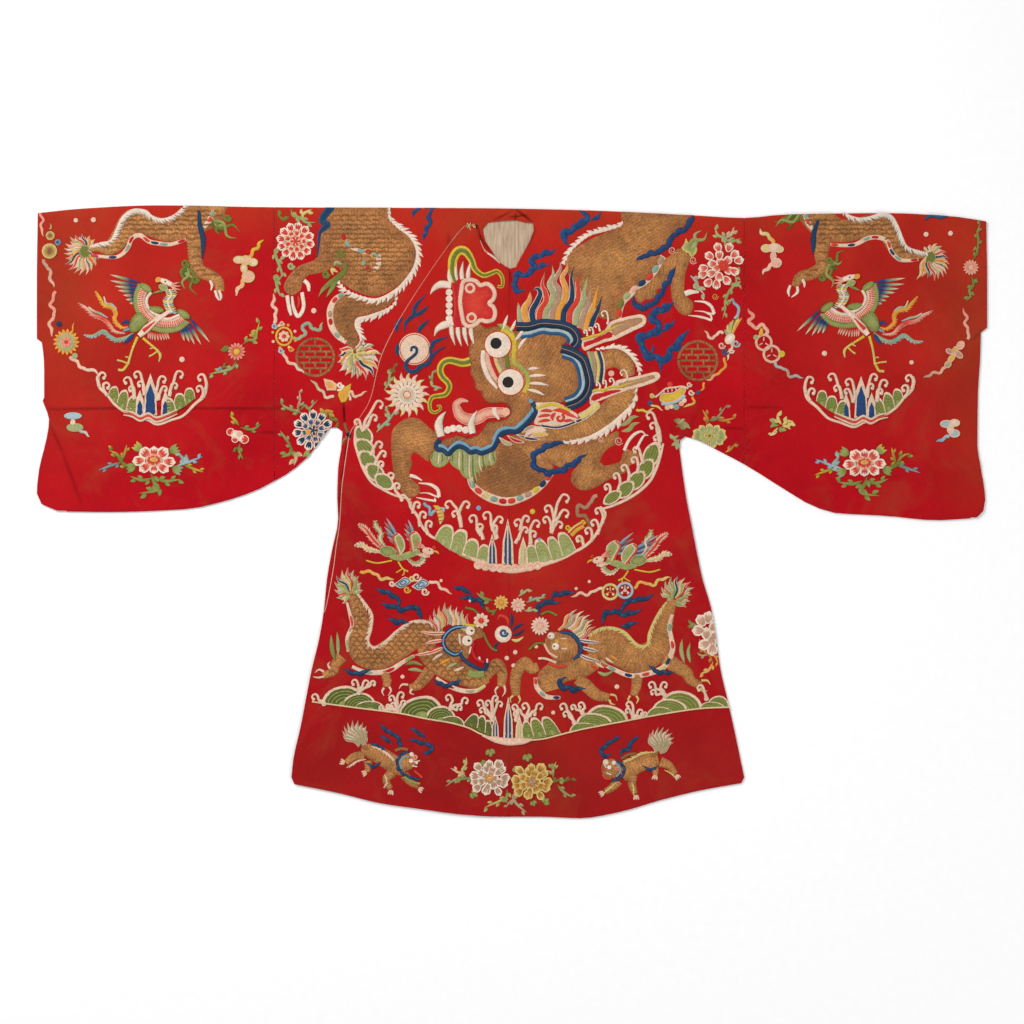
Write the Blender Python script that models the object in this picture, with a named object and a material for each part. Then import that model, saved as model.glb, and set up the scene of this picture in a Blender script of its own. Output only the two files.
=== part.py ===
"""A wide-sleeved silk dragon robe, laid flat on its back with its front up.

Tables and sizes are in millimetres. X runs across the sleeves, Y up towards the
shoulders and Z up from the surface that the robe lies on. Every piece of cloth is
cut flat from its outline, folded over the shoulder where it has a back and a
front, and given its thickness. The wearer's right side lies at -X.
"""

from math import ceil, cos, hypot, pi, sin

import bpy
from mathutils import Vector, geometry

MM = 0.001

# Cloth and the way it lies
CLOTH = 1.0           # silk, wadding and lining together
GAP = 0.3             # between pieces at a seam, and between cloths that lie on each other
LEVEL = CLOTH + GAP   # one cloth on top of another
FOLD_RISE = 1.9       # how much the upper cloth springs up at a folded edge
FOLD_REACH = 34.0     # how far that spring runs in from the edge
GRID = 42.0           # spacing of the points across a cloth
EDGE_STEP = 38.0      # spacing of the points along a straight cut edge
CURVE_STEP = 19.0     # spacing of the points along a curved one
STATION_STEP = 31.0   # spacing of the points along a fold, which may slope
FOLD_IN = 1.7         # how far a folded edge bulges past the flat of the cloth
FOLD_TURNS = (pi / 4, 0.0, -pi / 4)    # places round the fold, from its front to its back

# Seams
BACK_SEAM_X = 8.0     # centre back
FRONT_SEAM_X = -6.0   # centre front, below the neck
SLEEVE_SEAM_R = -488.0
SLEEVE_SEAM_L = 477.0
UNDER_FRONT_X = -70.0    # free edge of the under front, beneath the overlap
UNDER_FRONT_HEM = -540.0

# Shoulder line, from the right cuff to the left: the upper folded edge
SHOULDER = [  # x, y
    (-974, 614), (-887, 623), (-729, 630), (-488, 626), (-65, 624), (142, 620),
    (378, 609), (477, 604), (560, 611), (770, 614), (907, 607), (974, 597),
]

# Lower edge of each sleeve, from the cuff to the armpit
UNDER_SLEEVE_R = [  # x, y
    (-915, 1), (-828, 0), (-670, 6), (-585, 24), (-513, 50), (-488, 64),
    (-466, 76), (-421, 112), (-392, 150), (-375, 173), (-360, 174), (-348, 165),
]
UNDER_SLEEVE_L = [  # x, y
    (942, -13), (872, -17), (769, -8), (664, -2), (615, 14), (559, 47),
    (477, 98), (422, 127), (379, 149), (356, 155), (345, 147),
]

# Open end of each sleeve, from the shoulder line down
CUFF_R = [  # y, x
    (614, -974), (480, -976), (356, -976), (349, -966), (293, -961), (236, -961),
    (228, -964), (220, -961), (190, -951), (174, -952), (130, -961), (90, -971),
    (38, -976), (16, -966), (3, -935), (1, -915),
]
CUFF_L = [  # y, x
    (597, 974), (478, 976), (379, 976), (368, 963), (324, 962), (236, 957),
    (136, 956), (96, 962), (25, 972), (2, 968), (-11, 955), (-13, 942),
]

# Edges of the body between armpit and hem
BODY_SIDES = [  # y, right x, left x
    (128, -351, 344), (90, -357, 349), (28, -359, 358), (-13, -357, 366),
    (-75, -369, 378), (-137, -380, 391), (-198, -386, 409), (-260, -396, 419),
    (-322, -411, 428), (-383, -423, 442), (-445, -435, 456), (-507, -449, 469),
    (-545, -453, 477),
]

# Lower edge of the body
HEM = [  # x, y
    (-447, -559), (-353, -578), (-271, -598), (-189, -610), (-106, -621), (-24, -626),
    (58, -626), (140, -629), (222, -616), (305, -592), (387, -572), (471, -557),
]

# Neck opening in the front: the band above it, then the edge down each side to the point
NECK_TOP = [(-50, 594), (-20, 598), (8, 599), (28, 594), (43, 594)]
NECK_RIGHT = [  # x, y: edge of the under front
    (-50, 594), (-60, 580), (-55, 556), (-44, 540), (-29, 516), (-12, 503), (-6, 499),
]
NECK_LEFT = [(43, 594), (45, 578), (35, 553), (18, 523), (8, 503), (-6, 499)]
OVERLAP_NECK = [  # x, y: edge of the overlap, a little outside the under front's
    (-70, 588), (-63, 556), (-57, 539), (-46, 526), (-27, 510), (-6, 501),
]

# Closing edge of the overlap: slanting from the neck to the arm, then down the side
CLOSING = [  # y, x
    (586, -97), (562, -118), (500, -163), (422, -214), (366, -246), (312, -270),
    (232, -290), (190, -314), (163, -331), (133, -337), (77, -345), (44, -349),
    (-23, -353), (-71, -360), (-118, -366), (-182, -378), (-206, -384),
]
CLOSING_END = CLOSING[-1][0]

# Pale lining of the back that shows through the neck
LINING = [
    (-92, 566), (-84, 604), (-40, 612), (36, 612), (80, 602), (84, 560),
    (56, 500), (14, 462), (-30, 462), (-70, 500),
]
LINING_RAMP = 110.0   # how far from the lining the cloth above it comes back down
OVERLAP_EASE = 0.35   # more room between the overlap and the under front
EASE_REACH = 26.0     # how far outside the overlap the under front's own folds die out

# Largest folds: a soft ridge along each line, in the cloth that lies on top
FOLDS = [  # x0, y0, x1, y1, width, height
    (-968, 205, -500, 213, 16, 1.7),     # storage crease across the right sleeve
    (-520, 163, -474, 165, 12, 1.3),
    (-950, 180, -886, 12, 18, 2.0),      # slanting crease by the right cuff
    (480, 215, 555, 215, 14, 1.2),       # short creases of the left sleeve
    (420, 170, 480, 174, 14, 1.2),
    (962, 352, 880, 384, 18, 1.8),       # folds at the left cuff
    (958, 98, 900, 78, 16, 1.8),
    (-346, 228, -341, 176, 9, 3.0),      # gathers at the armpits
    (-372, 188, -404, 250, 22, 1.6),
    (338, 160, 300, 214, 24, 1.7),
    (366, 168, 380, 250, 20, 1.4),
    (-84, 583, -62, 512, 14, 1.8),       # puckers by the neck tie
    (-132, 566, -128, 524, 15, 1.6),
    (-38, 600, 14, 616, 9, 3.2),         # folds of the band above the neck
    (-24, 600, 36, 606, 7, 2.6),
    (24, 612, 52, 590, 10, 3.4),
    (-78, 600, -40, 616, 16, 1.8),
    (52, 575, 22, 500, 14, 1.8),         # roll of the left neck edge
    (-6, 496, -8, 440, 12, 1.4),
    (-300, 90, -322, -60, 40, 1.3),      # long soft folds of the skirt
    (-180, -90, -215, -330, 60, 1.3),
    (-96, -300, -120, -560, 52, 1.2),
    (110, -60, 128, -340, 60, 1.3),
    (220, -250, 262, -540, 56, 1.4),
    (338, 60, 392, -260, 46, 1.5),
    (-640, 420, -600, 120, 70, 1.3),     # long soft folds of the sleeves
    (-820, 540, -800, 300, 70, 1.2),
    (700, 480, 664, 120, 74, 1.3),
    (842, 300, 850, 60, 66, 1.2),
    (-230, 560, -300, 330, 60, 1.2),     # shoulders
    (190, 560, 270, 300, 70, 1.2),
]

# Ties: thickness and route of each thread, in x, y and height above the overlap
TIE_THICK = 1.5
TIES = {
    "tie_neck": [
        (-116, 590, 0.0), (-104, 583, 0.3), (-96, 588, 2.2), (-90, 580, 0.4),
        (-83, 589, 0.4), (-76, 583, 2.3), (-66, 585, 0.4),
    ],
    "tie_side": [
        (-342, 186, -1.0), (-337, 172, 0.0), (-330, 158, 0.8), (-334, 148, 2.6),
        (-326, 153, 4.4), (-327, 163, 2.8), (-337, 157, 4.2), (-341, 144, 1.6),
        (-345, 132, -0.8), (-352, 122, -1.2),
    ],
}
PIPING_WIDE = 1.5     # closure piping
PIPING_HIGH = 1.0

# Colours: red, green, blue, roughness
COLOURS = {
    "body": (0.42, 0.010, 0.012, 0.55),
    "sleeve": (0.40, 0.016, 0.012, 0.55),
    "lining": (0.52, 0.45, 0.36, 0.80),
    "piping": (0.62, 0.36, 0.26, 0.60),
    "tie": (0.30, 0.22, 0.10, 0.60),
}


def smooth_step(low, high, value):
    """0 below low, 1 above high, and a soft rise between."""
    t = min(1.0, max(0.0, (value - low) / (high - low)))
    return t * t * (3.0 - 2.0 * t)


def along(rows, value, column=1):
    """Reads a table whose first column rises or falls: another column's curve at a value."""
    if rows[0][0] > rows[-1][0]:
        rows = rows[::-1]
    if value <= rows[0][0]:
        return rows[0][column]
    if value >= rows[-1][0]:
        return rows[-1][column]
    i = next(i for i in range(1, len(rows)) if value <= rows[i][0])
    row, following = rows[i - 1], rows[i]
    reach = following[0] - row[0]
    t = (value - row[0]) / reach
    start, end = slope(rows, i - 1, column) * reach, slope(rows, i, column) * reach
    rise = following[column] - row[column]
    return row[column] + t * (start + t * (3 * rise - 2 * start - end + t * (start + end - 2 * rise)))


def slope(rows, i, column):
    """Slope of a table's curve at a row, such that the curve never goes past its rows."""
    def chord(k):
        return (rows[k + 1][column] - rows[k][column]) / (rows[k + 1][0] - rows[k][0])

    if i == 0:
        return chord(0)
    if i == len(rows) - 1:
        return chord(i - 1)
    before, after = chord(i - 1), chord(i)
    return 2 * before * after / (before + after) if before * after > 0 else 0.0


def curve(rows, low, high, column=1):
    """Points of a table's curve from low to high, its own rows among them."""
    kept = sorted(row[0] for row in rows if low + 1 < row[0] < high - 1)
    knots = [low, *kept, high]
    values = [low]
    for start, end in zip(knots, knots[1:]):
        count = max(1, round((end - start) / CURVE_STEP))
        values += [start + (end - start) * i / count for i in range(1, count + 1)]
    return [(value, along(rows, value, column)) for value in values]


def whole(rows, column=1):
    """All of a table's curve, in the order of its rows."""
    low, high = sorted((rows[0][0], rows[-1][0]))
    points = curve(rows, low, high, column)
    return points if rows[0][0] == low else points[::-1]


def swapped(points):
    """Points read from a table by their y, as x and y."""
    return [(x, y) for y, x in points]


def steps(path):
    """The path with points added so that none are further apart than a step."""
    result = [path[0]]
    for (x0, y0), (x1, y1) in zip(path, path[1:]):
        count = max(1, round(hypot(x1 - x0, y1 - y0) / EDGE_STEP + 0.3))
        result += [
            (x0 + (x1 - x0) * i / count, y0 + (y1 - y0) * i / count)
            for i in range(1, count + 1)
        ]
    return result


def distance(point, start, end):
    """Distance from a point to a line, and where along the line that is, from 0 to 1."""
    line_x, line_y = end[0] - start[0], end[1] - start[1]
    to_x, to_y = point[0] - start[0], point[1] - start[1]
    t = (to_x * line_x + to_y * line_y) / (line_x * line_x + line_y * line_y)
    t = min(1.0, max(0.0, t))
    return hypot(to_x - t * line_x, to_y - t * line_y), t


def distance_to(path, x, y):
    """Distance from a point to the nearest stretch of a path."""
    return min(distance((x, y), a, b)[0] for a, b in zip(path, path[1:]))


def inside(polygon, x, y):
    """Whether a point lies inside a closed outline."""
    found = False
    for (x0, y0), (x1, y1) in zip(polygon, polygon[1:] + polygon[:1]):
        if (y0 > y) != (y1 > y) and x < x0 + (y - y0) * (x1 - x0) / (y1 - y0):
            found = not found
    return found


def shoulder_y(x):
    return along(SHOULDER, x)


def stations(rows, low, high):
    """Evenly spaced points of an x, y table between two places."""
    count = ceil((high - low) / STATION_STEP)
    spaced = [low + (high - low) * i / count for i in range(count + 1)]
    return [(x, along(rows, x)) for x in spaced]


def shoulder_edge(low, high):
    """Where the flat of a cloth ends and its fold over the shoulder begins."""
    return [(x, y - FOLD_IN) for x, y in stations(SHOULDER, low, high)]


def under_sleeve_edge(rows, low, high):
    """Where the flat of a sleeve ends and its lower fold begins."""
    return [(x, y + FOLD_IN) for x, y in stations(rows, low, high)]


def side(column):
    """One edge of the body, from the armpit to the hem."""
    return swapped(whole(BODY_SIDES, column))


# ---- Outlines of the pieces as they lie: the shoulder edge first, then on round the piece

def right_shoulder():
    return shoulder_edge(SLEEVE_SEAM_R + GAP, BACK_SEAM_X)


def left_shoulder():
    return shoulder_edge(BACK_SEAM_X + GAP, SLEEVE_SEAM_L - GAP)


def right_arm():
    """From the armpit out to the sleeve seam."""
    return curve(UNDER_SLEEVE_R, SLEEVE_SEAM_R + GAP, UNDER_SLEEVE_R[-1][0])[::-1]


def left_arm():
    return curve(UNDER_SLEEVE_L, UNDER_SLEEVE_L[-1][0], SLEEVE_SEAM_L - GAP)


def right_back_outline():
    hem = curve(HEM, HEM[0][0], BACK_SEAM_X)[::-1]
    return right_shoulder() + hem + side(1)[::-1] + right_arm()


def left_back_outline():
    hem = curve(HEM, BACK_SEAM_X + GAP, HEM[-1][0])[::-1]
    return left_shoulder() + left_arm()[::-1] + side(2) + hem


def under_front_outline():
    neck = NECK_TOP[1:3][::-1] + NECK_RIGHT[:-1]
    free_edge = [(UNDER_FRONT_X, 470), (UNDER_FRONT_X, UNDER_FRONT_HEM)]
    hem = [(HEM[0][0] + 4, UNDER_FRONT_HEM), (HEM[0][0] - 3, UNDER_FRONT_HEM + 6)]
    return right_shoulder() + neck + free_edge + hem + side(1)[:-1][::-1] + right_arm()


def left_front_outline():
    seam_x = FRONT_SEAM_X + GAP / 2
    hem = curve(HEM, seam_x, HEM[-1][0])[::-1]
    neck = [(seam_x, NECK_LEFT[-1][1])] + NECK_LEFT[1:-1][::-1] + NECK_TOP[3:][::-1]
    band_end = [(BACK_SEAM_X + GAP, NECK_TOP[2][1])]
    return left_shoulder() + left_arm()[::-1] + side(2) + hem + neck + band_end


def overlap_outline():
    seam_x = FRONT_SEAM_X - GAP / 2
    low_side = [point for point in side(1) if point[1] < CLOSING_END - 20]
    hem = curve(HEM, HEM[0][0], seam_x)
    neck = [(seam_x, OVERLAP_NECK[-1][1])] + OVERLAP_NECK[:-1][::-1]
    return swapped(whole(CLOSING)) + low_side + hem + neck


def right_sleeve_edges():
    """Upper and lower folded edge, both from the cuff to the seam."""
    seam_x = SLEEVE_SEAM_R - GAP
    upper = shoulder_edge(CUFF_R[0][1], seam_x)
    return upper, under_sleeve_edge(UNDER_SLEEVE_R, UNDER_SLEEVE_R[0][0], seam_x)


def left_sleeve_edges():
    seam_x = SLEEVE_SEAM_L + GAP
    upper = shoulder_edge(seam_x, CUFF_L[0][1])[::-1]
    return upper, under_sleeve_edge(UNDER_SLEEVE_L, seam_x, UNDER_SLEEVE_L[0][0])[::-1]


def sleeve_outline(edges, cuff_rows):
    upper, lower = edges
    cuff = swapped(whole(cuff_rows))[1:-1]
    return upper + lower[::-1] + cuff[::-1]


# ---- How high each cloth lies

def fold_height(x, y):
    """Height that the largest folds give the topmost cloth at a point."""
    total = 0.0
    for x0, y0, x1, y1, width, height in FOLDS:
        away, t = distance((x, y), (x0, y0), (x1, y1))
        if away < width:
            ends = 0.35 + 0.65 * sin(pi * t)
            total += height * ends * 0.5 * (1.0 + cos(pi * away / width))
    return total


def spring(x, y):
    """Rise of the upper cloth beside the folded shoulder line."""
    depth = shoulder_y(x) - y
    return FOLD_RISE * (1.0 - smooth_step(0.0, FOLD_REACH, depth))


def lining_rise(x, y):
    """Rise of the front where the lining of the back lies under it."""
    if inside(LINING, x, y):
        return LEVEL
    return LEVEL * (1.0 - smooth_step(0.0, LINING_RAMP, distance_to(LINING + LINING[:1], x, y)))


def uncovered(x, y):
    """0 under the overlap, where the under front lies flat, and 1 clear of it."""
    if inside(OVERLAP, x, y):
        return 0.0
    return smooth_step(4.0, EASE_REACH, distance_to(OVERLAP, x, y))


def front_rise(x, y):
    return LEVEL + lining_rise(x, y) + spring(x, y) + fold_height(x, y)


def under_front_rise(x, y):
    return LEVEL + lining_rise(x, y) + spring(x, y) + fold_height(x, y) * uncovered(x, y)


def overlap_rise(x, y):
    """The overlap lies on the under front, and comes down to the back towards the centre seam."""
    over = 1.0 - smooth_step(UNDER_FRONT_X + 2.0, FRONT_SEAM_X - 8.0, x)
    if y > NECK_RIGHT[-1][1] - 60.0:
        over = max(over, smooth_step(NECK_RIGHT[-1][1] - 60.0, NECK_RIGHT[-1][1] - 20.0, y))
    return front_rise(x, y) + (LEVEL + OVERLAP_EASE) * over


def sleeve_rise(x, y):
    """A sleeve springs at both its upper and its lower fold."""
    rows = UNDER_SLEEVE_R if x < 0 else UNDER_SLEEVE_L
    low = along(rows, x)
    lower = FOLD_RISE * (1.0 - smooth_step(0.0, FOLD_REACH, y - low))
    return LEVEL + max(spring(x, y), lower) + fold_height(x, y)


# ---- Making cloth

def cut(outline, rise_points=()):
    """Cuts a flat outline into triangles that face up, with points over it and round it."""
    edge = steps(outline + outline[:1])[:-1]
    closed = edge + edge[:1]
    low_x, high_x = min(p[0] for p in edge), max(p[0] for p in edge)
    low_y, high_y = min(p[1] for p in edge), max(p[1] for p in edge)
    grid = [
        (low_x + (i + 0.5 * (j % 2)) * GRID, high_y - 13 - j * GRID)
        for j in range(round((high_y - low_y) / GRID) + 1)
        for i in range(round((high_x - low_x) / GRID) + 1)
    ]
    wanted = [
        p for p in [*rise_points, *grid] if inside(edge, *p) and distance_to(closed, *p) > 8.0
    ]
    kept = []
    for p in wanted:
        if all(hypot(p[0] - q[0], p[1] - q[1]) > 6.0 for q in kept):
            kept.append(p)
    points = edge + kept
    ring = [(i, (i + 1) % len(edge)) for i in range(len(edge))]
    made = geometry.delaunay_2d_cdt([Vector(p) for p in points], ring, [], 1, 1e-5)
    flat = [(v.x, v.y) for v in made[0]]
    return flat, [face_up(flat, tuple(f)) for f in made[2]]


def face_up(flat, face):
    """The face, turned over where it looks down."""
    (ax, ay), (bx, by), (cx, cy) = (flat[i] for i in face[:3])
    return face if (bx - ax) * (cy - ay) > (cx - ax) * (by - ay) else face[::-1]


def fold_points():
    """Points across each ridge that is narrower than the grid."""
    points = []
    for x0, y0, x1, y1, width, _ in FOLDS:
        if width > GRID:
            continue
        length = hypot(x1 - x0, y1 - y0)
        across_x, across_y = (y0 - y1) / length, (x1 - x0) / length
        count = max(2, round(length / (1.6 * width)))
        for i in range(count + 1):
            x, y = x0 + (x1 - x0) * i / count, y0 + (y1 - y0) * i / count
            for k in (0.0, -0.9, 0.9):
                points.append((x + k * width * across_x, y + k * width * across_y))
    return points


def material(name, colour):
    made = bpy.data.materials.new(name)
    made.use_nodes = True
    shader = made.node_tree.nodes["Principled BSDF"]
    shader.inputs["Base Color"].default_value = (*colour[:3], 1.0)
    shader.inputs["Roughness"].default_value = colour[3]
    shader.inputs["Metallic"].default_value = 0.0
    return made


def solid(name, points, faces, finish):
    """One named object from points in millimetres."""
    mesh = bpy.data.meshes.new(name)
    mesh.from_pydata([Vector(p) * MM for p in points], [], faces)
    mesh.validate()
    mesh.materials.append(finish)
    made = bpy.data.objects.new(name, mesh)
    bpy.context.collection.objects.link(made)
    return made


def rim(faces):
    """The edges that only one face has, each in that face's direction."""
    found = {}
    for face in faces:
        for a, b in zip(face, face[1:] + face[:1]):
            if (b, a) in found:
                del found[(b, a)]
            else:
                found[(a, b)] = True
    return list(found)


def walled(name, outer, inner, faces, finish):
    """A wall between two like sheets, the outer one facing out, with its cut edges closed."""
    count = len(outer)
    turned = [tuple(i + count for i in face[::-1]) for face in faces]
    closing = []
    for a, b in rim(faces):
        closing += [(b, a, a + count), (b, a + count, b + count)]
    return solid(name, outer + inner, faces + turned + closing, finish)


def flat_cloth(name, outline, rise, finish):
    """A single layer that lies at its own rise above the surface."""
    flat, faces = cut(outline, fold_points())
    inner = [(x, y, rise(x, y)) for x, y in flat]
    outer = [(x, y, z + CLOTH) for x, y, z in inner]
    return walled(name, outer, inner, faces, finish)


def nearest(flat, point):
    return min(range(len(flat)), key=lambda i: hypot(flat[i][0] - point[0], flat[i][1] - point[1]))


def folded_cloth(name, back_outline, front_outline, folds, rise, finish):
    """A cloth with its back on the surface and its front on its back, joined round its folds.

    Each fold is a row of points that both outlines share, and the way in Y that it bulges.
    """
    back, back_faces = cut(back_outline)
    front, front_faces = cut(front_outline, fold_points())
    outer = [(x, y, rise(x, y) + CLOTH) for x, y in front]
    inner = [(x, y, rise(x, y)) for x, y in front]
    first = len(front)
    outer += [(x, y, 0.0) for x, y in back]
    inner += [(x, y, CLOTH) for x, y in back]
    faces = front_faces + [tuple(i + first for i in face[::-1]) for face in back_faces]
    for row, way in folds:
        rings = []
        for x, y in row:
            half = (rise(x, y) + CLOTH) / 2
            ring = [nearest(front, (x, y))]
            for turn in FOLD_TURNS:
                ring.append(len(outer))
                across, up = cos(turn), sin(turn)
                outer.append((x, y + way * FOLD_IN * across, half + half * up))
                inner.append((x, y + way * (FOLD_IN - CLOTH) * across, half + (half - CLOTH) * up))
            ring.append(first + nearest(back, (x, y)))
            rings.append(ring)
        strip = [quad for a, b in zip(rings, rings[1:]) for quad in bridge(a, b)]
        faces += strip if agrees(strip, faces) else [quad[::-1] for quad in strip]
    return walled(name, outer, inner, faces, finish)


def bridge(ring, following):
    """The quads between two rows of points."""
    return [
        (ring[i], ring[i + 1], following[i + 1], following[i]) for i in range(len(ring) - 1)
    ]


def agrees(strip, faces):
    """Whether a strip of quads faces the same way as the cloth that it joins."""
    edges = {edge for face in faces for edge in zip(face, face[1:] + face[:1])}
    strip_edges = [edge for quad in strip for edge in zip(quad, quad[1:] + quad[:1])]
    return not any(edge in edges for edge in strip_edges)


def piping(name, finish):
    """A narrow edging beside the closing edge of the overlap, on the under front."""
    path = swapped(whole(CLOSING))
    inner_side = [offset_point(path, i, GAP) for i in range(len(path))]
    outer_side = [offset_point(path, i, GAP + PIPING_WIDE) for i in range(len(path))]
    outline = inner_side + outer_side[::-1]
    last = 2 * len(path) - 1
    faces = [face_up(outline, (i, i + 1, last - 1 - i, last - i)) for i in range(len(path) - 1)]
    low = [(x, y, piping_rise(x, y)) for x, y in outline]
    high = [(x, y, z + PIPING_HIGH) for x, y, z in low]
    return walled(name, high, low, faces, finish)


def offset_point(path, i, away):
    """A point beside the path, on its outer side."""
    (x0, y0), (x1, y1) = path[max(0, i - 1)], path[min(len(path) - 1, i + 1)]
    length = hypot(x1 - x0, y1 - y0)
    return path[i][0] + away * (y1 - y0) / length, path[i][1] - away * (x1 - x0) / length


def piping_rise(x, y):
    return under_front_rise(x, y) + LEVEL + 0.2


def thread(name, route, finish):
    """A round thread along a short route above the overlap."""
    curve = bpy.data.curves.new(name, "CURVE")
    curve.dimensions = "3D"
    curve.bevel_depth = TIE_THICK / 2 * MM
    curve.bevel_resolution = 1
    curve.use_fill_caps = True
    spline = curve.splines.new("POLY")
    spline.points.add(len(route) - 1)
    for point, (x, y, up) in zip(spline.points, route):
        z = front_rise(x, y) + 2 * LEVEL + TIE_THICK / 2 + up
        point.co = (x * MM, y * MM, z * MM, 1.0)
    curve.materials.append(finish)
    made = bpy.data.objects.new(name, curve)
    bpy.context.collection.objects.link(made)
    return made


OVERLAP = overlap_outline()


def build():
    for old in list(bpy.data.objects):
        bpy.data.objects.remove(old, do_unlink=True)
    finish = {name: material(name, colour) for name, colour in COLOURS.items()}

    folded_cloth(
        "right_body", right_back_outline(), under_front_outline(), [(right_shoulder(), 1)],
        under_front_rise, finish["body"],
    )
    folded_cloth(
        "left_body", left_back_outline(), left_front_outline(), [(left_shoulder(), 1)],
        front_rise, finish["body"],
    )
    flat_cloth("front_overlap", OVERLAP, overlap_rise, finish["body"])
    sleeves = (
        ("right_sleeve", right_sleeve_edges(), CUFF_R),
        ("left_sleeve", left_sleeve_edges(), CUFF_L),
    )
    for name, edges, cuff_rows in sleeves:
        outline = sleeve_outline(edges, cuff_rows)
        upper, lower = edges
        folded_cloth(name, outline, outline, [(upper, 1), (lower, -1)], sleeve_rise, finish["sleeve"])
    flat_cloth("neck_lining", LINING, lambda x, y: LEVEL, finish["lining"])
    piping("closure_piping", finish["piping"])
    for name, route in TIES.items():
        thread(name, route, finish["tie"])


build()
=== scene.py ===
"""The finish of a red silk dragon robe that lies flat: its cloth, its embroidery and its ties.

The robe's panels come from the frame. Each cloth takes its outline and its height from the
front of its own solid, and the embroidery is laid on the cloth that is topmost at each place.
Drawn places are in squares of a chart, which has its first square at the upper left: x runs
to the right and y runs down.
"""

from math import atan2, ceil, cos, degrees, hypot, pi, radians, sin, sqrt, tau

import bmesh
import bpy
import numpy as np
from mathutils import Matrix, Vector, geometry, noise
from mathutils.bvhtree import BVHTree


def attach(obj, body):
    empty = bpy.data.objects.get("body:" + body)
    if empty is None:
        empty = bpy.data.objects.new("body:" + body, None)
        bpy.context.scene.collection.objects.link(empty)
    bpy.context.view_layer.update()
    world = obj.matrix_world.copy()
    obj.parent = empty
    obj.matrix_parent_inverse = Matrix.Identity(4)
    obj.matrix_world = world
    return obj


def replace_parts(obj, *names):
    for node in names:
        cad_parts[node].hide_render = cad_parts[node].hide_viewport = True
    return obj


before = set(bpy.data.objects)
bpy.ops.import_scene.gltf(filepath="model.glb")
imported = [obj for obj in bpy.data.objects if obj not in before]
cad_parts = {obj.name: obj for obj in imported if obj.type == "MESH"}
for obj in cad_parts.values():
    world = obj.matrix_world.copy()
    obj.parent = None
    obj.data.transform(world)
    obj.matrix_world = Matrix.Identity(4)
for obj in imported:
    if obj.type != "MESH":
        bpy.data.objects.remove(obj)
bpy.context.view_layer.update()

bl_info = {
    "name": "Dragon robe",
    "version": (1, 0, 0),
    "blender": (4, 5, 0),
    "location": "View3D > Sidebar > Robe",
    "description": "Silk, embroidery and ties of a dragon robe laid flat",
    "category": "Mesh",
}

MM = 0.001

# The chart: size of a square, squares along its side, and the square over the robe's origin
SQUARE = 0.002055
CHART_SIDE = 1024
CHART_X = 511.8
CHART_Y = 513.5

# The stage: the camera's lens and sensor in mm, and the floor's height
LENS = 100
SENSOR = 36
CAMERA_HIGH = CHART_SIDE * SQUARE * LENS / SENSOR  # from there the chart fills a square picture
FLOOR = -0.0012
LIGHTS = (  # name, place, side and turn in degrees
    ("key", (-2.6, 2.2, 3.2), 2.0, (-36, -40)),
    ("fill", (2.4, -1.6, 3.4), 3.0, (26, 36)),
)

# Cloth
FINE = 7.5 * MM        # spacing of the points of a front
COARSE = 30.0 * MM     # and of a back
ROW_STEP = 0.92        # their rows' spacing, as a share of it
CELL = 4.0 * MM        # spacing of the height maps
SPREAD = 6             # cells by which a height map is carried past its panel
SOFTEN = 3             # passes of smoothing over a height map
ROUND_IN = 1.8 * MM    # how far in from a fold the cloth is round
EDGE_ROWS = (0.3 * ROUND_IN, ROUND_IN)  # how far in the rows of points beside an edge lie
FRONT_ROWS = (*EDGE_ROWS, 5 * MM)       # and those of a front
HEM_HIGH = 0.3 * MM    # the rise of a stitched edge, how far in it lies and how wide it is
HEM_IN = 2.4 * MM
HEM_WIDE = 1.6 * MM
OFF_EDGE = 0.6 * MM    # needlework further than this from the cloth is left out
ABOVE = 0.1            # metres over the robe, from where heights are felt for
FOLDED = ("right_body", "left_body", "right_sleeve", "left_sleeve")  # front and back in one piece

# Needlework
LAYER = 0.22 * MM      # one layer of embroidery on another
BASE = 0.1             # the lowest shape over the cloth, and each next one over it, in mm
NEXT = 0.0015
SCALE_WIDE = 7.0       # a couched scale, in squares of the chart
SCALE_HIGH = 3.0
ROW_WIDE = 9.0         # the same, where the scales are worn to wavy rows
ROW_HIGH = 1.3
STITCH_IN = 4.0 * MM   # how far a seam's stitches lie from the edge
STITCH_STEP = 6.5 * MM
SUNK = -0.1            # where the edge of a shape ends, in mm above the cloth
SHAPE_ROWS = (0.35, 1.0, 2.6)  # rows of points inside a shape's edge, in squares
SHAPE_ROUND = 3.0      # how far in from its edge a shape is round, in squares
SCALE_BED = 1.2 * MM   # the most by which the gold under one scale may rise and fall
SCALE_SUNK = 0.12 * MM

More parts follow.
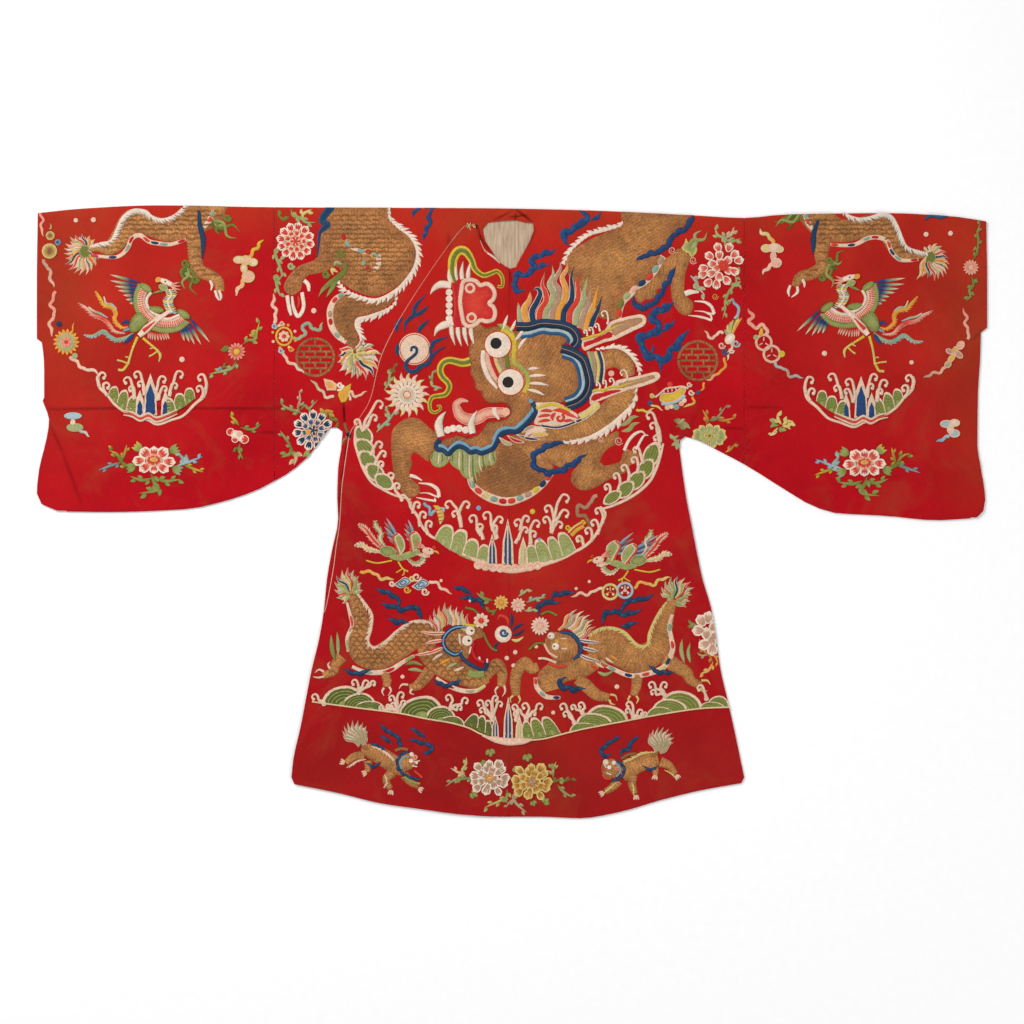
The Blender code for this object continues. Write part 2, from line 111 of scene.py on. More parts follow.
# Creases pressed into the topmost cloth: a soft ridge, or a trough where the height is negative.
# The last value is shade painted along the crease: how far its colour is darkened, from 0 to 1.
CREASES = [  # chart x0, y0, x1, y1, width and height in mm, darkness
    (49, 411, 170, 409, 5, -0.5, 0.45), (160, 410, 289, 410, 5, -0.5, 0.4), (60, 407, 200, 406, 7, 0.4, 0),
    (257, 434, 281, 434, 5, -1.1, 0.3), (50, 426, 62, 452, 5, -1.3, 0.35), (61, 450, 82, 506, 6, -1.2, 0.3),
    (56, 440, 70, 470, 8, 1.1, 0), (745, 409, 782, 409, 5, -1.0, 0.3), (719, 430, 745, 430, 5, -1.1, 0.3),
    (973, 341, 983, 331, 6, -1.2, 0.3), (940, 352, 978, 338, 9, 1.1, 0), (962, 474, 985, 462, 7, 1.0, 0),
    (343.4, 403, 344.6, 425, 4, -1.8, 0.85), (338, 400, 341, 426, 6, 1.2, 0), (352, 402, 350, 428, 7, 1.2, 0),
    (322, 412, 333, 426, 8, 1.0, 0), (448, 236, 460, 252, 9, 1.2, 0), (448.5, 236, 449.5, 249, 8, -0.8, 0.4),
    (494, 222, 512, 213, 4, -1.4, 0.5), (509, 219, 527, 217, 3, -1.3, 0.65),
    (516, 211.5, 532, 223.5, 4, -1.6, 0.75), (500, 217, 514, 215, 5, 1.3, 0), (518, 209, 536, 221, 6, 1.3, 0),
    (477, 229, 480, 240, 4, -1.2, 0.4), (480, 238, 489, 252, 4, -1.3, 0.6),
    (489, 252, 504, 267, 5, -0.8, 0.35), (474, 232, 462, 262, 12, 1.0, 0), (484, 246, 476, 290, 14, 0.9, 0),
    (466, 233, 468, 300, 9, -0.6, 0.1), (510, 272, 512, 290, 4, -0.8, 0.5), (508, 272, 506, 330, 10, 0.8, 0),
    (516, 272, 523, 312, 9, 0.8, 0), (535, 230, 526, 250, 5, -0.9, 0.5), (534, 236, 548, 262, 10, 1.0, 0),
    (680, 446, 660, 420, 10, 1.2, 0), (684, 440, 700, 408, 9, -1.0, 0.15), (690, 444, 716, 418, 10, 0.9, 0),
    (352, 470, 362, 560, 12, 0.8, 0), (404, 560, 392, 640, 20, 0.9, 0), (470, 520, 476, 680, 24, 0.8, 0),
    (560, 540, 566, 700, 26, 0.9, 0), (640, 500, 662, 640, 24, 0.9, 0), (600, 700, 610, 810, 22, 0.9, 0),
    (420, 690, 404, 802, 20, 0.9, 0), (330, 690, 318, 780, 18, 0.9, 0), (700, 640, 716, 760, 18, 0.9, 0),
    (180, 215, 176, 330, 26, 0.8, 0), (110, 260, 104, 380, 24, 0.8, 0), (240, 230, 236, 400, 22, 0.8, 0),
    (150, 420, 140, 500, 22, 0.8, 0), (800, 230, 806, 380, 26, 0.8, 0), (900, 240, 896, 400, 26, 0.8, 0),
    (840, 420, 850, 500, 24, 0.8, 0), (620, 230, 600, 330, 24, 0.7, 0), (380, 240, 372, 330, 20, 0.8, 0),
    (346.2, 447, 344.4, 467, 3, -1.3, 0.8), (344.4, 467, 341, 481, 3, -1.3, 0.8),
    (341, 481, 339.3, 516, 3, -1.1, 0.7), (515.8, 231, 516, 266, 4, -0.8, 0.45),
]
CREASE_STEP = 4.0 * MM  # spacing of the cloth's points along a narrow crease
CREASE_REACH = 0.6      # how far a crease reaches to each side, as a share of its width
CREASE_ENDS = 0.3       # the share of its height that it keeps at its ends
CREASE_CLEAR = 3 * MM   # no point of a crease lies nearer to the cloth's edge
NARROW = 10             # a crease at least this wide needs no points of its own
SWELL_SIZE = 0.11       # size and height of the slight swell of a cloth that lies by itself
SWELL_HIGH = 0.5 * MM
FRET_SIZE = 0.035       # and of the smaller unevenness on it
FRET_HIGH = 0.12 * MM


# ---------------------------------------------------------------- places and heights

def chart(x, y):
    """A place on the chart as a place on the robe, in metres."""
    return (x - CHART_X) * SQUARE, (CHART_Y - y) * SQUARE


def line_distance(px, py, x0, y0, x1, y1):
    """Distances from places to a line, and how far along it each is, from 0 to 1."""
    dx, dy = x1 - x0, y1 - y0
    t = np.clip(((px - x0) * dx + (py - y0) * dy) / (dx * dx + dy * dy), 0.0, 1.0)
    return np.hypot(px - x0 - t * dx, py - y0 - t * dy), t


def crease_height(x, y):
    """Height that the creases give to places on the robe."""
    total = np.zeros_like(x)
    for bell, t, height, _ in crease_bells(x, y):
        total += height * MM * bell * (CREASE_ENDS + (1 - CREASE_ENDS) * np.sin(pi * t))
    return total


def crease_bells(x, y):
    """How far places are in each crease, from 0 to 1, and along it, with its height and the shade painted
    along it.
    """
    for cx0, cy0, cx1, cy1, width, height, dark in CREASES:
        (x0, y0), (x1, y1) = chart(cx0, cy0), chart(cx1, cy1)
        away, t = line_distance(x, y, x0, y0, x1, y1)
        yield np.exp(-((away / (CREASE_REACH * width * MM)) ** 2)), t, height, dark


def crease_points(edge):
    """Places along the narrow creases that lie inside an outline."""
    found = []
    for cx0, cy0, cx1, cy1, width, _, _ in CREASES:
        if width >= NARROW:
            continue
        a, b = np.array(chart(cx0, cy0)), np.array(chart(cx1, cy1))
        count = max(2, ceil(np.linalg.norm(b - a) / CREASE_STEP))
        line = a + np.linspace(0, 1, count + 1)[:, None] * (b - a)
        out = np.array([a[1] - b[1], b[0] - a[0]]) / np.linalg.norm(b - a)
        found += [line + share * width * MM * out for share in (-1.0, -0.5, 0.0, 0.5, 1.0)]
    found = np.vstack(found)
    found = found[inside(edge, found[:, 0], found[:, 1])]
    return found[distance_to_outline(edge, found[:, 0], found[:, 1]) > CREASE_CLEAR]


def swell(x, y):
    """The slight unevenness of cloth that lies by itself."""
    broad = noise.noise(Vector((x / SWELL_SIZE, y / SWELL_SIZE, 0.4)))
    narrow = noise.noise(Vector((x / FRET_SIZE, y / FRET_SIZE, 7.3)))
    return SWELL_HIGH * max(0.0, 0.6 + broad) + FRET_HIGH * narrow


def pairs(loop):
    """The stretches of a closed loop, each from one of its places to the next."""
    return zip(loop, np.roll(loop, -1, axis=0))


def inside(outline, x, y):
    """Whether places lie inside a closed outline, which is an array of places."""
    found = np.zeros(np.shape(x), bool)
    for (x0, y0), (x1, y1) in pairs(outline):
        if y0 == y1:
            continue
        crosses = (y0 > y) != (y1 > y)
        found ^= crosses & (x < x0 + (y - y0) * (x1 - x0) / (y1 - y0))
    return found


def skin(node, way):
    """The outer faces of a solid that look up, where way is 1, or down, where it is -1."""
    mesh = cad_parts[node].data
    corners = np.round([v.co for v in mesh.vertices], 6)
    first = {}
    same = [first.setdefault(tuple(c), i) for i, c in enumerate(corners)]
    faces = [tuple(same[i] for i in p.vertices) for p in mesh.polygons if way * p.normal.z > 0.05]
    around = {}
    for number, face in enumerate(faces):
        for corner in face:
            around.setdefault(corner, []).append(number)
    start = max(range(len(faces)), key=lambda n: way * sum(corners[i][2] for i in faces[n]))
    found, edge = {start}, [start]
    while edge:
        for corner in faces[edge.pop()]:
            new = [n for n in around[corner] if n not in found]
            found.update(new)
            edge += new
    return corners, [faces[n] for n in sorted(found)]


class Panel:
    """The front sheet of one solid: its outline, and a smooth map of its heights."""

    def __init__(self, node):
        corners, kept = skin(node, 1)
        self.node = node
        self.tree = BVHTree.FromPolygons([Vector(c) for c in corners], kept)
        self.rim = rim_loop(corners, kept)
        self.folded = node in FOLDED
        self.under_rim = rim_loop(*skin(node, -1)) if self.folded else []
        self.outline = self.rim[:, :2]
        self.low = self.outline.min(axis=0) - 2 * CELL
        self.high = self.outline.max(axis=0) + 2 * CELL
        self.map = self.soft_map()

    def soft_map(self):
        """Heights on a grid of cells, carried past the panel's edge, smoothed and slightly swollen."""
        columns, rows = (np.ceil((self.high - self.low) / CELL)).astype(int) + 1
        heights = np.full((rows, columns), np.nan)
        down = Vector((0, 0, -1))
        for j in range(rows):
            y = self.low[1] + j * CELL
            for i in range(columns):
                hit = self.tree.ray_cast(Vector((self.low[0] + i * CELL, y, ABOVE)), down)
                if hit[0] is not None:
                    heights[j, i] = hit[0].z
        known = ~np.isnan(heights)
        edge = np.where(known, heights, 0.0)
        for _ in range(SPREAD):
            edge, known = spread(edge, known)
        for _ in range(SOFTEN):
            edge = blurred(edge)
        x, y = np.meshgrid(
            self.low[0] + CELL * np.arange(columns), self.low[1] + CELL * np.arange(rows)
        )
        rough = np.array([swell(a, b) for a, b in zip(x.ravel(), y.ravel())]).reshape(x.shape)
        return edge + rough

    def height(self, x, y):
        """Heights of places on the panel, with its creases."""
        x, y = np.asarray(x, float), np.asarray(y, float)
        fx = np.clip((x - self.low[0]) / CELL, 0, self.map.shape[1] - 1.001)
        fy = np.clip((y - self.low[1]) / CELL, 0, self.map.shape[0] - 1.001)
        i, j = fx.astype(int), fy.astype(int)
        u, v = fx - i, fy - j
        m = self.map
        level = (
            m[j, i] * (1 - u) * (1 - v) + m[j, i + 1] * u * (1 - v)
            + m[j + 1, i] * (1 - u) * v + m[j + 1, i + 1] * u * v
        )
        return level + crease_height(x, y)


def spread(values, known):
    """Carries a map's edge values one cell further out."""
    total, count = np.zeros_like(values), np.zeros_like(values)
    for dy, dx in ((0, 1), (0, -1), (1, 0), (-1, 0)):
        near = np.roll(known, (dy, dx), axis=(0, 1))
        total += np.where(near, np.roll(values, (dy, dx), axis=(0, 1)), 0.0)
        count += near
    new = ~known & (count > 0)
    return np.where(new, total / np.maximum(count, 1), values), known | new


def blurred(values):
    """A map with each value drawn towards its neighbours."""
    wide = np.pad(values, 1, mode="edge")
    across = (wide[:, :-2] + 2 * wide[:, 1:-1] + wide[:, 2:]) / 4
    return (across[:-2] + 2 * across[1:-1] + across[2:]) / 4


def rim_loop(corners, faces):
    """The outer loop of a sheet's edge, as an array of places."""
    edges = {edge for f in faces for edge in zip(f, f[1:] + f[:1])}
    after = {a: b for a, b in edges if (b, a) not in edges}
    loops = []
    while after:
        start, here = next(iter(after.items()))
        loop = [start]
        del after[start]
        while here != start and here in after:
            loop.append(here)
            here = after.pop(here)
        loops.append(loop)
    return corners[max(loops, key=len)]


def distance_to_outline(outline, x, y):
    """Distances from places to a closed outline."""
    away = np.full(np.shape(x), np.inf)
    for (x0, y0), (x1, y1) in pairs(outline):
        if hypot(x1 - x0, y1 - y0) > 1e-7:
            away = np.minimum(away, line_distance(x, y, x0, y0, x1, y1)[0])
    return away


# ---------------------------------------------------------------- colours, each as on a screen

DYES = {
    "crimson": (171, 8, 23), "chest": (175, 28, 23), "faded": (172, 49, 28), "cuff": (155, 48, 27),
    "hem": (136, 29, 24), "seam": (164, 42, 26),
}

STAIN = (146, 62, 36)
# The lining's own colour, darker and paler: painted shade and light of its upright creases, streaked over it.
LINING_SHADED_TONE = (150, 124, 100)
LINING_LIT_TONE = (192, 168, 140)

# Fading of the ground: chart x, y, reach across and down, colour, amount. Each is laid over the last.
FADES = [
    (512, 206, 520, 34, "faded", 1.0), (60, 290, 60, 150, "cuff", 0.9), (150, 300, 90, 130, "faded", 0.45),
    (975, 300, 60, 160, "cuff", 0.9), (870, 300, 110, 130, "faded", 0.45), (980, 440, 30, 80, "cuff", 0.5),
    (510, 420, 150, 170, "chest", 0.8), (430, 300, 110, 110, "chest", 0.9),
    (600, 240, 160, 60, "faded", 0.35), (540, 640, 60, 230, "seam", 0.6), (640, 640, 100, 170, "hem", 0.5),
    (400, 720, 130, 110, "hem", 0.4), (540, 780, 220, 60, "hem", 0.7), (350, 560, 40, 90, "hem", 0.4),
    (720, 765, 60, 60, "hem", 0.6), (315, 772, 60, 50, "hem", 0.5), (470, 222, 60, 24, "faded", 0.7),
]
FALL = 1.2  # how fast a fading falls off towards its reach


def linear(colour):
    """A colour given as on a screen, 0 to 255, in the linear values that materials hold."""
    result = []
    for value in colour:
        v = value / 255
        result.append(v / 12.92 if v <= 0.04045 else ((v + 0.055) / 1.055) ** 2.4)
    return tuple(result)


def ground_colours(x, y, dyes):
    """The dyed ground's colour at places on the robe, from the linear colours of its dyes, with shade painted
    along the creases.
    """
    cx, cy = x / SQUARE + CHART_X, CHART_Y - y / SQUARE
    colour = np.tile(dyes["crimson"], (len(x), 1))
    for fx, fy, reach_x, reach_y, shade, amount in FADES:
        away = ((cx - fx) / reach_x) ** 2 + ((cy - fy) / reach_y) ** 2
        mix = (amount * np.exp(-FALL * away))[:, None]
        colour = colour * (1 - mix) + np.array(dyes[shade]) * mix
    # Painted shade: each crease darkens the colour along its line, most at its middle.
    for bell, t, _, dark in crease_bells(x, y):
        colour = colour * (1 - dark * bell * np.sqrt(np.clip(4 * t * (1 - t), 0, 1) + 0.2))[:, None]
    return np.clip(colour, 0, 1)


# ---------------------------------------------------------------- meshes

def new_object(name, mesh):
    """A new object in the scene that holds a mesh, a light or a camera."""
    made = bpy.data.objects.new(name, mesh)
    bpy.context.scene.collection.objects.link(made)
    return made


def paint(mesh, name, colours):
    """Gives each point of a mesh a colour."""
    layer = mesh.color_attributes.new(name, "FLOAT_COLOR", "POINT")
    values = np.ones((len(mesh.vertices), 4))
    values[:, :3] = colours
    layer.data.foreach_set("color", values.ravel())


def triangulated(edge, extra):
    """Triangles that face up, over an outline and the places inside it."""
    points = [Vector(p) for p in np.vstack([edge, extra])] if len(extra) else [Vector(p) for p in edge]
    ring = [(i, (i + 1) % len(edge)) for i in range(len(edge))]
    made = geometry.delaunay_2d_cdt(points, ring, [], 1, 1e-7)
    flat = np.array([tuple(v) for v in made[0]])
    faces = np.array([f for f in made[2] if len(f) == 3])
    a, b, c = flat[faces[:, 0]], flat[faces[:, 1]], flat[faces[:, 2]]
    turn = (b[:, 0] - a[:, 0]) * (c[:, 1] - a[:, 1]) - (c[:, 0] - a[:, 0]) * (b[:, 1] - a[:, 1])
    faces[turn < 0] = faces[turn < 0][:, ::-1]
    return flat, faces


def divided(loop, spacing):
    """A closed loop with points added evenly between its own."""
    result = []
    for a, b in pairs(loop):
        count = max(1, ceil(np.linalg.norm(b[:2] - a[:2]) / spacing))
        result += [a + (b - a) * i / count for i in range(count)]
    return np.array(result)


def inset(loop, away):
    """Points beside a loop that runs anticlockwise, on its inner side."""
    along = np.roll(loop, -1, axis=0) - np.roll(loop, 1, axis=0)
    length = np.maximum(np.hypot(along[:, 0], along[:, 1]), 1e-9)
    return loop + away * np.column_stack([-along[:, 1] / length, along[:, 0] / length])


def anticlockwise(loop):
    """The loop, turned round if it runs clockwise."""
    x, y = loop[:, 0], loop[:, 1]
    area = np.sum(x * np.roll(y, -1) - np.roll(x, -1) * y)
    return loop if area > 0 else loop[::-1]


def sheet_points(rim, spacing, insets, extra=False):
    """Triangles over a sheet, with extra rows of points beside its edge."""
    loop = anticlockwise(divided(rim, spacing))
    edge = loop[:, :2]
    low, high = edge.min(axis=0), edge.max(axis=0)
    columns, rows = np.ceil((high - low) / spacing).astype(int) + 1
    x, y = np.meshgrid(
        low[0] + spacing * np.arange(columns), low[1] + spacing * ROW_STEP * np.arange(int(rows * 1.09))
    )
    x = x + spacing * 0.5 * (np.arange(x.shape[0])[:, None] % 2)
    grid = np.column_stack([x.ravel(), y.ravel()])
    grid = grid[inside(edge, grid[:, 0], grid[:, 1])]
    away = distance_to_outline(edge, grid[:, 0], grid[:, 1])
    grid = grid[away > max(insets) + 0.45 * spacing]
    beside = [grid]
    for amount in insets:
        row = inset(edge, amount)
        row = row[inside(edge, row[:, 0], row[:, 1])]
        away = distance_to_outline(edge, row[:, 0], row[:, 1])
        beside.append(row[away > 0.85 * amount])
    if extra:
        beside.append(crease_points(edge))
    return triangulated(edge, np.vstack(beside))


def fold_stretches(rim, other):
    """The stretches of a cloth's edge that run on round a fold, because both skins have them."""
    shared = {tuple(place) for place in other}
    return [(a, b) for a, b in pairs(rim) if tuple(a) in shared and tuple(b) in shared]


def fold_share(folds, flat):
    """How far places are through the round of the nearest fold, 1 on flat cloth, and its height."""
    away, middle = np.full(len(flat), np.inf), np.zeros(len(flat))
    for a, b in folds:
        d, t = line_distance(flat[:, 0], flat[:, 1], a[0], a[1], b[0], b[1])
        near = d < away
        away = np.where(near, d, away)
        middle = np.where(near, a[2] + t * (b[2] - a[2]), middle)
    share = np.clip(away / ROUND_IN, 0.0, 1.0)
    return np.sqrt(1 - (1 - share) ** 2), middle


def hem_roll(rim, folds, flat):
    """Rise of the turned and stitched edge of a cloth, where it isn't folded over."""
    away = np.full(len(flat), np.inf)
    folded = {tuple(a) for a, _ in folds}
    for a, b in pairs(rim):
        if tuple(a) not in folded:
            away = np.minimum(away, line_distance(flat[:, 0], flat[:, 1], *a[:2], *b[:2])[0])
    return HEM_HIGH * np.exp(-(((away - HEM_IN) / HEM_WIDE) ** 2))


def cloth_mesh(name, panel, settings, dyes):
    """A thin cloth on a panel: its front, and its back where it is folded over."""
    folded, under_rim = panel.folded, panel.under_rim
    folds = fold_stretches(panel.rim, under_rim)
    flat, faces = sheet_points(panel.rim, FINE, FRONT_ROWS, True)
    top = panel.height(flat[:, 0], flat[:, 1]) + hem_roll(panel.rim, folds, flat)
    if folded:
        share, middle = fold_share(folds, flat)
        top = np.where(share < 1, middle + (top - middle) * share, top)
    points, triangles = np.column_stack([flat, top]), faces
    if folded:
        under, under_faces = sheet_points(under_rim, COARSE, EDGE_ROWS)
        share, middle = fold_share(folds, under)
        low = np.where(share < 1, middle * (1 - share), 0.0)
        triangles = np.vstack([faces, under_faces[:, ::-1] + len(points)])
        points = np.vstack([points, np.column_stack([under, low])])
    mesh = bpy.data.meshes.new(name)
    mesh.from_pydata(points.tolist(), [], triangles.tolist())
    weld(mesh)
    places = np.array([v.co for v in mesh.vertices])
    # The cloth's colour: its dyes, darkened by the shade painted along the creases.
    paint(mesh, "dye", ground_colours(places[:, 0], places[:, 1], dyes))
    made = new_object(name, mesh)
    wall = made.modifiers.new("wall", "SOLIDIFY")
    wall.thickness = settings.wall
    wall.offset = -1.0
    return plain(made)


def weld(mesh):
    """Joins points that lie in one place."""
    work = bmesh.new()
    work.from_mesh(mesh)
    bmesh.ops.remove_doubles(work, verts=work.verts, dist=0.01 * MM)
    work.to_mesh(mesh)
    work.free()


def plain(made):
    """The object with its modifiers worked into its mesh, shaded smooth."""
    evaluated = made.evaluated_get(bpy.context.evaluated_depsgraph_get())
    mesh = bpy.data.meshes.new_from_object(evaluated)
    made.modifiers.clear()
    old, made.data = made.data, mesh
    bpy.data.meshes.remove(old)
    mesh.name = made.name
    mesh.shade_smooth()
    return made


# ---------------------------------------------------------------- materials

def shader(name):
    """A new material: its tree, its Principled shader, and a function that adds nodes."""
    made = bpy.data.materials.new(name)
    made.use_nodes = True
    tree = made.node_tree
    principled = tree.nodes["Principled BSDF"]

    def add(kind, values=None, **settings):
        node = tree.nodes.new("ShaderNode" + kind)
        for key, value in settings.items():
            setattr(node, key, value)
        for key, value in (values or {}).items():
            if isinstance(value, bpy.types.NodeSocket):
                tree.links.new(value, node.inputs[key])
            else:
                node.inputs[key].default_value = value
        return node

    def feed(**sockets):
        for key, value in sockets.items():
            socket = principled.inputs[key.replace("_", " ")]
            if isinstance(value, bpy.types.NodeSocket):
                tree.links.new(value, socket)
            else:
                socket.default_value = value

    return made, add, feed


def silk_ground():
    """Dyed silk satin: fine weave, slubs, soft creasing, uneven dyeing and brownish stains, over a colour
    that holds the shade painted along the creases.
    """
    made, add, feed = shader("dyed silk")
    place = add("TexCoord").outputs["Object"]
    # Colour attribute: the dyes with the painted shade of the creases.
    dye = add("VertexColor", layer_name="dye").outputs["Color"]
    broad = add("TexNoise", {"Vector": place, "Scale": 5.0, "Detail": 6.0, "Roughness": 0.6})
    patch = add("MapRange", {"Value": broad.outputs["Fac"], "From Min": 0.35, "From Max": 0.7,
                             "To Min": 0.84, "To Max": 1.1})
    stretched = add("Mapping", {"Vector": place, "Scale": (900.0, 60.0, 1.0)})
    slub = add("TexNoise", {"Vector": stretched.outputs[0], "Scale": 1.0, "Detail": 3.0})
    thread = add("MapRange", {"Value": slub.outputs["Fac"], "From Min": 0.3, "From Max": 0.7,
                              "To Min": 0.9, "To Max": 1.08})
    both = add("Math", {0: patch.outputs[0], 1: thread.outputs[0]}, operation="MULTIPLY")
    shade = add("VectorMath", {0: dye, "Scale": both.outputs[0]}, operation="SCALE")
    blot = add("TexNoise", {"Vector": place, "Scale": 7.0, "Detail": 9.0, "Roughness": 0.68,
                            "Distortion": 0.8})
    amount = add("MapRange", {"Value": blot.outputs["Fac"], "From Min": 0.53, "From Max": 0.72,
                              "To Min": 0.0, "To Max": 0.42})
    brown = add("RGB")
    brown.outputs[0].default_value = (*linear(STAIN), 1)
    stained = add("Mix", {0: amount.outputs[0], 6: shade.outputs[0], 7: brown.outputs[0]}, data_type="RGBA")
    weave = add("TexWave", {"Vector": place, "Scale": 330.0, "Distortion": 0.6, "Detail": 1.0},
                wave_type="BANDS", bands_direction="X")
    weft = add("TexWave", {"Vector": place, "Scale": 300.0, "Distortion": 0.8, "Detail": 1.0},
               wave_type="BANDS", bands_direction="Y")
    cross = add("Math", {0: weave.outputs["Fac"], 1: weft.outputs["Fac"]}, operation="ADD")
    fine = add("Bump", {"Height": cross.outputs[0], "Strength": 0.25, "Distance": 0.00012})
    crumple = add("TexNoise", {"Vector": place, "Scale": 30.0, "Detail": 5.0, "Roughness": 0.6})
    soft = add("Bump", {"Height": crumple.outputs["Fac"], "Strength": 0.5, "Distance": 0.0026,
                        "Normal": fine.outputs[0]})
    rough = add("MapRange", {"Value": slub.outputs["Fac"], "To Min": 0.5, "To Max": 0.7})
    feed(Base_Color=stained.outputs[2], Roughness=rough.outputs[0], Normal=soft.outputs[0],
         Specular_IOR_Level=0.04)
    return made


def lining_silk():
    """Unbleached plain weave, its fine upright creases painted into its colour as streaks of shade and light.
    """
    made, add, feed = shader("pale lining")
    place = add("TexCoord").outputs["Object"]
    stretched = add("Mapping", {"Vector": place, "Scale": (260.0, 26.0, 1.0)})
    streak = add("TexNoise", {"Vector": stretched.outputs[0], "Scale": 1.0, "Detail": 4.0})
    # Painted shade and light: upright streaks of darker and paler colour stand for the creases.
    ramp = add("ValToRGB", {"Fac": streak.outputs["Fac"]})
    ramp.color_ramp.elements[0].position = 0.3
    ramp.color_ramp.elements[0].color = (*linear(LINING_SHADED_TONE), 1)
    ramp.color_ramp.elements[1].position = 0.7
    ramp.color_ramp.elements[1].color = (*linear(LINING_LIT_TONE), 1)
    cloth = add("TexNoise", {"Vector": place, "Scale": 900.0, "Detail": 2.0})
    bump = add("Bump", {"Height": cloth.outputs["Fac"], "Strength": 0.3, "Distance": 0.0002})
    feed(Base_Color=ramp.outputs[0], Roughness=0.8, Normal=bump.outputs[0])
    return made


def floss_silk():
    """Untwisted silk floss, laid in satin stitch across each shape."""
    made, add, feed = shader("silk floss")
    uv = add("UVMap", uv_map="thread").outputs[0]
    colour = add("VertexColor", layer_name="floss").outputs["Color"]
    lengthwise = add("Mapping", {"Vector": uv, "Scale": (0.55, 0.16, 1.0)})
    strand = add("TexNoise", {"Vector": lengthwise.outputs[0], "Scale": 1.0, "Detail": 4.0, "Roughness": 0.7})
    tone = add("MapRange", {"Value": strand.outputs["Fac"], "From Min": 0.3, "From Max": 0.7,
                            "To Min": 0.68, "To Max": 1.26})
    place = add("TexCoord").outputs["Object"]
    wear = add("TexNoise", {"Vector": place, "Scale": 70.0, "Detail": 4.0})
    dull = add("MapRange", {"Value": wear.outputs["Fac"], "From Min": 0.35, "From Max": 0.75,
                            "To Min": 1.04, "To Max": 0.84})
    both = add("Math", {0: tone.outputs[0], 1: dull.outputs[0]}, operation="MULTIPLY")
    shade = add("VectorMath", {0: colour, "Scale": both.outputs[0]}, operation="SCALE")
    ridge = add("TexWave", {"Vector": uv, "Scale": 0.55, "Distortion": 1.2, "Detail": 2.0},
                wave_type="BANDS", bands_direction="X")
    bump = add("Bump", {"Height": ridge.outputs["Fac"], "Strength": 0.5, "Distance": 0.0003})
    feed(Base_Color=shade.outputs[0], Roughness=0.45, Normal=bump.outputs[0],
         Specular_IOR_Level=0.16)
    return made


def couched_gold():
    """Paper-gold thread couched in curling rows, worn down to its brown core in places."""
    made, add, feed = shader("couched gold")
    uv = add("UVMap", uv_map="thread").outputs[0]
    colour = add("VertexColor", layer_name="floss").outputs["Color"]
    place = add("TexCoord").outputs["Object"]
    curls = add("TexNoise", {"Vector": place, "Scale": 230.0, "Detail": 4.0, "Roughness": 0.7,
                             "Distortion": 1.9})
    worn = add("TexNoise", {"Vector": place, "Scale": 24.0, "Detail": 6.0, "Roughness": 0.7,
                            "Distortion": 0.6})
    rows = add("TexWave", {"Vector": uv, "Scale": 0.05, "Distortion": 7.0, "Detail": 3.0,
                           "Detail Scale": 1.6}, wave_type="BANDS", bands_direction="X")
    glint = add("MapRange", {"Value": curls.outputs["Fac"], "From Min": 0.36, "From Max": 0.66,
                             "To Min": 0.5, "To Max": 1.5})
    patch = add("MapRange", {"Value": worn.outputs["Fac"], "From Min": 0.32, "From Max": 0.68,
                             "To Min": 0.66, "To Max": 1.3})
    row = add("MapRange", {"Value": rows.outputs["Fac"], "To Min": 0.86, "To Max": 1.12})
    first = add("Math", {0: glint.outputs[0], 1: patch.outputs[0]}, operation="MULTIPLY")
    both = add("Math", {0: first.outputs[0], 1: row.outputs[0]}, operation="MULTIPLY")
    shade = add("VectorMath", {0: colour, "Scale": both.outputs[0]}, operation="SCALE")
    thread = add("Bump", {"Height": curls.outputs["Fac"], "Strength": 0.8, "Distance": 0.0007})
    ridge = add("Bump", {"Height": rows.outputs["Fac"], "Strength": 0.35, "Distance": 0.0009,
                         "Normal": thread.outputs[0]})
    feed(Base_Color=shade.outputs[0], Metallic=0.2, Roughness=0.55, Specular_IOR_Level=0.25,
         Normal=ridge.outputs[0])
    return made


# ---------------------------------------------------------------- embroidery

THREADS = {
    "white": (228, 206, 186), "cream": (221, 188, 162), "rose": (222, 168, 142),
    "pink": (222, 134, 112), "coral": (205, 58, 40), "scarlet": (186, 20, 28),
    "ground": (176, 20, 28), "navy": (26, 54, 84), "deep": (20, 38, 60), "blue": (42, 80, 118),
    "sky": (112, 156, 178), "pale_blue": (160, 178, 180), "moss": (108, 115, 46),
    "leaf": (142, 147, 80), "sage": (160, 161, 112), "yellow": (204, 174, 52), "olive": (82, 90, 34),
    "royal": (28, 62, 108), "straw": (206, 184, 110), "orange": (216, 146, 58), "taupe": (172, 134, 108),
    "brown": (128, 84, 44), "black": (34, 28, 26), "gold": (148, 92, 48),
    "dark_gold": (132, 86, 46), "light_gold": (172, 117, 63), "teal": (126, 156, 136),
}


class Robe:
    """All the panels, the topmost first."""

    ORDER = ("front_overlap", "right_body", "left_body", "right_sleeve", "left_sleeve")
    panels = {}

    @classmethod
    def panel(cls, node):
        """The panel of a node, measured when it is first asked for."""
        if node not in cls.panels:
            cls.panels[node] = Panel(node)
        return cls.panels[node]

    @classmethod
    def settle(cls, x, y):
        """Heights of places on the topmost cloth. Places off the robe are brought to its edge."""
        x, y = x.copy(), y.copy()
        height = np.zeros(len(x))
        free = np.ones(len(x), bool)
        for node in cls.ORDER:
            panel = cls.panel(node)
            here = free & inside(panel.outline, x, y)
            height[here] = panel.height(x[here], y[here])
            free &= ~here
        off = np.flatnonzero(free)
        if len(off):
            best = np.full(len(off), np.inf)
            ox, oy = x[off].copy(), y[off].copy()
            for node in cls.ORDER:
                panel = cls.panel(node)
                for (x0, y0), (x1, y1) in pairs(panel.outline):
                    away, t = line_distance(ox, oy, x0, y0, x1, y1)
                    near = away < best
                    best = np.where(near, away, best)
                    x[off] = np.where(near, x0 + t * (x1 - x0), x[off])
                    y[off] = np.where(near, y0 + t * (y1 - y0), y[off])
                    height[off] = np.where(near, panel.height(x[off], y[off]), height[off])
            free[off] = best > OFF_EDGE
        return x, y, height, free


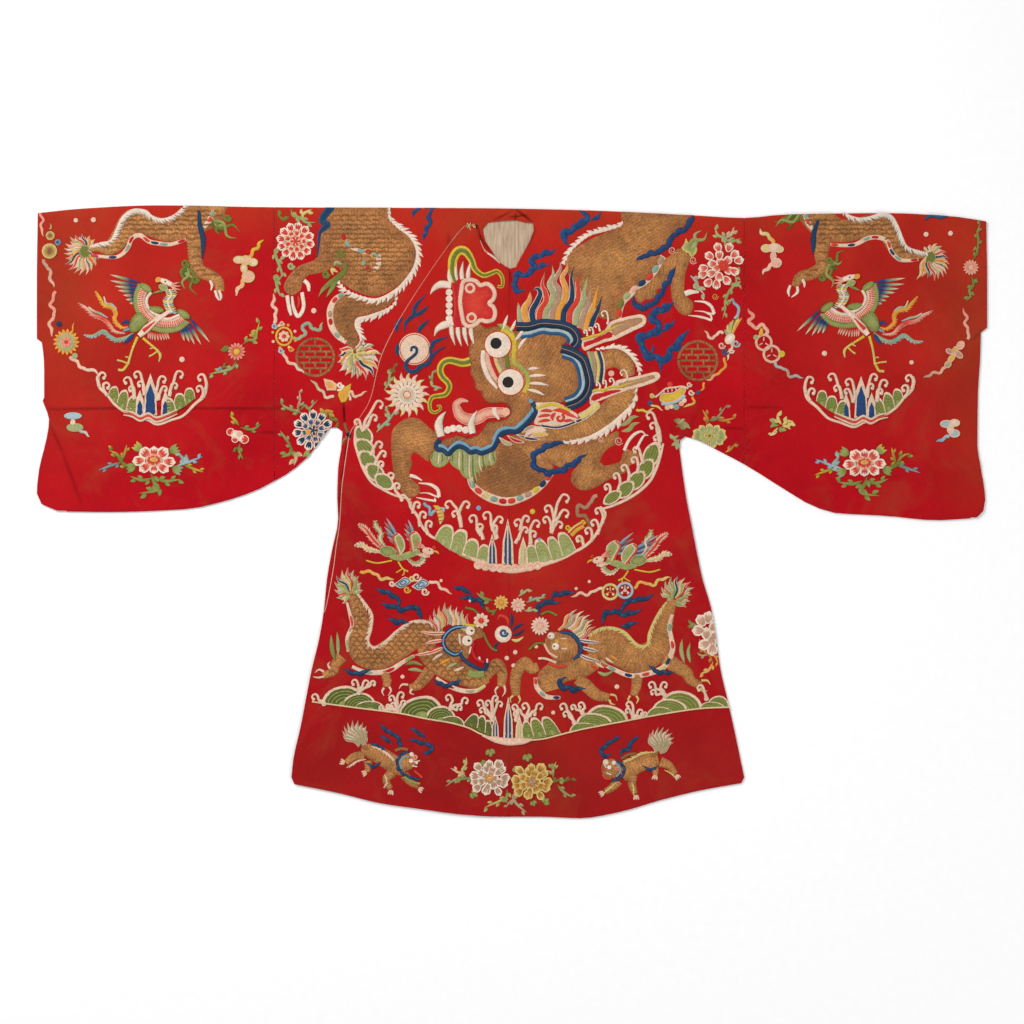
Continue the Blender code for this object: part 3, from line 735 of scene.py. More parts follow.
def smooth(path, step=1.7, closed=False):
    """A smooth curve through the places of a path, and where on the path each point lies."""
    p = np.array(path, float)
    if len(p) == 2 and not closed:
        count = max(2, ceil(np.linalg.norm(p[1] - p[0]) / step))
        t = np.linspace(0, 1, count + 1)
        return p[0] + t[:, None] * (p[1] - p[0]), t
    ends = (p[-1], p[0], p[1]) if closed else (2 * p[0] - p[1], 2 * p[-1] - p[-2])
    q = np.vstack([ends[0], p, *ends[1:]])
    points, places = [], []
    for i in range(len(q) - 3):
        a, b, c, d = q[i:i + 4]
        count = max(2, ceil(np.linalg.norm(c - b) / step))
        t = (np.arange(count) / count)[:, None]
        points.append(0.5 * (2 * b + (c - a) * t + (2 * a - 5 * b + 4 * c - d) * t ** 2
                             + (3 * b - a - 3 * c + d) * t ** 3))
        places.append(i + t[:, 0])
    if not closed:
        points.append(p[-1:])
        places.append([len(p) - 1])
    return np.vstack(points), np.concatenate(places)


def tangents(points, closed=False):
    """The direction of a path at each of its points."""
    if closed:
        along = np.roll(points, -1, axis=0) - np.roll(points, 1, axis=0)
    else:
        along = np.gradient(points, axis=0)
    return along / np.maximum(np.linalg.norm(along, axis=1), 1e-9)[:, None]


def to_left(along):
    """Directions a quarter turn to the left of others."""
    return np.column_stack([-along[:, 1], along[:, 0]])


def lengths(points):
    """How far along a path each of its points lies."""
    return np.concatenate([[0], np.cumsum(np.linalg.norm(np.diff(points, axis=0), axis=1))])


def circle(x, y, radius, count, squash=1.0):
    """Places evenly round a centre, on a circle or on one that is pressed flat."""
    return [(x + radius * cos(a), y + squash * radius * sin(a)) for a in np.linspace(0, tau, count + 1)[:-1]]


def shades(colour, places, last):
    """Colours along a path: one thread, or several that follow each other."""
    names = [colour] if isinstance(colour, str) else list(colour)
    values = np.array([linear(THREADS[name]) for name in names])
    where = places / max(last, 1e-9) * (len(names) - 1)
    return np.column_stack([np.interp(where, range(len(names)), values[:, k]) for k in range(3)])


class Work:
    """Embroidery in one kind of thread, gathered shape by shape and laid on the robe as one mesh."""

    def __init__(self, name):
        self.name = name
        self.points, self.lift, self.faces, self.uv, self.colours = [], [], [], [], []
        self.total, self.shapes = 0, 0

    def put(self, points, lift, faces, uv, colours):
        """Adds a shape: its points, their height over the cloth in mm, faces, thread places and colours."""
        self.points.append(points)
        self.lift.append(lift)
        self.faces.append(np.asarray(faces) + self.total)
        self.uv.append(uv)
        self.colours.append(colours)
        self.total += len(points)

    def base(self, level):
        """Each shape lies a hair above the one before it."""
        self.shapes += 1
        return BASE + LAYER / MM * level + NEXT * self.shapes

    def band(self, path, width, colour, core=None, level=1, high=None, rows=5, closed=False,
             step=1.7, edge=None, edge_width=1.6):
        """A strip of satin stitch along a path. Widths are across it, at each of the path's places."""
        points, places = smooth(path, step, closed)
        last = len(path) - (0 if closed else 1)
        widths = np.atleast_1d(np.array(width, float))
        if len(widths) == 1:
            half = np.full(len(points), widths[0] / 2)
        else:
            half = np.interp(places / last * (len(widths) - 1), range(len(widths)), widths) / 2
        direction = tangents(points, closed)
        normal = to_left(direction)
        across = np.concatenate([[-1], np.linspace(-0.95, 0.95, rows), [1]])
        rows = len(across)
        crown = np.sqrt(np.clip(1 - across ** 2, 0, 1))
        swell_high = high if high is not None else min(0.5, 0.06 * float(widths.max()) + 0.12)
        grid = points[:, None] + normal[:, None] * (half[:, None] * across)[:, :, None]
        share = np.clip(half / max(half.max(), 1e-6), 0.3, 1)[:, None]
        lift = self.base(level) + swell_high * crown[None, :] * share
        lift[:, [0, -1]] = SUNK
        colours = np.repeat(shades(colour, places, last)[:, None], rows, axis=1)
        if core is not None:
            middle = shades(core, places, last)[:, None]
            mix = (crown ** 2)[None, :, None]
            colours = colours * (1 - mix) + middle * mix
        u = np.repeat(lengths(points)[:, None], rows, axis=1)
        v = half[:, None] * across
        count = len(points)
        a, b = np.meshgrid(np.arange(count if closed else count - 1), np.arange(rows - 1), indexing="ij")
        after = (a + 1) % count
        quads = np.stack([a * rows + b, after * rows + b, after * rows + b + 1, a * rows + b + 1], axis=-1)
        self.put(grid.reshape(-1, 2), lift.ravel(), quads.reshape(-1, 4),
                 np.column_stack([u.ravel(), v.ravel()]) * SQUARE / MM, colours.reshape(-1, 3))
        if edge:
            side_a, side_b = grid[:, 0], grid[:, -1]
            self.band(np.vstack([side_a, side_b[::-1]])[::2], edge_width, edge, level=level + 1,
                      closed=True, rows=3, step=2.5)

    def blade(self, path, width, colour, core=None, level=1, edge=None, edge_width=1.2):
        """A pointed strip: a leaf, flame, feather, claw or lock of hair."""
        profile = [0.1 * width, 0.8 * width, width, 0.9 * width, 0.6 * width, 0.02]
        self.band(path, profile, colour, core, level, rows=3 if width < 4 else 5,
                  step=1.5, edge=edge, edge_width=edge_width)

    def shape(self, outline, colour, core=None, level=1, grain=0.0, high=0.5, step=2.2,
              edge=None, edge_width=1.6, straight=False, fill=4.0):
        """A filled shape inside a closed outline, stitched at an angle in degrees."""
        if straight:
            points = divided(np.array(outline, float), step)
        else:
            points, _ = smooth(outline, step, closed=True)
        loop = anticlockwise(points)
        low, high_corner = loop.min(axis=0), loop.max(axis=0)
        x, y = np.meshgrid(np.arange(low[0], high_corner[0], fill), np.arange(low[1], high_corner[1], fill))
        x = x + fill / 2 * (np.arange(x.shape[0])[:, None] % 2)
        grid = np.column_stack([x.ravel(), y.ravel()])
        grid = grid[inside(loop, grid[:, 0], grid[:, 1])]
        if len(grid):
            away = distance_to_outline(loop, grid[:, 0], grid[:, 1])
            grid = grid[away > 0.45 * fill]
        rows = [grid]
        for amount in SHAPE_ROWS:
            row = inset(loop, amount)
            row = row[inside(loop, row[:, 0], row[:, 1])]
            if len(row):
                away = distance_to_outline(loop, row[:, 0], row[:, 1])
                rows.append(row[away > 0.9 * amount])
        flat, faces = triangulated(loop, np.vstack(rows))
        depth = distance_to_outline(loop, flat[:, 0], flat[:, 1])
        crown = 1 - (1 - np.clip(depth / SHAPE_ROUND, 0, 1)) ** 2
        lift = np.where(depth < 1e-6, SUNK, self.base(level) + high * crown)
        colours = np.tile(linear(THREADS[colour]), (len(flat), 1))
        if core is not None:
            mix = np.clip(depth / max(depth.max() * 0.8, 1e-6), 0, 1)[:, None]
            colours = colours * (1 - mix) + np.array(linear(THREADS[core])) * mix
        turn = radians(grain)
        uv = np.column_stack([
            flat[:, 0] * cos(turn) + flat[:, 1] * sin(turn), flat[:, 1] * cos(turn) - flat[:, 0] * sin(turn),
        ])
        self.put(flat, lift, faces[:, ::-1], uv * SQUARE / MM, colours)
        if edge:
            self.band(loop[::2], edge_width, edge, level=level + 1, closed=True, rows=3, step=2.5)

    def disc(self, x, y, radius, colour, core=None, level=1, high=0.4, edge=None, edge_width=1.4, squash=1.0):
        """A filled circle."""
        self.shape(circle(x, y, radius, 12, squash), colour, core, level, high=high,
                   step=max(1.0, radius / 4), edge=edge, edge_width=edge_width, fill=max(1.5, radius / 3))

    def lay(self, finish, node=None):
        """Lays the work on the topmost cloth, or on one node's, and returns it as one object."""
        points = np.vstack(self.points)
        x, y = chart(points[:, 0], points[:, 1])
        if node:
            height, off = Robe.panel(node).height(x, y), np.zeros(len(x), bool)
        else:
            x, y, height, off = Robe.settle(x, y)
        z = height + np.concatenate(self.lift) * MM
        made = self.made(np.column_stack([x, y, z]), off, finish)
        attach(made, "root")
        return made

    def loose(self, finish):
        """The work as one object that lies flat round the origin, to be copied."""
        points = np.vstack(self.points)
        lift = np.maximum(np.concatenate(self.lift), 0.0) * MM
        places = np.column_stack([points[:, 0] * SQUARE, -points[:, 1] * SQUARE, lift])
        return self.made(places, np.zeros(len(points), bool), finish)

    def made(self, places, off, finish):
        """One object from the places of the work's points, without the faces that lie off the cloth."""
        faces = [tuple(f) for group in self.faces for f in group.tolist()]
        faces = [f for f in faces if not all(off[i] for i in f)]
        mesh = bpy.data.meshes.new(self.name)
        mesh.from_pydata(places.tolist(), [], faces)
        paint(mesh, "floss", np.vstack(self.colours))
        layer = mesh.uv_layers.new(name="thread")
        corner = np.empty(len(mesh.loops), int)
        mesh.loops.foreach_get("vertex_index", corner)
        layer.data.foreach_set("uv", np.vstack(self.uv)[corner].ravel())
        face_outwards(mesh)
        mesh.materials.append(finish)
        mesh.shade_smooth()
        return new_object(self.name, mesh)


def face_outwards(mesh):
    """Turns every face of the work up, and drops points that no face has."""
    work = bmesh.new()
    work.from_mesh(mesh)
    flipped = [f for f in work.faces if f.normal.z < 0]
    bmesh.ops.reverse_faces(work, faces=flipped)
    loose = [v for v in work.verts if not v.link_faces]
    bmesh.ops.delete(work, geom=loose, context="VERTS")
    work.to_mesh(mesh)
    work.free()


def turned(x, y, points, scale=1.0, turn=0.0, flip=False):
    """Places drawn round the origin, moved to the chart. Turning is clockwise, in degrees."""
    c, s = cos(radians(turn)) * scale, sin(radians(turn)) * scale
    way = -1 if flip else 1
    return [(x + way * (px * c - py * s), y + px * s + py * c) for px, py in points]


def oval(work, x, y, long, short, turn, colour, core=None, level=1, edge=None, edge_width=1.2, high=0.35):
    """A filled oval whose long half runs at an angle."""
    ring = [(long * cos(a), short * sin(a)) for a in np.linspace(0, tau, 11)[:-1]]
    work.shape(turned(x, y, ring, turn=turn), colour, core, level, grain=turn, high=high,
               step=max(1.1, long / 5), edge=edge, edge_width=edge_width, fill=max(1.6, short / 2))


def curl(work, x, y, radius, width, colour, turn=0, flip=False, turns=1.25, tail=(), level=2):
    """A spiral of thread round a place, that runs on into a tail."""
    steps = 9
    ring = []
    for k in range(steps + 1):
        share = k / steps
        angle = tau * turns * (1 - share)
        reach = radius * (0.22 + 0.78 * share)
        ring.append((reach * cos(angle), reach * sin(angle)))
    path = turned(x, y, ring, turn=turn, flip=flip) + list(tail)
    work.band(path, [0.5 * width, width, width, width] + [0.5 * width] * bool(tail), colour,
              level=level, rows=3, step=1.2)


def fringe(work, path, width, colour, tooth=5.0, side=1, level=2):
    """A fin: a band with pointed teeth that lean along it, left of its path, or right with side -1."""
    points, places = smooth(path, 1.2)
    ahead = tangents(points)
    out = side * to_left(ahead)
    run = lengths(points)
    reach = np.interp(places, range(len(path)), np.broadcast_to(width, len(path)))
    broad = 0.55 * float(reach.max())
    work.band(points + out * (0.2 * reach)[:, None], [0.1, broad, broad, 0.1], colour, level=level, rows=3,
              high=0.15)
    for k, place in enumerate(np.arange(0.3 * tooth, run[-1], tooth)):
        i = min(int(np.searchsorted(run, place)), len(points) - 1)
        size = reach[i] * (0.9 + 0.2 * (k % 2)) * min(1.0, 0.4 + 0.12 * k, 0.4 + 0.12 * (run[-1] - place))
        lean, rise = ahead[i] * size, out[i] * size
        root = points[i] + 0.1 * rise
        work.band([root - 0.2 * lean, root + 0.45 * rise + 0.05 * lean, root + 0.85 * rise + 0.5 * lean],
                  [1.2 * tooth, 0.75 * tooth, 0.05], colour, level=level, rows=3, step=1.4, high=0.15)


def plates(work, path, colours, width):
    """Belly plates: cushions of floss one after the other along a path, on a cream band."""
    points, _ = smooth(path, 1.0)
    run = lengths(points)
    work.band(path, [0.7 * width, 1.1 * width, 1.1 * width, 0.7 * width], "cream", level=2, high=0.12)
    for k, colour in enumerate(colours):
        if colour == "cream":
            continue
        places = np.linspace((k + 0.08) / len(colours) * run[-1], (k + 0.92) / len(colours) * run[-1], 4)
        cushion = np.column_stack([np.interp(places, run, points[:, axis]) for axis in (0, 1)])
        work.band(cushion, [0.4 * width, 0.7 * width, 0.7 * width, 0.4 * width], colour, level=3, rows=3,
                  high=0.3, step=1.3)


def striped(work, path, width, threads, level=2):
    """Bands of thread side by side along one path."""
    points, _ = smooth(path, 2.0)
    out = -to_left(tangents(points))
    for k, thread in enumerate(threads):
        shift = width * ((k + 0.5) / len(threads) - 0.5)
        work.band(points + shift * out, 1.12 * width / len(threads), thread, level=level, rows=3, step=2.4)


def flames(work, locks):
    """Pointed locks, each a path, a width, a thread and the thread of its middle."""
    for lock in locks:
        work.blade(*lock)


def cloud(work, path, width, colour, core=None, level=1):
    """A winding cloud band: its sides swell and thin unevenly, and its middle is mottled."""
    points, _ = smooth(path, 1.3)
    out = to_left(tangents(points))
    run = np.arange(len(points)) * 1.3
    ends = np.clip(np.minimum(run, run[::-1]) / (1.4 * width), 0.12, 1)
    broad = np.sin(tau * run / (2.3 * width) + path[0][0])
    uneven = 0.6 * broad + 0.4 * np.sin(tau * run / (1.35 * width) + path[0][1])
    points = points + out * (0.23 * width * uneven * ends)[:, None]
    work.band(points, 0.88 * width * ends * (1 + 0.26 * uneven), colour, level=level, step=1.3, rows=3)
    mottle = [core or colour if k % 2 else colour for k in range(max(2, len(points) // 3))]
    work.band(points, 0.46 * width * ends * (1 - 0.2 * uneven), mottle, level=level + 1, step=1.3, rows=3,
              high=0.2)


def fang(work, path, width, level=2):
    """A tooth or claw, broadest at its root, with a dark outline."""
    for grow, thread, up, high in ((1.1, "taupe", 0, 0.1), (0, "white", 0.5, 0.3)):
        work.band(path, [0.9 * width + grow, width + grow, 0.6 * width + grow, 0.05 + 0.5 * grow], thread,
                  level=level + up, rows=3, high=high)


def fern(work, root, tips, width=3.4, threads=("moss", "leaf", "olive"), level=3):
    """Wavy green locks that spread from one root."""
    root = np.array(root, float)
    for k, tip in enumerate(tips):
        run = np.array(tip, float) - root
        side = 0.13 * (-1) ** k * np.array([-run[1], run[0]])
        path = [root, root + 0.35 * run + side, root + 0.68 * run - side, tip]
        work.band(path, [0.8 * width, width, 0.7 * width, 0.15], threads[k % len(threads)],
                  level=level + 0.3 * (k % 2), rows=3, high=0.25)


# ---------------------------------------------------------------- chest dragon

def chest_gold(gold):
    """The couched parts of the great dragon on the chest."""
    # Snout, cheek and forehead
    gold.shape([
        (470, 327), (478, 325), (486, 330), (499, 328), (512, 333), (530, 332), (545, 331), (562, 333),
        (569, 340), (563, 347), (575, 358), (582, 374), (578, 391), (566, 402), (548, 405), (536, 404),
        (532, 412), (527, 421), (516, 428), (505, 430), (497, 437), (492, 447), (480, 449), (470, 447),
        (458, 443), (447, 448), (441, 446), (446, 440), (455, 437), (468, 440), (478, 436), (484, 429),
        (489, 424), (500, 423), (509, 419), (511, 412), (505, 404), (496, 404), (489, 404), (483, 398),
        (482, 393), (476, 390), (475, 382), (471, 376), (471, 366), (469, 357), (470, 347), (473, 341),
    ], "gold", "light_gold", grain=35, high=0.5, edge="dark_gold", edge_width=1.0)
    for x, y, radius in ((541.5, 356.7, 10), (561, 383, 10), (512, 480, 8), (598, 470, 7)):
        curl(gold, x, y, radius, 2.6, "light_gold", turns=2.6, level=1.6)
    # Loop behind the head, and the neck that runs down to the chest
    gold.band([(598, 368), (606, 362), (616, 360), (625, 366), (629, 378)], [14, 18, 19, 17, 12], "gold",
              "light_gold", rows=9, high=0.6)
    gold.band([
        (628, 386), (625, 398), (614, 411), (598, 423), (580, 431), (560, 436), (541, 446), (528, 458),
    ], [18, 24, 26, 25, 22, 24, 40, 56], "gold", "light_gold", rows=11, high=0.6)
    # Lower chest
    gold.shape([
        (497, 446), (508, 443), (522, 441), (538, 440), (556, 442), (566, 447), (556, 449), (545, 453),
        (536, 462), (540, 470), (551, 473), (549, 481), (540, 489), (528, 495), (514, 500), (498, 499),
        (484, 493), (476, 484), (470, 474), (462, 468), (450, 465), (446, 458), (470, 452), (486, 455),
    ], "gold", "dark_gold", grain=70, high=0.5)
    # Upper body from the shoulder, with its forearm and its lobed fin
    gold.shape([
        (627, 209), (692, 209), (690, 218), (684, 227), (675, 233), (669, 240), (665, 246), (657, 251),
        (652, 256), (662, 258), (659, 268), (651, 279), (641, 288), (630, 294), (624, 303), (620, 320),
        (606, 321), (598, 318), (591, 308), (582, 296), (573, 284), (566, 271), (567, 258), (578, 248),
        (592, 240), (609, 233), (621, 227),
    ], "gold", "light_gold", grain=60, high=0.6)
    gold.shape([
        (634, 292), (644, 286), (653, 277), (660, 268), (664, 261), (672, 256), (678, 250), (686, 251),
        (691, 257), (688, 266), (685, 276), (684, 290), (687, 298), (692, 303), (693, 310), (688, 317),
        (680, 315), (674, 307), (671, 296), (671, 284), (673, 275), (671, 272), (668, 281), (664, 289),
        (657, 291), (657, 297), (651, 301), (645, 301), (640, 305), (635, 300),
    ], "gold", "light_gold", grain=10, high=0.5)
    # Left foreleg
    gold.shape([
        (392, 433), (397, 426), (404, 421), (412, 419), (420, 421), (429, 429), (437, 436), (438, 442),
        (436, 450), (437, 454), (430, 458), (428, 463), (422, 459), (415, 454), (411, 458), (412, 466),
        (409, 475), (412, 481), (418, 486), (420, 493), (413, 499), (405, 498), (400, 491), (396, 483),
        (393, 470), (391, 450),
    ], "gold", "light_gold", grain=80, high=0.6)
    # Right hind leg
    gold.shape([
        (556, 447), (563, 444), (580, 446), (590, 441), (604, 438), (618, 433), (616, 445), (608, 450),
        (602, 457), (600, 465), (606, 467), (614, 465), (620, 463), (622, 456), (626, 451), (631, 452),
        (636, 453), (639, 458), (636, 464), (630, 467), (627, 473), (618, 477), (609, 481), (597, 488),
        (586, 492), (577, 490), (571, 483), (572, 474), (578, 466), (566, 470), (552, 466), (541, 462),
        (540, 455),
    ], "gold", "light_gold", grain=25, high=0.6)


def chest_head(floss):
    """Eyes, mouth, brow, horns and mane of the great dragon."""
    # Snout: nose, gums and teeth
    floss.shape([
        (452, 281), (461, 281), (463, 296), (463, 312), (461, 329), (453, 329), (455, 312), (454, 296),
    ], "scarlet", level=1, edge="coral")
    for y in (294, 300.5, 307, 313.5, 320):
        oval(floss, 449, y, 3.4, 3.3, 0, "white", level=2)
    fang(floss, [(451, 287), (441, 286), (434, 290), (430, 296)], 7)
    fang(floss, [(453, 324), (443, 327), (437, 331), (434, 338)], 7)
    for x, y, lean in ((450.5, 284, -1), (456, 282, 0.5), (462, 281, 1), (468, 281, 2.5)):
        fang(floss, [(x, y), (x - 1 + 0.5 * lean, y - 8), (x + lean, y - 18)], 4.2)
    for x, y in ((451, 328), (457.5, 329), (464, 329), (470.5, 329)):
        fang(floss, [(x, y), (x + 1, y + 9), (x + 4, y + 19)], 4.2)
    nose = [
        (463, 284), (469, 281.5), (476, 283), (480, 287), (486.5, 285.5), (492, 289), (494.5, 295.5),
        (493, 301), (489, 305), (493, 308.5), (495, 314.5), (493, 321), (487, 323), (480, 322), (476, 325.5),
        (470, 328), (464, 325), (461.5, 315), (460, 304), (461, 294),
    ]
    floss.shape(nose, "scarlet", "coral", level=3, high=0.2)
    floss.band(nose, 4.4, "rose", "cream", level=4.5, closed=True)
    for x, y in ((470, 290), (471.5, 319.5)):
        floss.band(circle(x, y, 4, 10), 3, "rose", "cream", level=6.5, closed=True, rows=3)
        floss.disc(x, y, 1.6, "coral", level=6)
    floss.blade([(497, 326), (505, 329), (512, 337), (517, 352)], 6, ["leaf", "yellow"], level=4)
    # Mouth: gum, teeth and tongue
    floss.band([(486, 421), (481, 431), (475, 436), (467, 437), (458, 435), (450, 438), (438, 439)], 3.2,
               "scarlet", level=3)
    floss.band([
        (506, 414), (496, 414), (486, 415), (477, 420), (468, 421), (460, 417), (457, 411), (456, 406),
        (461, 402), (468, 403),
    ], [8, 9.5, 10, 11, 11, 10, 8, 6, 4, 0.8], "coral", "rose", level=3, rows=7, edge="rose", edge_width=0.8)
    floss.disc(505.5, 413.5, 4.2, "rose", level=6)
    floss.band([(494, 409), (495, 415), (499, 421)], [4.5, 4.5, 2], "white", level=7)
    fang(floss, [(441, 438), (438.5, 427), (441, 419), (446, 413)], 8, level=6)
    fang(floss, [(472.5, 435), (471, 427), (473, 419), (477, 412)], 7, level=6)
    for x, y in ((447.5, 431.5), (453, 430), (459, 430), (465.5, 431.5)):
        oval(floss, x, y, 3.6, 3.6, 0, "white", level=5)
    # Jaw: a navy and a sky-blue band, and the green beard
    jaw = [
        (532, 404), (536, 412), (532, 419), (525, 427), (517, 433), (508, 433), (501, 436), (497, 443),
        (493, 450), (487, 453), (481, 455), (476, 453), (470, 454), (465, 450), (458, 448), (452, 452),
        (448, 456), (443, 452), (437, 451), (436, 446), (440, 441),
    ]
    inner = [(x - 2.6, y - 3.4) for x, y in jaw[:8]] + [(x, y - 4) for x, y in jaw[8:19]]
    floss.band(inner, 3.6, "sky", level=4, rows=3)
    floss.band(jaw, 4.8, "navy", level=5)
    for beard in (
        [(432, 453), (430, 460), (432, 466), (438, 469), (445, 467), (450, 460), (450, 453), (441, 449)],
        [(450, 452), (449, 462), (453, 468), (459, 472), (463, 478), (470, 481), (474, 476), (480, 475),
         (485, 468), (492, 469), (497, 463), (496, 455), (490, 450), (480, 453), (466, 450)],
    ):
        floss.shape(beard, "leaf", "sage", level=2, grain=90, high=0.3)
    for k in range(26):
        x, lean = 431.5 + 2.55 * k, -0.12 + 0.012 * k
        top = float(np.interp(x, (431, 440, 452, 462, 476, 490, 497), (454, 455, 453, 452, 456, 454, 452)))
        low = float(np.interp(x, (431, 438, 448, 455, 466, 472, 480, 490, 497),
                              (460, 467, 461, 466, 482, 492, 474, 466, 460)))
        mid = 0.5 * (top + low)
        floss.blade([(x, top), (x + 0.8 * (-1) ** k, mid), (x + lean * (low - top), low)], 2.2,
                    ("moss", "sage", "leaf", "cream")[k % 4], level=4)
    # Between the eyes
    for path, width, thread in (
        ([(483, 352), (483, 364), (488, 378), (497, 390)], [4, 5, 5, 2.5], "white"),
        ([(487, 354), (488, 364), (493, 376), (500, 386)], [4, 5, 5, 3], "rose"),
        ([(491, 357), (493, 366), (498, 378)], 3.6, "scarlet"),
        ([(495, 359), (497, 366), (501, 374)], 4, "straw"),
        ([(500, 359), (501, 366), (504, 372)], 4.4, "taupe"),
        ([(506, 356), (507, 363), (508, 370)], 5, "moss"),
        ([(501, 331), (509, 335), (514, 343), (514, 355), (514, 364), (521, 369), (527, 376), (528, 385),
          (524, 394)], 4.8, ["yellow", "yellow", "leaf", "yellow"]),
    ):
        floss.band(path, width, thread, level=4)
    for x, y, px, py in ((497.6, 346.4, 495.8, 345), (510.4, 383.6, 507.8, 383.8)):
        floss.disc(x, y, 13.2, "white", level=6, high=0.7, edge="coral", edge_width=0.8)
        floss.disc(px, py, 5.8, "black", level=9)
    for path in (
        [(515, 342), (520, 336), (525, 327)], [(518, 351), (522, 344), (527, 339)],
        [(503, 331), (505, 324), (508, 316)], [(510, 333), (513, 328), (516, 321)],
        [(528, 371), (533, 370), (539, 370)], [(528, 378), (537, 377), (546, 377)],
        [(528, 385), (538, 385), (549, 387)], [(527, 391), (536, 393), (545, 397)],
    ):
        floss.blade(path, 3.4, "white", level=5)
    # Brow and collar: rows of thread side by side
    for path, inner in (
        ([(516, 328), (529, 328), (541, 325), (552, 325.5), (563, 327), (572, 331), (577, 338), (577, 344),
          (573, 349)],
         [(520, 337), (530, 336), (541, 332.5), (551, 333.5), (560, 334), (567, 337), (570, 342),
          (569, 346)]),
        ([(561, 350), (573, 354), (583, 361), (587.5, 373), (589.5, 385), (586, 396), (578, 404),
          (566, 408.5)],
         [(562, 356.5), (572, 360), (578, 367), (581, 379), (581, 389), (575, 398), (565, 402)]),
    ):
        striped(floss, inner, 6.4, ("blue", "pale_blue"), level=4)
        striped(floss, path, 8.6, ("deep", "navy"), level=5.5)
        floss.band(path, 0.7, "taupe", level=7.5, rows=3)
    # Horns: a pale rim, gold in the tip, red along the lower side and a yellow ridge
    for rim, tip, red, ridge in (
        ([(581, 342), (590, 339.5), (598, 337), (605, 331), (610, 323.5), (622, 319.5), (633, 317),
          (641, 316), (646, 320), (644, 327), (634, 332), (624, 337), (614, 341.5), (604, 344), (594, 348),
          (584, 352)],
         [(610, 330), (613, 325.5), (622, 322.5), (632, 320), (640, 319), (642.5, 322), (639, 325.5),
          (630, 329.5), (621, 334), (614, 337.5)],
         [(582, 345), (592, 341), (602, 336.5), (609, 333), (613, 338), (604, 341), (594, 345), (583, 349)],
         [(581, 341), (588, 339.5), (593, 337.5), (599, 336.5), (604, 333), (610, 331), (617, 327.5),
          (624, 326)]),
        ([(591, 392), (600, 391), (610, 388), (617, 382), (628, 379.5), (638, 377.5), (648, 375),
          (656, 373.5), (660, 377), (657, 382), (648, 386), (638, 389), (628, 391.5), (618, 395), (608, 399),
          (598, 403), (590, 406)],
         [(617, 387), (622, 383.5), (632, 381.5), (644, 378.5), (654, 376.5), (656, 379), (648, 382.5),
          (638, 385.5), (628, 388.5), (620, 390)],
         [(592, 397), (602, 394), (612, 391.5), (619, 391), (622, 392), (612, 395.5), (602, 399), (592, 403)],
         [(592, 393), (597, 391.5), (604, 391.5), (611, 388.5), (618, 389), (626, 386), (637, 383)]),
    ):
        floss.shape(rim, "cream", level=3, high=0.15)
        floss.shape(tip, "light_gold", "taupe", level=4.5, high=0.2)
        floss.shape(red, "scarlet", level=4.5, high=0.15)
        floss.band(ridge, [2.4, 3, 3, 2.6, 1.8, 0.6], "yellow", level=6, rows=3)
    for x, y, r, stem in (
        (604, 316, 3.4, ((608, 321), (607, 326))), (596.5, 327.5, 2.2, ((599, 330), (600, 333))),
        (590.5, 331, 2, ((593, 333), (593, 336))), (585, 333.5, 1.8, ((587, 336), (587, 338))),
        (623, 375, 3.4, ((627, 380), (622, 384))), (611, 382, 2.2, ((614, 385), (612, 388))),
        (604, 384, 2, ((606, 387), (605, 390))), (597.5, 386, 1.8, ((600, 388), (599, 391))),
    ):
        hook(floss, x, y, r, 1.6, "white", stem, level=7)
    floss.disc(611, 375, 3, "rose", level=6)
    # Collar between the horns: upright stripes
    for shift, width, thread in ((0, 3.4, "sage"), (3.4, 3.4, "taupe"), (6.8, 3.4, "straw"),
                                 (10.2, 2.8, "navy"), (12.6, 1.8, "cream")):
        floss.band([(588 + shift, 353), (591 + shift, 363), (591.5 + shift, 373), (590 + shift, 384)],
                   width, thread, level=4, rows=3)
    for path, width, thread in (
        ([(580, 419), (590, 413), (598, 405)], 7, "straw"), ([(575, 424), (588, 417), (598, 404)], 2.8,
                                                             "navy"),
        ([(540, 427), (555, 429), (566, 427), (576, 423)], 2.6, "navy"),
    ):
        floss.band(path, width, thread, level=4, edge="cream", edge_width=0.9)
    # Cheek swirl
    floss.shape([
        (535, 405), (544, 404), (556, 404), (568, 410), (578, 417), (574, 423), (560, 427), (544, 427),
        (534, 425), (537, 415),
    ], "cream", level=4)
    floss.band([(536, 410), (545, 407), (553, 406), (562, 409), (570, 412)], 3.4, "yellow", level=6)
    for path, width in (([(552, 412), (561, 412), (569, 416), (578, 420)], 5),
                        ([(553, 413), (546, 412), (539, 413)], 3.6),
                        ([(551, 417), (544, 417), (537, 419)], 3.6),
                        ([(551, 422), (544, 422), (537, 424)], 3.6),
                        ([(563, 423), (568, 422), (574, 422)], 3.4),
                        ([(556, 414), (552, 418), (553, 423)], 4)):
        floss.blade(path, width, "coral", level=6)
    curl(floss, 559.5, 419.5, 4.6, 2.8, "coral", turn=-60, turns=1.0, level=7)
    for path, width, thread in (
        ([(546, 432), (538, 431), (530, 433), (524, 439)], 6, "cream"),
        ([(548, 436), (538, 436), (530, 438)], 4.5, "yellow"),
        ([(540, 441), (528, 440), (516, 436)], 3, "navy"), ([(524, 444), (515, 442), (507, 437)], 3.4,
                                                            "scarlet"),
                                                            ([(512, 446), (505, 444), (499, 439)], 4, "sage"),
        ([(536, 428), (529, 430), (522, 434)], 4, "taupe"),
    ):
        floss.blade(path, width, thread, level=5, edge="cream", edge_width=0.8)
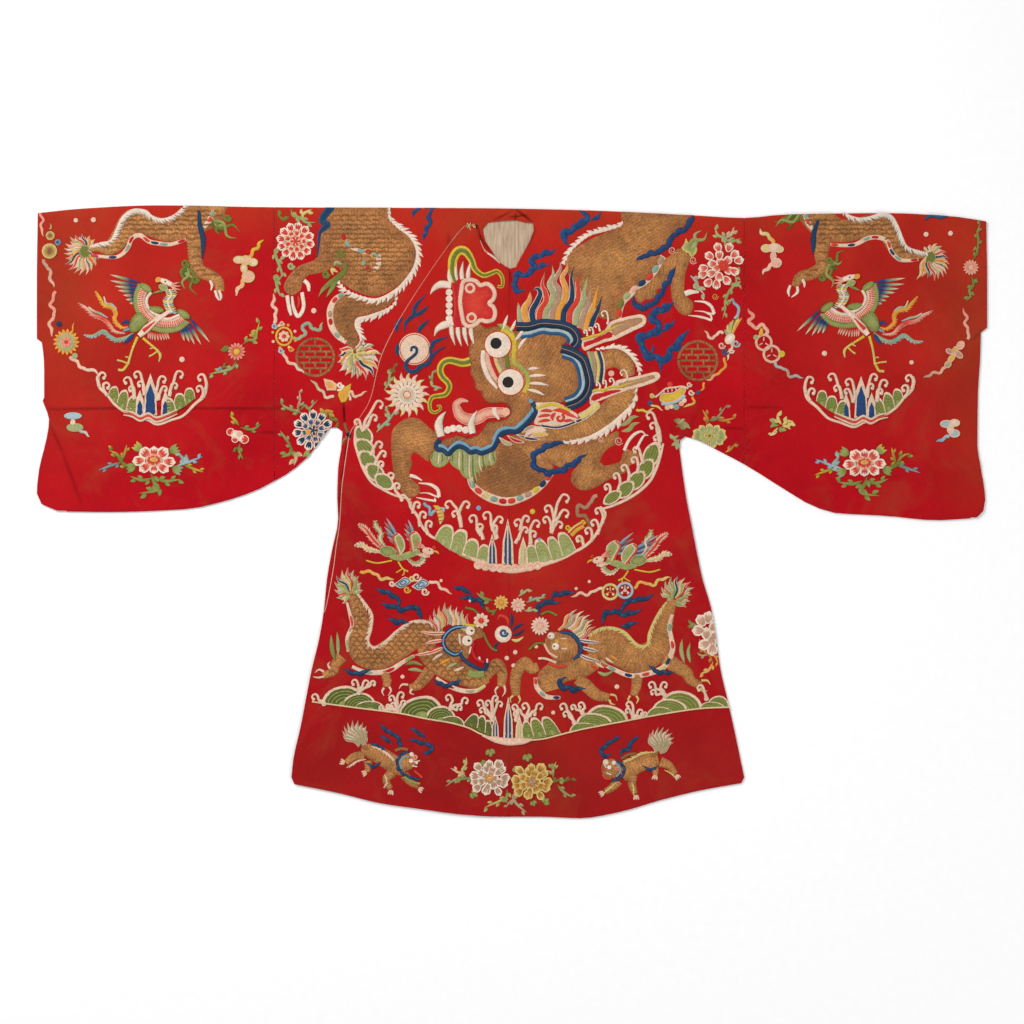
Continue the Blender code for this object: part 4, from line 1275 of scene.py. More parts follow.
    # Mane: each lock's thread, width and places from the brow to its tip
    for thread, width, lock in (
        ("sage", 4.4, ((520, 324), (519, 314), (518, 304))),
        ("orange", 6.2, ((527, 324), (524, 311), (529, 302), (530, 293))),
        ("navy", 6.2, ((533, 324), (532, 313), (537, 303), (540, 295), (537, 290), (533, 292))),
        ("coral", 6.2, ((539, 324), (540, 313), (546, 303), (545, 294), (542, 286), (545, 273))),
        ("sage", 6.2, ((545, 323), (546, 312), (552, 302), (553, 294), (549, 286), (553, 276), (552, 267))),
        ("taupe", 6.2, ((551, 323), (553, 312), (558, 301), (558, 291), (554, 283), (560, 271), (560, 263))),
        ("orange", 6.4, ((557, 323), (559, 311), (565, 300), (565, 289), (562, 279), (567, 270), (567, 264))),
        ("navy", 6.2, ((563, 324), (564, 313), (571, 302), (572, 291), (571, 279), (574, 267))),
        ("coral", 6.2, ((569, 325), (570, 313), (577, 302), (578, 292), (577, 283), (581, 276))),
        ("sage", 6.4, ((575, 327), (577, 315), (583, 303), (584, 294), (586, 284), (587, 279))),
        ("taupe", 6.2, ((580, 330), (583, 318), (587, 306), (590, 295), (591, 286))),
        ("orange", 6.2, ((585, 332), (588, 320), (593, 309), (595, 299), (598, 287))),
        ("navy", 5.4, ((590, 329), (594, 319), (598, 310), (602, 297))),
    ):
        floss.band(lock, [1.16 * width, 1.16 * width, 1.06 * width, 0.9 * width, 0.6 * width, 0.1], "cream",
                   level=2, high=0.1)
        floss.band(lock, [0.94 * width, 0.94 * width, 0.84 * width, 0.68 * width, 0.4 * width, 0.05], thread,
                   level=3.5, high=0.3)


def chest_trim(floss):
    """Fringes, plates, claws, flames and whiskers round the great dragon."""
    # Whiskers
    for path, width in (
        ([(470, 363), (462, 364.5), (450, 362), (443, 364.5), (440, 371), (442, 378), (448, 384.5),
          (449, 390), (445, 396), (438, 397.5), (432, 399), (429.5, 405), (430.5, 412), (435, 414),
          (440, 411), (440, 407.5), (436.5, 408)], [9, 7, 7, 6, 5, 4, 3, 2]),
        ([(455, 284), (452, 273), (453, 261), (458, 253), (465, 253), (471, 261), (475, 271), (483, 277),
          (491, 275), (497, 273), (502, 279), (502, 288), (497, 288)],
          [6, 8, 9.5, 9.5, 9, 7, 6, 5.4, 5, 4.4, 4, 3.4, 3]),
    ):
        floss.band(path, width, "yellow", level=2, rows=5)
        floss.band(path, [0.45 * w for w in width], "moss", level=4, rows=3)
    # Serrated fins along the back
    fringe(floss, [(626, 213), (623, 226), (608, 232), (590, 237), (578, 246), (570, 255), (564, 267)], 5.5,
           "white", side=1)
    fringe(floss, [(596, 352), (606, 351), (617, 350), (628, 356), (635, 366), (638, 376)], 6, "white",
           side=-1)
    fringe(floss, [(635, 390), (632, 403), (622, 415), (608, 427), (592, 437), (576, 441), (562, 443)],
           [5, 9, 9, 8, 6, 5, 4], "white", tooth=7, side=-1)
    # Belly plates
    plates(floss, [(663, 258), (656, 269), (648, 280), (637, 288), (628, 296), (621, 305), (618, 320)],
           ("taupe", "teal", "coral", "navy", "rose", "sage", "moss", "coral"), 8.5)
    plates(floss, [(469, 473), (472, 486), (482, 495), (495, 501), (508, 503), (521, 499), (533, 493),
                   (543, 485), (551, 475)],
           ("cream", "teal", "coral", "straw", "teal", "scarlet", "coral", "teal", "taupe", "yellow",
            "navy", "coral"), 8)
    # Flame fins in navy
    for path, width in (
        ([(565, 445.5), (556, 444.5), (547, 448.5), (540, 452), (534.5, 456), (533, 463), (537, 470),
          (546.4, 473.6), (557.3, 473), (567, 468.2), (575.5, 463.3), (587, 455)], 6.6),
        ([(693, 213), (690, 224), (683, 232), (673, 237), (669, 245), (661, 252), (652, 255.5), (643, 258),
          (635, 263)], 6),
        ([(675.5, 267), (672, 275), (668, 283), (663, 291), (659, 299), (651, 306), (641, 310), (634, 305),
          (633.5, 297)], 6),
    ):
        cloud(floss, path, width, "royal", "navy", level=4)
    for x, y in ((544, 457), (541, 464), (549, 467.5), (559, 465.5)):
        oval(floss, x, y, 4.4, 3, 30, "gold", "light_gold", level=3)
    # Claws
    for path, width in (
        ([(409.6, 477), (415, 478.4), (422, 482)], 3.4), ([(439, 498.6), (437.4, 491), (430, 486),
                                                           (418.6, 484.6)], 3.6),
        ([(439, 498.8), (434.6, 497.3), (427.5, 494.6), (419.5, 494.6)], 1.8),
        ([(436, 502.6), (426, 501), (416, 499)], 2.2), ([(435.5, 502.6), (434.4, 499)], 1.8),
        ([(624, 452), (628, 443), (634, 436), (641, 433), (645, 436)], 3.2),
        ([(636, 451), (640, 443), (644, 437), (648, 437)], 2.6),
        ([(684.5, 295.5), (690, 293.6), (698.6, 293.8)], 5.4),
        ([(714, 315.5), (711, 308), (704, 303.6), (694, 302.8)], 3.2),
        ([(714, 315.8), (708, 314.6), (702, 313), (694, 312.5)], 1.6),
        ([(711.4, 322), (704, 319.4), (696, 317.8), (688, 317)], 2.4),
        ([(711.4, 321.6), (710.6, 317), (706, 315)], 2),
    ):
        floss.band(path, [width, width, 0.3 * width], "white", level=4)
    # Green locks and small spirals
    flames(floss, (
        ([(619, 428), (627, 424), (632, 419), (639, 418)], 4.6, "sage", "leaf"),
        ([(621, 433), (629, 431), (633, 426), (640, 424)], 4.6, "sage", "leaf"),
        ([(588, 283), (591, 274), (596, 268), (603, 262)], 3, "leaf", "moss"),
    ))
    floss.shape([(681, 250), (684, 245), (685.6, 240), (688, 244), (692, 243), (696, 248), (697, 252),
                 (694, 257), (691, 259), (688, 255), (684, 253)], "straw", "leaf", level=3, grain=120,
                 high=0.3)
    fern(floss, (688, 251), ((701.5, 232), (707, 233)), 4.4, ("sage", "leaf"), level=4)
    for x, y, r in ((618.6, 442.5, 4.5), (672, 252, 4), (693, 262, 4), (601, 441, 3)):
        curl(floss, x, y, r, 0.9, "rose", turn=30, turns=1.6, level=4)
    # Pearl with its blue flame
    floss.disc(414.4, 350.6, 16, "cream", level=2, high=0.6)
    floss.band(circle(414.4, 350.6, 14.6, 14), 0.9, "coral", level=5, closed=True, rows=3)
    floss.band([(411, 353), (412, 349), (416, 349.5), (416.5, 354), (413, 358), (408, 362), (405.5, 367),
                (408, 372), (415, 373), (421, 368), (428, 365), (432, 358), (437, 353), (445, 348)],
               [2.4, 3, 3, 3.4, 4, 4.5, 4, 3, 1], "blue", "navy", level=6)
    for path in (
        [(430, 361), (431, 350), (434, 344), (440, 341), (448, 338)], [(404, 334), (406, 324), (413, 317),
                                                                      (415, 309), (420, 302), (426, 296)],
        [(413, 318), (421, 314), (429, 307)], [(418, 334), (421, 329), (429, 321)],
        [(398, 345), (397, 352), (398, 358)], [(396, 334), (397, 326), (403, 318)],
    ):
        floss.blade(path, 4.4, "blue", "navy", level=3)
    # Sunlike chrysanthemum
    for k in range(17):
        angle = 360 * k / 17
        petal = [(8, 0), (13, 1.6), (17, -1), (23, 0.6)]
        floss.blade(turned(407, 396.3, petal, turn=angle), 4.8, ["white", "straw" if k % 2 else "rose"],
                    level=2)
    floss.disc(407, 396.3, 9.6, "white", "sage", level=4, high=0.5)
    floss.disc(407, 396.3, 4.4, "coral", level=6, edge="cream", edge_width=0.8)
    floss.disc(407, 396.3, 3.2, "cream", level=8)
    floss.shape([(405.3, 394.6), (408.7, 394.6), (408.7, 398), (405.3, 398)], "coral", level=9, straight=True,
                high=0.1)


# ---------------------------------------------------------------- repeated motifs

def hook(work, x, y, radius, width, colour, stem, level=2):
    """A foam curl: its stem comes up beside a place, turns over it and ends in a small ball."""
    ring = [(-0.5, 0.5), (-1.0, -0.2), (-0.55, -1.0), (0.35, -1.15), (1.0, -0.4)]
    path = turned(x, y, ring, 0.85 * radius, flip=stem[0][0] < x) + list(stem)
    work.band(path, [0.9 * width, 0.75 * width, 0.85 * width, width, 1.1 * width, 1.4 * width], colour,
              level=level, step=1.3, rows=3)
    work.disc(*path[0], 0.66 * width, colour, level=level, high=0.25)


def tuft(work, root, tips, width, threads, level=2, rim="cream", spread=0.15):
    """Locks of hair side by side, coloured on pale rims. Short locks lie under the long ones."""
    root, ends = np.array(root, float), np.array(tips, float)
    ends = ends[np.argsort(np.unwrap(np.arctan2(*(ends - root).T), period=tau))]
    starts = root + spread * (ends - ends.mean(axis=0))
    short = 0.5 * (ends[1:] + ends[:-1])
    for row, (feet, heads) in enumerate(((0.5 * (starts[1:] + starts[:-1]), root + 0.86 * (short - root)),
                                         (starts, ends))):
        for k, (foot, head) in enumerate(zip(feet, heads)):
            run = head - foot
            side = 0.07 * np.array([-run[1], run[0]])
            lock = [foot, foot + 0.35 * run + side, foot + 0.7 * run - side, head]
            work.band(lock, [0.5 * width, 0.62 * width, 0.58 * width, 0.05], rim, level=level + row, rows=3,
                      high=0.1)
            work.band(lock, [0.3 * width, 0.38 * width, 0.32 * width, 0.02],
                      threads[(2 * k + row) % len(threads)], level=level + row + 1, rows=3, high=0.2)


def ribbon(work, path, width, threads, level=1):
    """A fluttering ribbon that thins to its end."""
    points, _ = smooth(path, 2.4)
    out = to_left(tangents(points))
    wave = np.sin(1.25 * np.arange(len(points)))
    points = points + out * (0.22 * width * wave)[:, None]
    widths = width * (0.72 + 0.2 * np.abs(wave))
    widths[-3:] = [0.7 * width, 0.45 * width, 0.1 * width]
    work.band(points, widths, threads, level=level, step=1.5)


def sprig(work, stems, level=1, leaves=True):
    """Scrolling stems, each a path, a width and its threads from root to tip, with rounded side leaves."""
    for path, width, threads in stems:
        work.blade(path, (0.7 if leaves else 0.95) * width, threads, level=level)
        points, _ = smooth(path, 2.5)
        ahead = tangents(points)
        for k in range(2, len(points) - 1, 3) if leaves else ():
            way = 1 if k % 2 else -1
            out = way * np.array([-ahead[k][1], ahead[k][0]])
            root, long = points[k], 1.15 * width
            work.blade([root, root + 0.45 * long * out + 0.25 * long * ahead[k],
                        root + 0.75 * long * out + 0.8 * long * ahead[k]], 0.85 * width, threads, level=level)


def petal(work, x, y, long, short, turn, rim, heart, level=3):
    """A ruffled petal that points away from its flower at an angle, with a streaked heart."""
    edge = [(-0.9, -0.35), (-0.2, -0.95), (0.55, -0.9), (0.8, -0.42), (1.05, 0), (0.8, 0.42), (0.55, 0.9),
            (-0.2, 0.95), (-0.9, 0.35)]
    ring = [(long * px, short * py) for px, py in edge]
    work.shape(turned(x, y, ring, turn=turn), rim, level=level, grain=turn, step=max(1.2, long / 4),
               high=0.25, fill=2.4)
    for side in (-0.42, 0, 0.42):
        streak = [(-0.8 * long, 0.3 * side * short), (0, 1.0 * side * short),
                  (0.6 * long, 1.15 * side * short)]
        work.blade(turned(x, y, streak, turn=turn), 0.52 * short, heart, level=level + 1)


def bloom(work, x, y, rings, centre, level=2, squash=1.0):
    """A flower of petals in rings: how many, how far out, long, short, rim, heart and turn."""
    for k, (count, out, long, short, rim, heart, turn) in enumerate(rings):
        for n in range(count):
            angle = 360 * n / count + turn
            px, py = x + out * cos(radians(angle)), y + squash * out * sin(radians(angle))
            petal(work, px, py, long, short, angle, rim, heart, level=level + 2 * k)
    radius, thread, heart = centre
    work.disc(x, y, radius, thread, heart, level=level + 2 * len(rings))


def daisy(work, x, y, radius, count, petal, centre, level=2):
    """A flower of narrow petals round a small centre."""
    for n in range(count):
        path = turned(x, y, [(0.3 * radius, 0), (0.7 * radius, 0.3), (radius, 0)], turn=360 * n / count)
        work.blade(path, 1.15 * tau * 0.7 * radius / count, petal, level=level)
    work.disc(x, y, 0.34 * radius, centre, level=level + 2)


def sleeve_peony(work, x, y, flip=False):
    """A peony of six lobed petals with its leaves and stems."""
    def at(*points):
        return turned(x, y, points, flip=flip)

    for stem in (
        (at((-24, 7), (-32, 2), (-37, -6), (-45, -10)), 5, ["moss", "moss", "yellow"]),
        (at((-32, 1), (-29, -8), (-27, -16)), 4, ["moss", "orange"]),
        (at((-32, 2), (-42, 5), (-56, 10)), 4, ["moss", "sky"]),
        (at((22, 6), (31, 2), (27, -4), (25, -8)), 5, ["pale_blue", "teal"]),
        (at((29, 4), (37, 1), (49, -4)), 4, ["pale_blue", "sky"]),
        (at((29, 4), (38, 8), (50, 12)), 4, ["moss", "yellow"]),
        (at((-3, 13), (0, 22), (4, 27), (0, 31), (-16, 33)), 6, ["moss", "leaf"]),
        (at((-1, 18), (-12, 20), (-24, 16)), 5, ["moss", "leaf"]),
        (at((2, 18), (12, 21), (27, 19)), 5, ["moss", "leaf"]),
    ):
        sprig(work, (stem,))
    for lx, ly, tip in ((-15, -12, "yellow"), (19, -10, "leaf"), (-22, 7, "moss"), (22, 9, "teal")):
        (cx, cy), = at((lx, ly))
        outwards = degrees(atan2(ly, lx))
        for k in (-1, 0, 1):
            lobed = turned(cx, cy, [(-4, 0), (1, 2 * k), (6.5, 4 * k)],
                           turn=180 - outwards if flip else outwards)
            work.blade(lobed, 5, ["moss", "leaf", tip], level=2)
    for px, py, long, short, turn in (
        (-8.5, -7, 7, 6, -140), (8.5, -7, 7, 6, -40), (0, -8, 6, 5, -90), (-15, 0.5, 6.6, 5, 172),
        (15, 1.5, 6.6, 5, 8), (-9, 7, 6.6, 5, 145), (9, 7.5, 6.6, 5, 35), (0, 8.5, 5, 4.6, 90),
    ):
        (cx, cy), = at((px, py))
        petal(work, cx, cy, long, short, 180 - turn if flip else turn, "white", ["pink", "coral", "pink"],
              level=3)
    for k in range(7):
        angle = 360 * k / 7
        petal(work, x + 5 * cos(radians(angle)), y + 3 * sin(radians(angle)), 4, 3, angle, "rose", "coral",
              level=6)
    oval(work, x, y - 0.6, 4, 2.2, 0, "straw", "orange", level=9)


def sleeve_waves(work, x, y=0, flip=False):
    """A crescent of waves round three mountains, with foam curls above it."""
    def at(*points):
        return turned(x, y, points, flip=flip)

    work.band(at((-52, 375.5), (-52, 386), (-49, 391), (-43, 397), (-34, 407.5), (-19, 417), (-3, 421.5),
                 (7, 426), (21, 421.5), (33, 417), (44, 406), (53, 398), (56, 388), (55, 380)),
              [2.6, 3.2, 3.2, 2.6, 2.6, 2.6, 2.4, 2.4, 2.4, 2.6, 3, 3.4, 3.4, 3], "cream", level=2)
    for k, corners in enumerate((
        ((-42, 399), (-31, 408), (-42, 390), (-31, 389)), ((-34, 406), (-22, 415), (-32, 394), (-21, 393)),
        ((-25, 413), (-11, 420), (-23, 400), (-12, 398)), ((45, 400), (33, 409), (44, 390), (33, 392)),
        ((36, 407), (23, 415), (35, 396), (23, 397)), ((26, 413), (11, 420), (24, 401), (12, 401)),
    )):
        crest(work, *at(*corners), level=1 + 1.2 * k, threads=("moss", "leaf"))
    for apex, top, base, half in ((-10.5, 391.5, 417, 4.6), (15, 392, 418, 4.6), (0, 375, 417, 6.8)):
        for thread, side, tip, level in (("cream", half, top, 5), ("royal", half - 1.6, top + 9, 7)):
            middle = 0.62 * tip + 0.38 * base
            outline = ((apex - side, base), (apex - 0.8 * side, middle), (apex, tip),
                       (apex + 0.8 * side, middle), (apex + side, base))
            work.shape(at(*outline), thread, level=level, straight=True, grain=90)
    for dy, thread in ((0, "cream"), (2.4, "coral"), (4.4, "cream")):
        path = at((-27, 412 + dy), (-18, 414 + dy), (-10, 418 + dy), (-2, 415 + dy), (6, 419 + dy),
                  (16, 416 + dy), (27, 411 + dy))
        work.band(path, [1, 2, 2.4, 2.4, 2.4, 2, 1], thread, level=9, rows=3)
    for cx, cy, r, stem in (
        (-48, 378, 3.8, ((-53, 380), (-51, 388))), (-44, 388, 3.6, ((-46, 393), (-43, 397))),
        (-23, 383, 4, ((-18, 388), (-17, 394), (-16, 401))), (-19, 391, 3, ((-16, 395), (-16, 400))),
        (-13, 377, 3.8, ((-8, 383), (-6, 390), (-6, 397))), (-10, 386, 3, ((-7, 391), (-6, 396))),
        (12, 382, 4, ((7, 388), (6, 395), (8, 402))), (14, 391, 3, ((9, 396), (8, 401))),
        (29, 377, 4.2, ((23, 384), (20, 391), (19, 398))), (24, 388, 3.4, ((20, 393), (19, 398))),
        (51, 380, 4, ((56, 386), (55, 392))), (49, 391, 3.4, ((53, 395), (51, 400))),
    ):
        (hx, hy), = at((cx, cy))
        hook(work, hx, hy, r, 2.7, "cream", at(*stem), level=6)


def phoenix(work, x, y, flip=False, turn=0):
    """A phoenix in flight, drawn round (150, 322)."""
    def at(*points):
        return turned(x, y, [(a - 150, b - 322) for a, b in points], 1.03, turn, flip)

    def strokes(path, long, width, thread, step, level, lean=0.0):
        """Short strokes side by side along a path, across it and outwards."""
        points, _ = smooth(at(*path), step)
        ahead = tangents(points)
        for place, (dx, dy) in zip(points, ahead):
            out = np.array([-dy, dx]) * (-1 if flip else 1) + lean * np.array([dx, dy])
            work.blade([place, place + 0.5 * long * out, place + long * out], width, thread, level=level)

    # Tail plumes: a comb along one side, and a pale ribbon beside two of them
    for path, width, threads, tooth in (
        (((129, 328), (122.4, 328.7), (116, 321.8), (117, 314.5), (113, 309), (105.5, 307), (102.4, 301),
          (97.6, 293)), 4.4,
         ["orange", "orange", "yellow"], "orange"),
        (((126, 334.5), (116, 332.4), (111, 326), (104.5, 320), (95, 316.6), (88.7, 310), (81.3, 305)), 3.6,
         ["cream", "coral", "white"], "pink"),
        (((134, 334), (125.5, 339), (117, 340.8), (111, 337.6), (104.5, 332.4), (95, 336.6), (86.6, 335.5)),
         4.4, ["sage", "teal", "sage"], "pale_blue"),
    ):
        fringe(work, at(*path), 3.2, tooth, tooth=2, side=1 if flip else -1, level=2)
        work.blade(at(*path), width, threads, level=3)
    for path in (((118, 311), (113, 306.5), (107.5, 305.5), (105.5, 299)),
                 ((109, 319.5), (102, 315.5), (95.5, 313), (90.5, 309))):
        work.band(at(*path), [1, 2.4, 2.4, 1.2], ["pale_blue", "sage", "white"], level=4, rows=3)
    for path, width, thread in ((((134, 335), (130, 340), (124, 345)), 4, "royal"),
                                (((131, 327), (127, 323), (122, 326)), 3.4, "royal"),
                                (((132, 330), (128, 331), (123, 333)), 2.6, "sky")):
        work.blade(at(*path), width, thread, level=4)
    # Legs
    for path, width in (
        (at((138, 338), (133, 350), (128.5, 365)), [3, 2.2, 2.4]),
        (at((128.5, 364), (124, 362), (118, 360.5)), 1.8), (at((128, 365), (124, 370), (119, 370)), 2.6),
        (at((130, 359), (128, 357.5), (126, 357.5)), 1.4), (at((143, 339), (150, 345), (157, 351), (160, 356),
                                                               (158.6, 362)), [3, 2.2, 2.4, 3, 1]),
        (at((157, 352), (153, 355), (149, 357)), 1.8), (at((156, 350), (154, 348.6), (150, 349.5)), 1.4),
    ):
        work.band(path, width, ["yellow", "straw"], level=3, rows=3)
    # Flight feathers, blue with pale tips
    for root, tip in (
        ((141, 286), (111.3, 277.6)), ((140, 289), (111.3, 283.4)), ((139, 292), (116, 288.7)),
        ((138, 295), (119, 293)), ((137.5, 298.5), (124, 297.6)), ((137, 302), (126.6, 301.8)),
        ((137, 305), (130.3, 305.5)), ((188, 319), (208.2, 343.4)), ((186, 322), (199.7, 345.5)),
        ((184, 325), (193.4, 345.5)), ((182, 327), (188.2, 343)), ((180, 329), (183.4, 342)),
    ):
        middle = (0.5 * root[0] + 0.5 * tip[0], 0.5 * root[1] + 0.5 * tip[1])
        work.blade(at(root, middle, tip), 3.4, ["royal", "royal", "sage", "white"], level=3)
    strokes([(149, 332), (157, 334), (166, 333)], 8, 2.2, ["coral", "cream"], 2.8, 2, 0.2)
    # Coverts: green with a scalloped edge, then cream with coral strokes, then a pale border
    for outer, stroked, border, reach in (
        ([(141, 288), (137.5, 296.6), (137, 305), (139, 312.4), (144, 320)],
         [(144.6, 292), (141.6, 300), (142.2, 308), (146, 315.6), (153, 322)],
         [(151.3, 295), (147.6, 299.7), (146.8, 305), (149, 310.3), (155, 316), (162.4, 317.4),
          (168.7, 313.6)], -1),
        ([(150, 328), (161.3, 331), (169.7, 331.2), (178.2, 329), (186, 323)],
         [(153, 322.4), (161, 324.6), (168, 325), (176, 323.6), (182, 319.4)],
         [(155, 319), (163, 320.4), (170, 320.4), (178.7, 316.6)], -1),
    ):
        work.band(at(*outer), 6, "moss", "leaf", level=4, rows=3)
        strokes(outer, -3.4 * reach, 2.4, "leaf", 2.2, 5)
        work.band(at(*stroked), 8, "cream", "rose", level=6, rows=3)
        strokes(stroked, -4.2 * reach, 1.2, "coral", 2.1, 8)
        strokes(stroked, 2.2 * reach, 1.2, "coral", 2.1, 8)
        work.band(at(*border), 3, "cream", "white", level=9, rows=3)
    for cx, cy, long, turned_by in ((146, 290.4, 7, 36), (182.6, 316, 7.4, 34), (156, 311.6, 8, 8)):
        oval(work, *at((cx, cy))[0], long, 3.5, -turned_by if flip else turned_by, "moss", "leaf", level=9)
    # Body, neck and head
    work.shape(at((129.7, 328.2), (133, 319), (139.5, 313.8), (144, 317), (148.7, 322), (143, 328.2),
                  (137, 333), (131.8, 333.4)),
               "moss", "leaf", level=7, high=0.3, step=1.8)
    strokes([(131, 326), (136, 319.5), (142, 316.5)], 4, 1.2, "sage", 2.4, 10)
    work.band(at((139.5, 337), (146, 331), (155, 323), (164, 316.5), (171, 312)), [5, 8, 6, 4.4, 3], "rose",
              "white", level=11)
    work.band(at((143.4, 332.4), (149, 328), (155, 323)), [4, 3, 1], "coral", level=13, rows=3)
    neck = at((171.6, 314.5), (168, 307), (168, 302), (171, 297.6), (168.7, 292))
    points, _ = smooth(neck, 2.3)
    for k, (px, py) in enumerate(points):
        for side in (-1, 1):
            work.blade([(px, py), (px + 2.8 * side, py + 0.6), (px + 5.6 * side, py - 1)], 1.7,
                       ("pale_blue", "straw", "white", "yellow")[k % 4], level=10)
    work.band(neck, 2, "white", level=12, rows=3)
    work.blade(at((164.5, 293.4), (159, 294), (152.6, 296)), 2.6, ["moss", "leaf"], level=9)
    oval(work, *at((163, 290))[0], 5, 3.2, -20 if flip else 20, "sage", "leaf", level=10)
    work.band(at((159.6, 282.4), (165, 284.6), (171, 287.4)), [4, 6, 5], "rose", "white", level=11, rows=5)
    oval(work, *at((158, 282.6))[0], 2.6, 3.2, 60, "orange", level=13)
    work.disc(*at((165, 284.4))[0], 0.9, "black", level=14)
    for tip in ((179, 285), (180.5, 289), (180.5, 293), (177, 296)):
        work.blade(at((168, 286), (173.6, 0.5 * (286 + tip[1]) + 1), tip), 2, ["rose", "pink"], level=10)


def fret_roundel(work, x, y, radius):
    """A round medallion with a brick-like lattice of bars in worn gold thread."""
    work.band(circle(x, y, radius, 20), 2.8, "dark_gold", "gold", level=1, closed=True)
    inner = 0.9 * radius
    row = 2 * inner / 6
    for k in range(-2, 3):
        reach = sqrt(inner ** 2 - (k * row) ** 2)
        work.band([(x - reach, y + k * row), (x + reach, y + k * row)], 2.4, "dark_gold", "gold", level=1,
                  rows=3)
    for k in range(-3, 3):
        for share in (-0.66, 0, 0.66) if k % 2 else (-0.33, 0.33):
            half = sqrt(inner ** 2 - (share * inner) ** 2)
            low, high = max(k * row, -half), min((k + 1) * row, half)
            if high - low > 0.4 * row:
                px = x + share * inner
                work.band([(px, y + low), (px, y + high)], 2.4, "dark_gold", "gold", level=2, rows=3)


def roundels(gold):
    """The two medallions of the shoulders."""
    fret_roundel(gold, 315.2, 358.8, 18.6)
    fret_roundel(gold, 697.7, 362.2, 19.2)


def tassel_ring(work, x, y, radius, thread, level=1):
    """A ring with a small pattern of spokes."""
    work.band(circle(x, y, radius, 12), 0.34 * radius, thread, level=level, closed=True)
    for k in range(3):
        end = turned(x, y, [(0.2 * radius, 0), (0.7 * radius, 0)], turn=120 * k + 30)
        work.band(end, 0.16 * radius, thread, level=level, rows=3)


# ---------------------------------------------------------------- what repeats

def scale_arc(finish, threads, wide, high):
    """One scale in couched thread: an arc, with a darker arc under it painted as its shadow."""
    work = Work("scale arc")
    # Painted shadow: the first thread is a darker arc just under the scale's own arc.
    for drop, width, thread in ((1.1, 1.1, threads[0]), (0.0, 1.0, threads[1])):
        arc = [(0.5 * wide * sin(a), drop - high * cos(a)) for a in np.linspace(-1.5, 1.5, 6)]
        work.band(arc, width, thread, level=0, rows=3, high=0.25, step=1.8)
    return work.loose(finish)


def stitch(finish):
    """One running stitch of red thread."""
    work = Work("stitch")
    work.band([(-0.75, 0), (0.75, 0)], 0.34, "ground", level=0, rows=3, high=0.3, step=0.8)
    return work.loose(finish)


def copying_tree(finish):
    """Geometry Nodes that set a piece on every point, at the point's own turn and a random one."""
    tree = bpy.data.node_groups.new("set out", "GeometryNodeTree")
    for name, way, kind in (
        ("Geometry", "INPUT", "Geometry"), ("Piece", "INPUT", "Object"), ("Turn", "INPUT", "Float"),
        ("Smallest", "INPUT", "Float"), ("Seed", "INPUT", "Int"), ("Geometry", "OUTPUT", "Geometry"),
    ):
        tree.interface.new_socket(name, in_out=way, socket_type="NodeSocket" + kind)

    def add(kind, values, **settings):
        node = tree.nodes.new(kind)
        for key, value in settings.items():
            setattr(node, key, value)
        for key, value in values.items():
            if isinstance(value, bpy.types.NodeSocket):
                tree.links.new(value, node.inputs[key])
            else:
                node.inputs[key].default_value = value
        return node

    given = tree.nodes.new("NodeGroupInput").outputs
    shape = add("GeometryNodeObjectInfo", {"Object": given["Piece"]})
    least = add("ShaderNodeMath", {0: given["Turn"], 1: -1.0}, operation="MULTIPLY")
    turn = add("FunctionNodeRandomValue", {2: least.outputs[0], 3: given["Turn"], "Seed": given["Seed"]},
               data_type="FLOAT")
    own = add("GeometryNodeInputNamedAttribute", {"Name": "turn"}, data_type="FLOAT")
    both = add("ShaderNodeMath", {0: turn.outputs[1], 1: own.outputs[0]}, operation="ADD")
    axis = add("ShaderNodeCombineXYZ", {"Z": both.outputs[0]})
    size = add("FunctionNodeRandomValue", {2: given["Smallest"], 3: 1.1, "Seed": given["Seed"]},
               data_type="FLOAT")
    copies = add("GeometryNodeInstanceOnPoints", {
        "Points": given["Geometry"], "Instance": shape.outputs["Geometry"], "Rotation": axis.outputs[0],
        "Scale": size.outputs[1]})
    real = add("GeometryNodeRealizeInstances", {"Geometry": copies.outputs[0]})
    dressed = add("GeometryNodeSetMaterial", {"Geometry": real.outputs[0], "Material": finish})
    add("NodeGroupOutput", {"Geometry": dressed.outputs[0]})
    return tree


def set_out(name, places, turns, piece, finish, turn, seed):
    """Copies of a piece on every place, each turned its own way and up to turn more or less."""
    mesh = bpy.data.meshes.new(name)
    mesh.from_pydata(places, [], [])
    mesh.attributes.new("turn", "FLOAT", "POINT").data.foreach_set("value", turns)
    made = new_object(name, mesh)
    tree = copying_tree(finish)
    modifier = made.modifiers.new("copies", "NODES")
    modifier.node_group = tree
    sockets = {item.name: item.identifier for item in tree.interface.items_tree if item.in_out == "INPUT"}
    for key, value in (("Piece", piece), ("Turn", turn), ("Smallest", 0.85), ("Seed", seed)):
        modifier[sockets[key]] = value
    plain(made)
    bpy.data.objects.remove(piece)
    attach(made, "root")


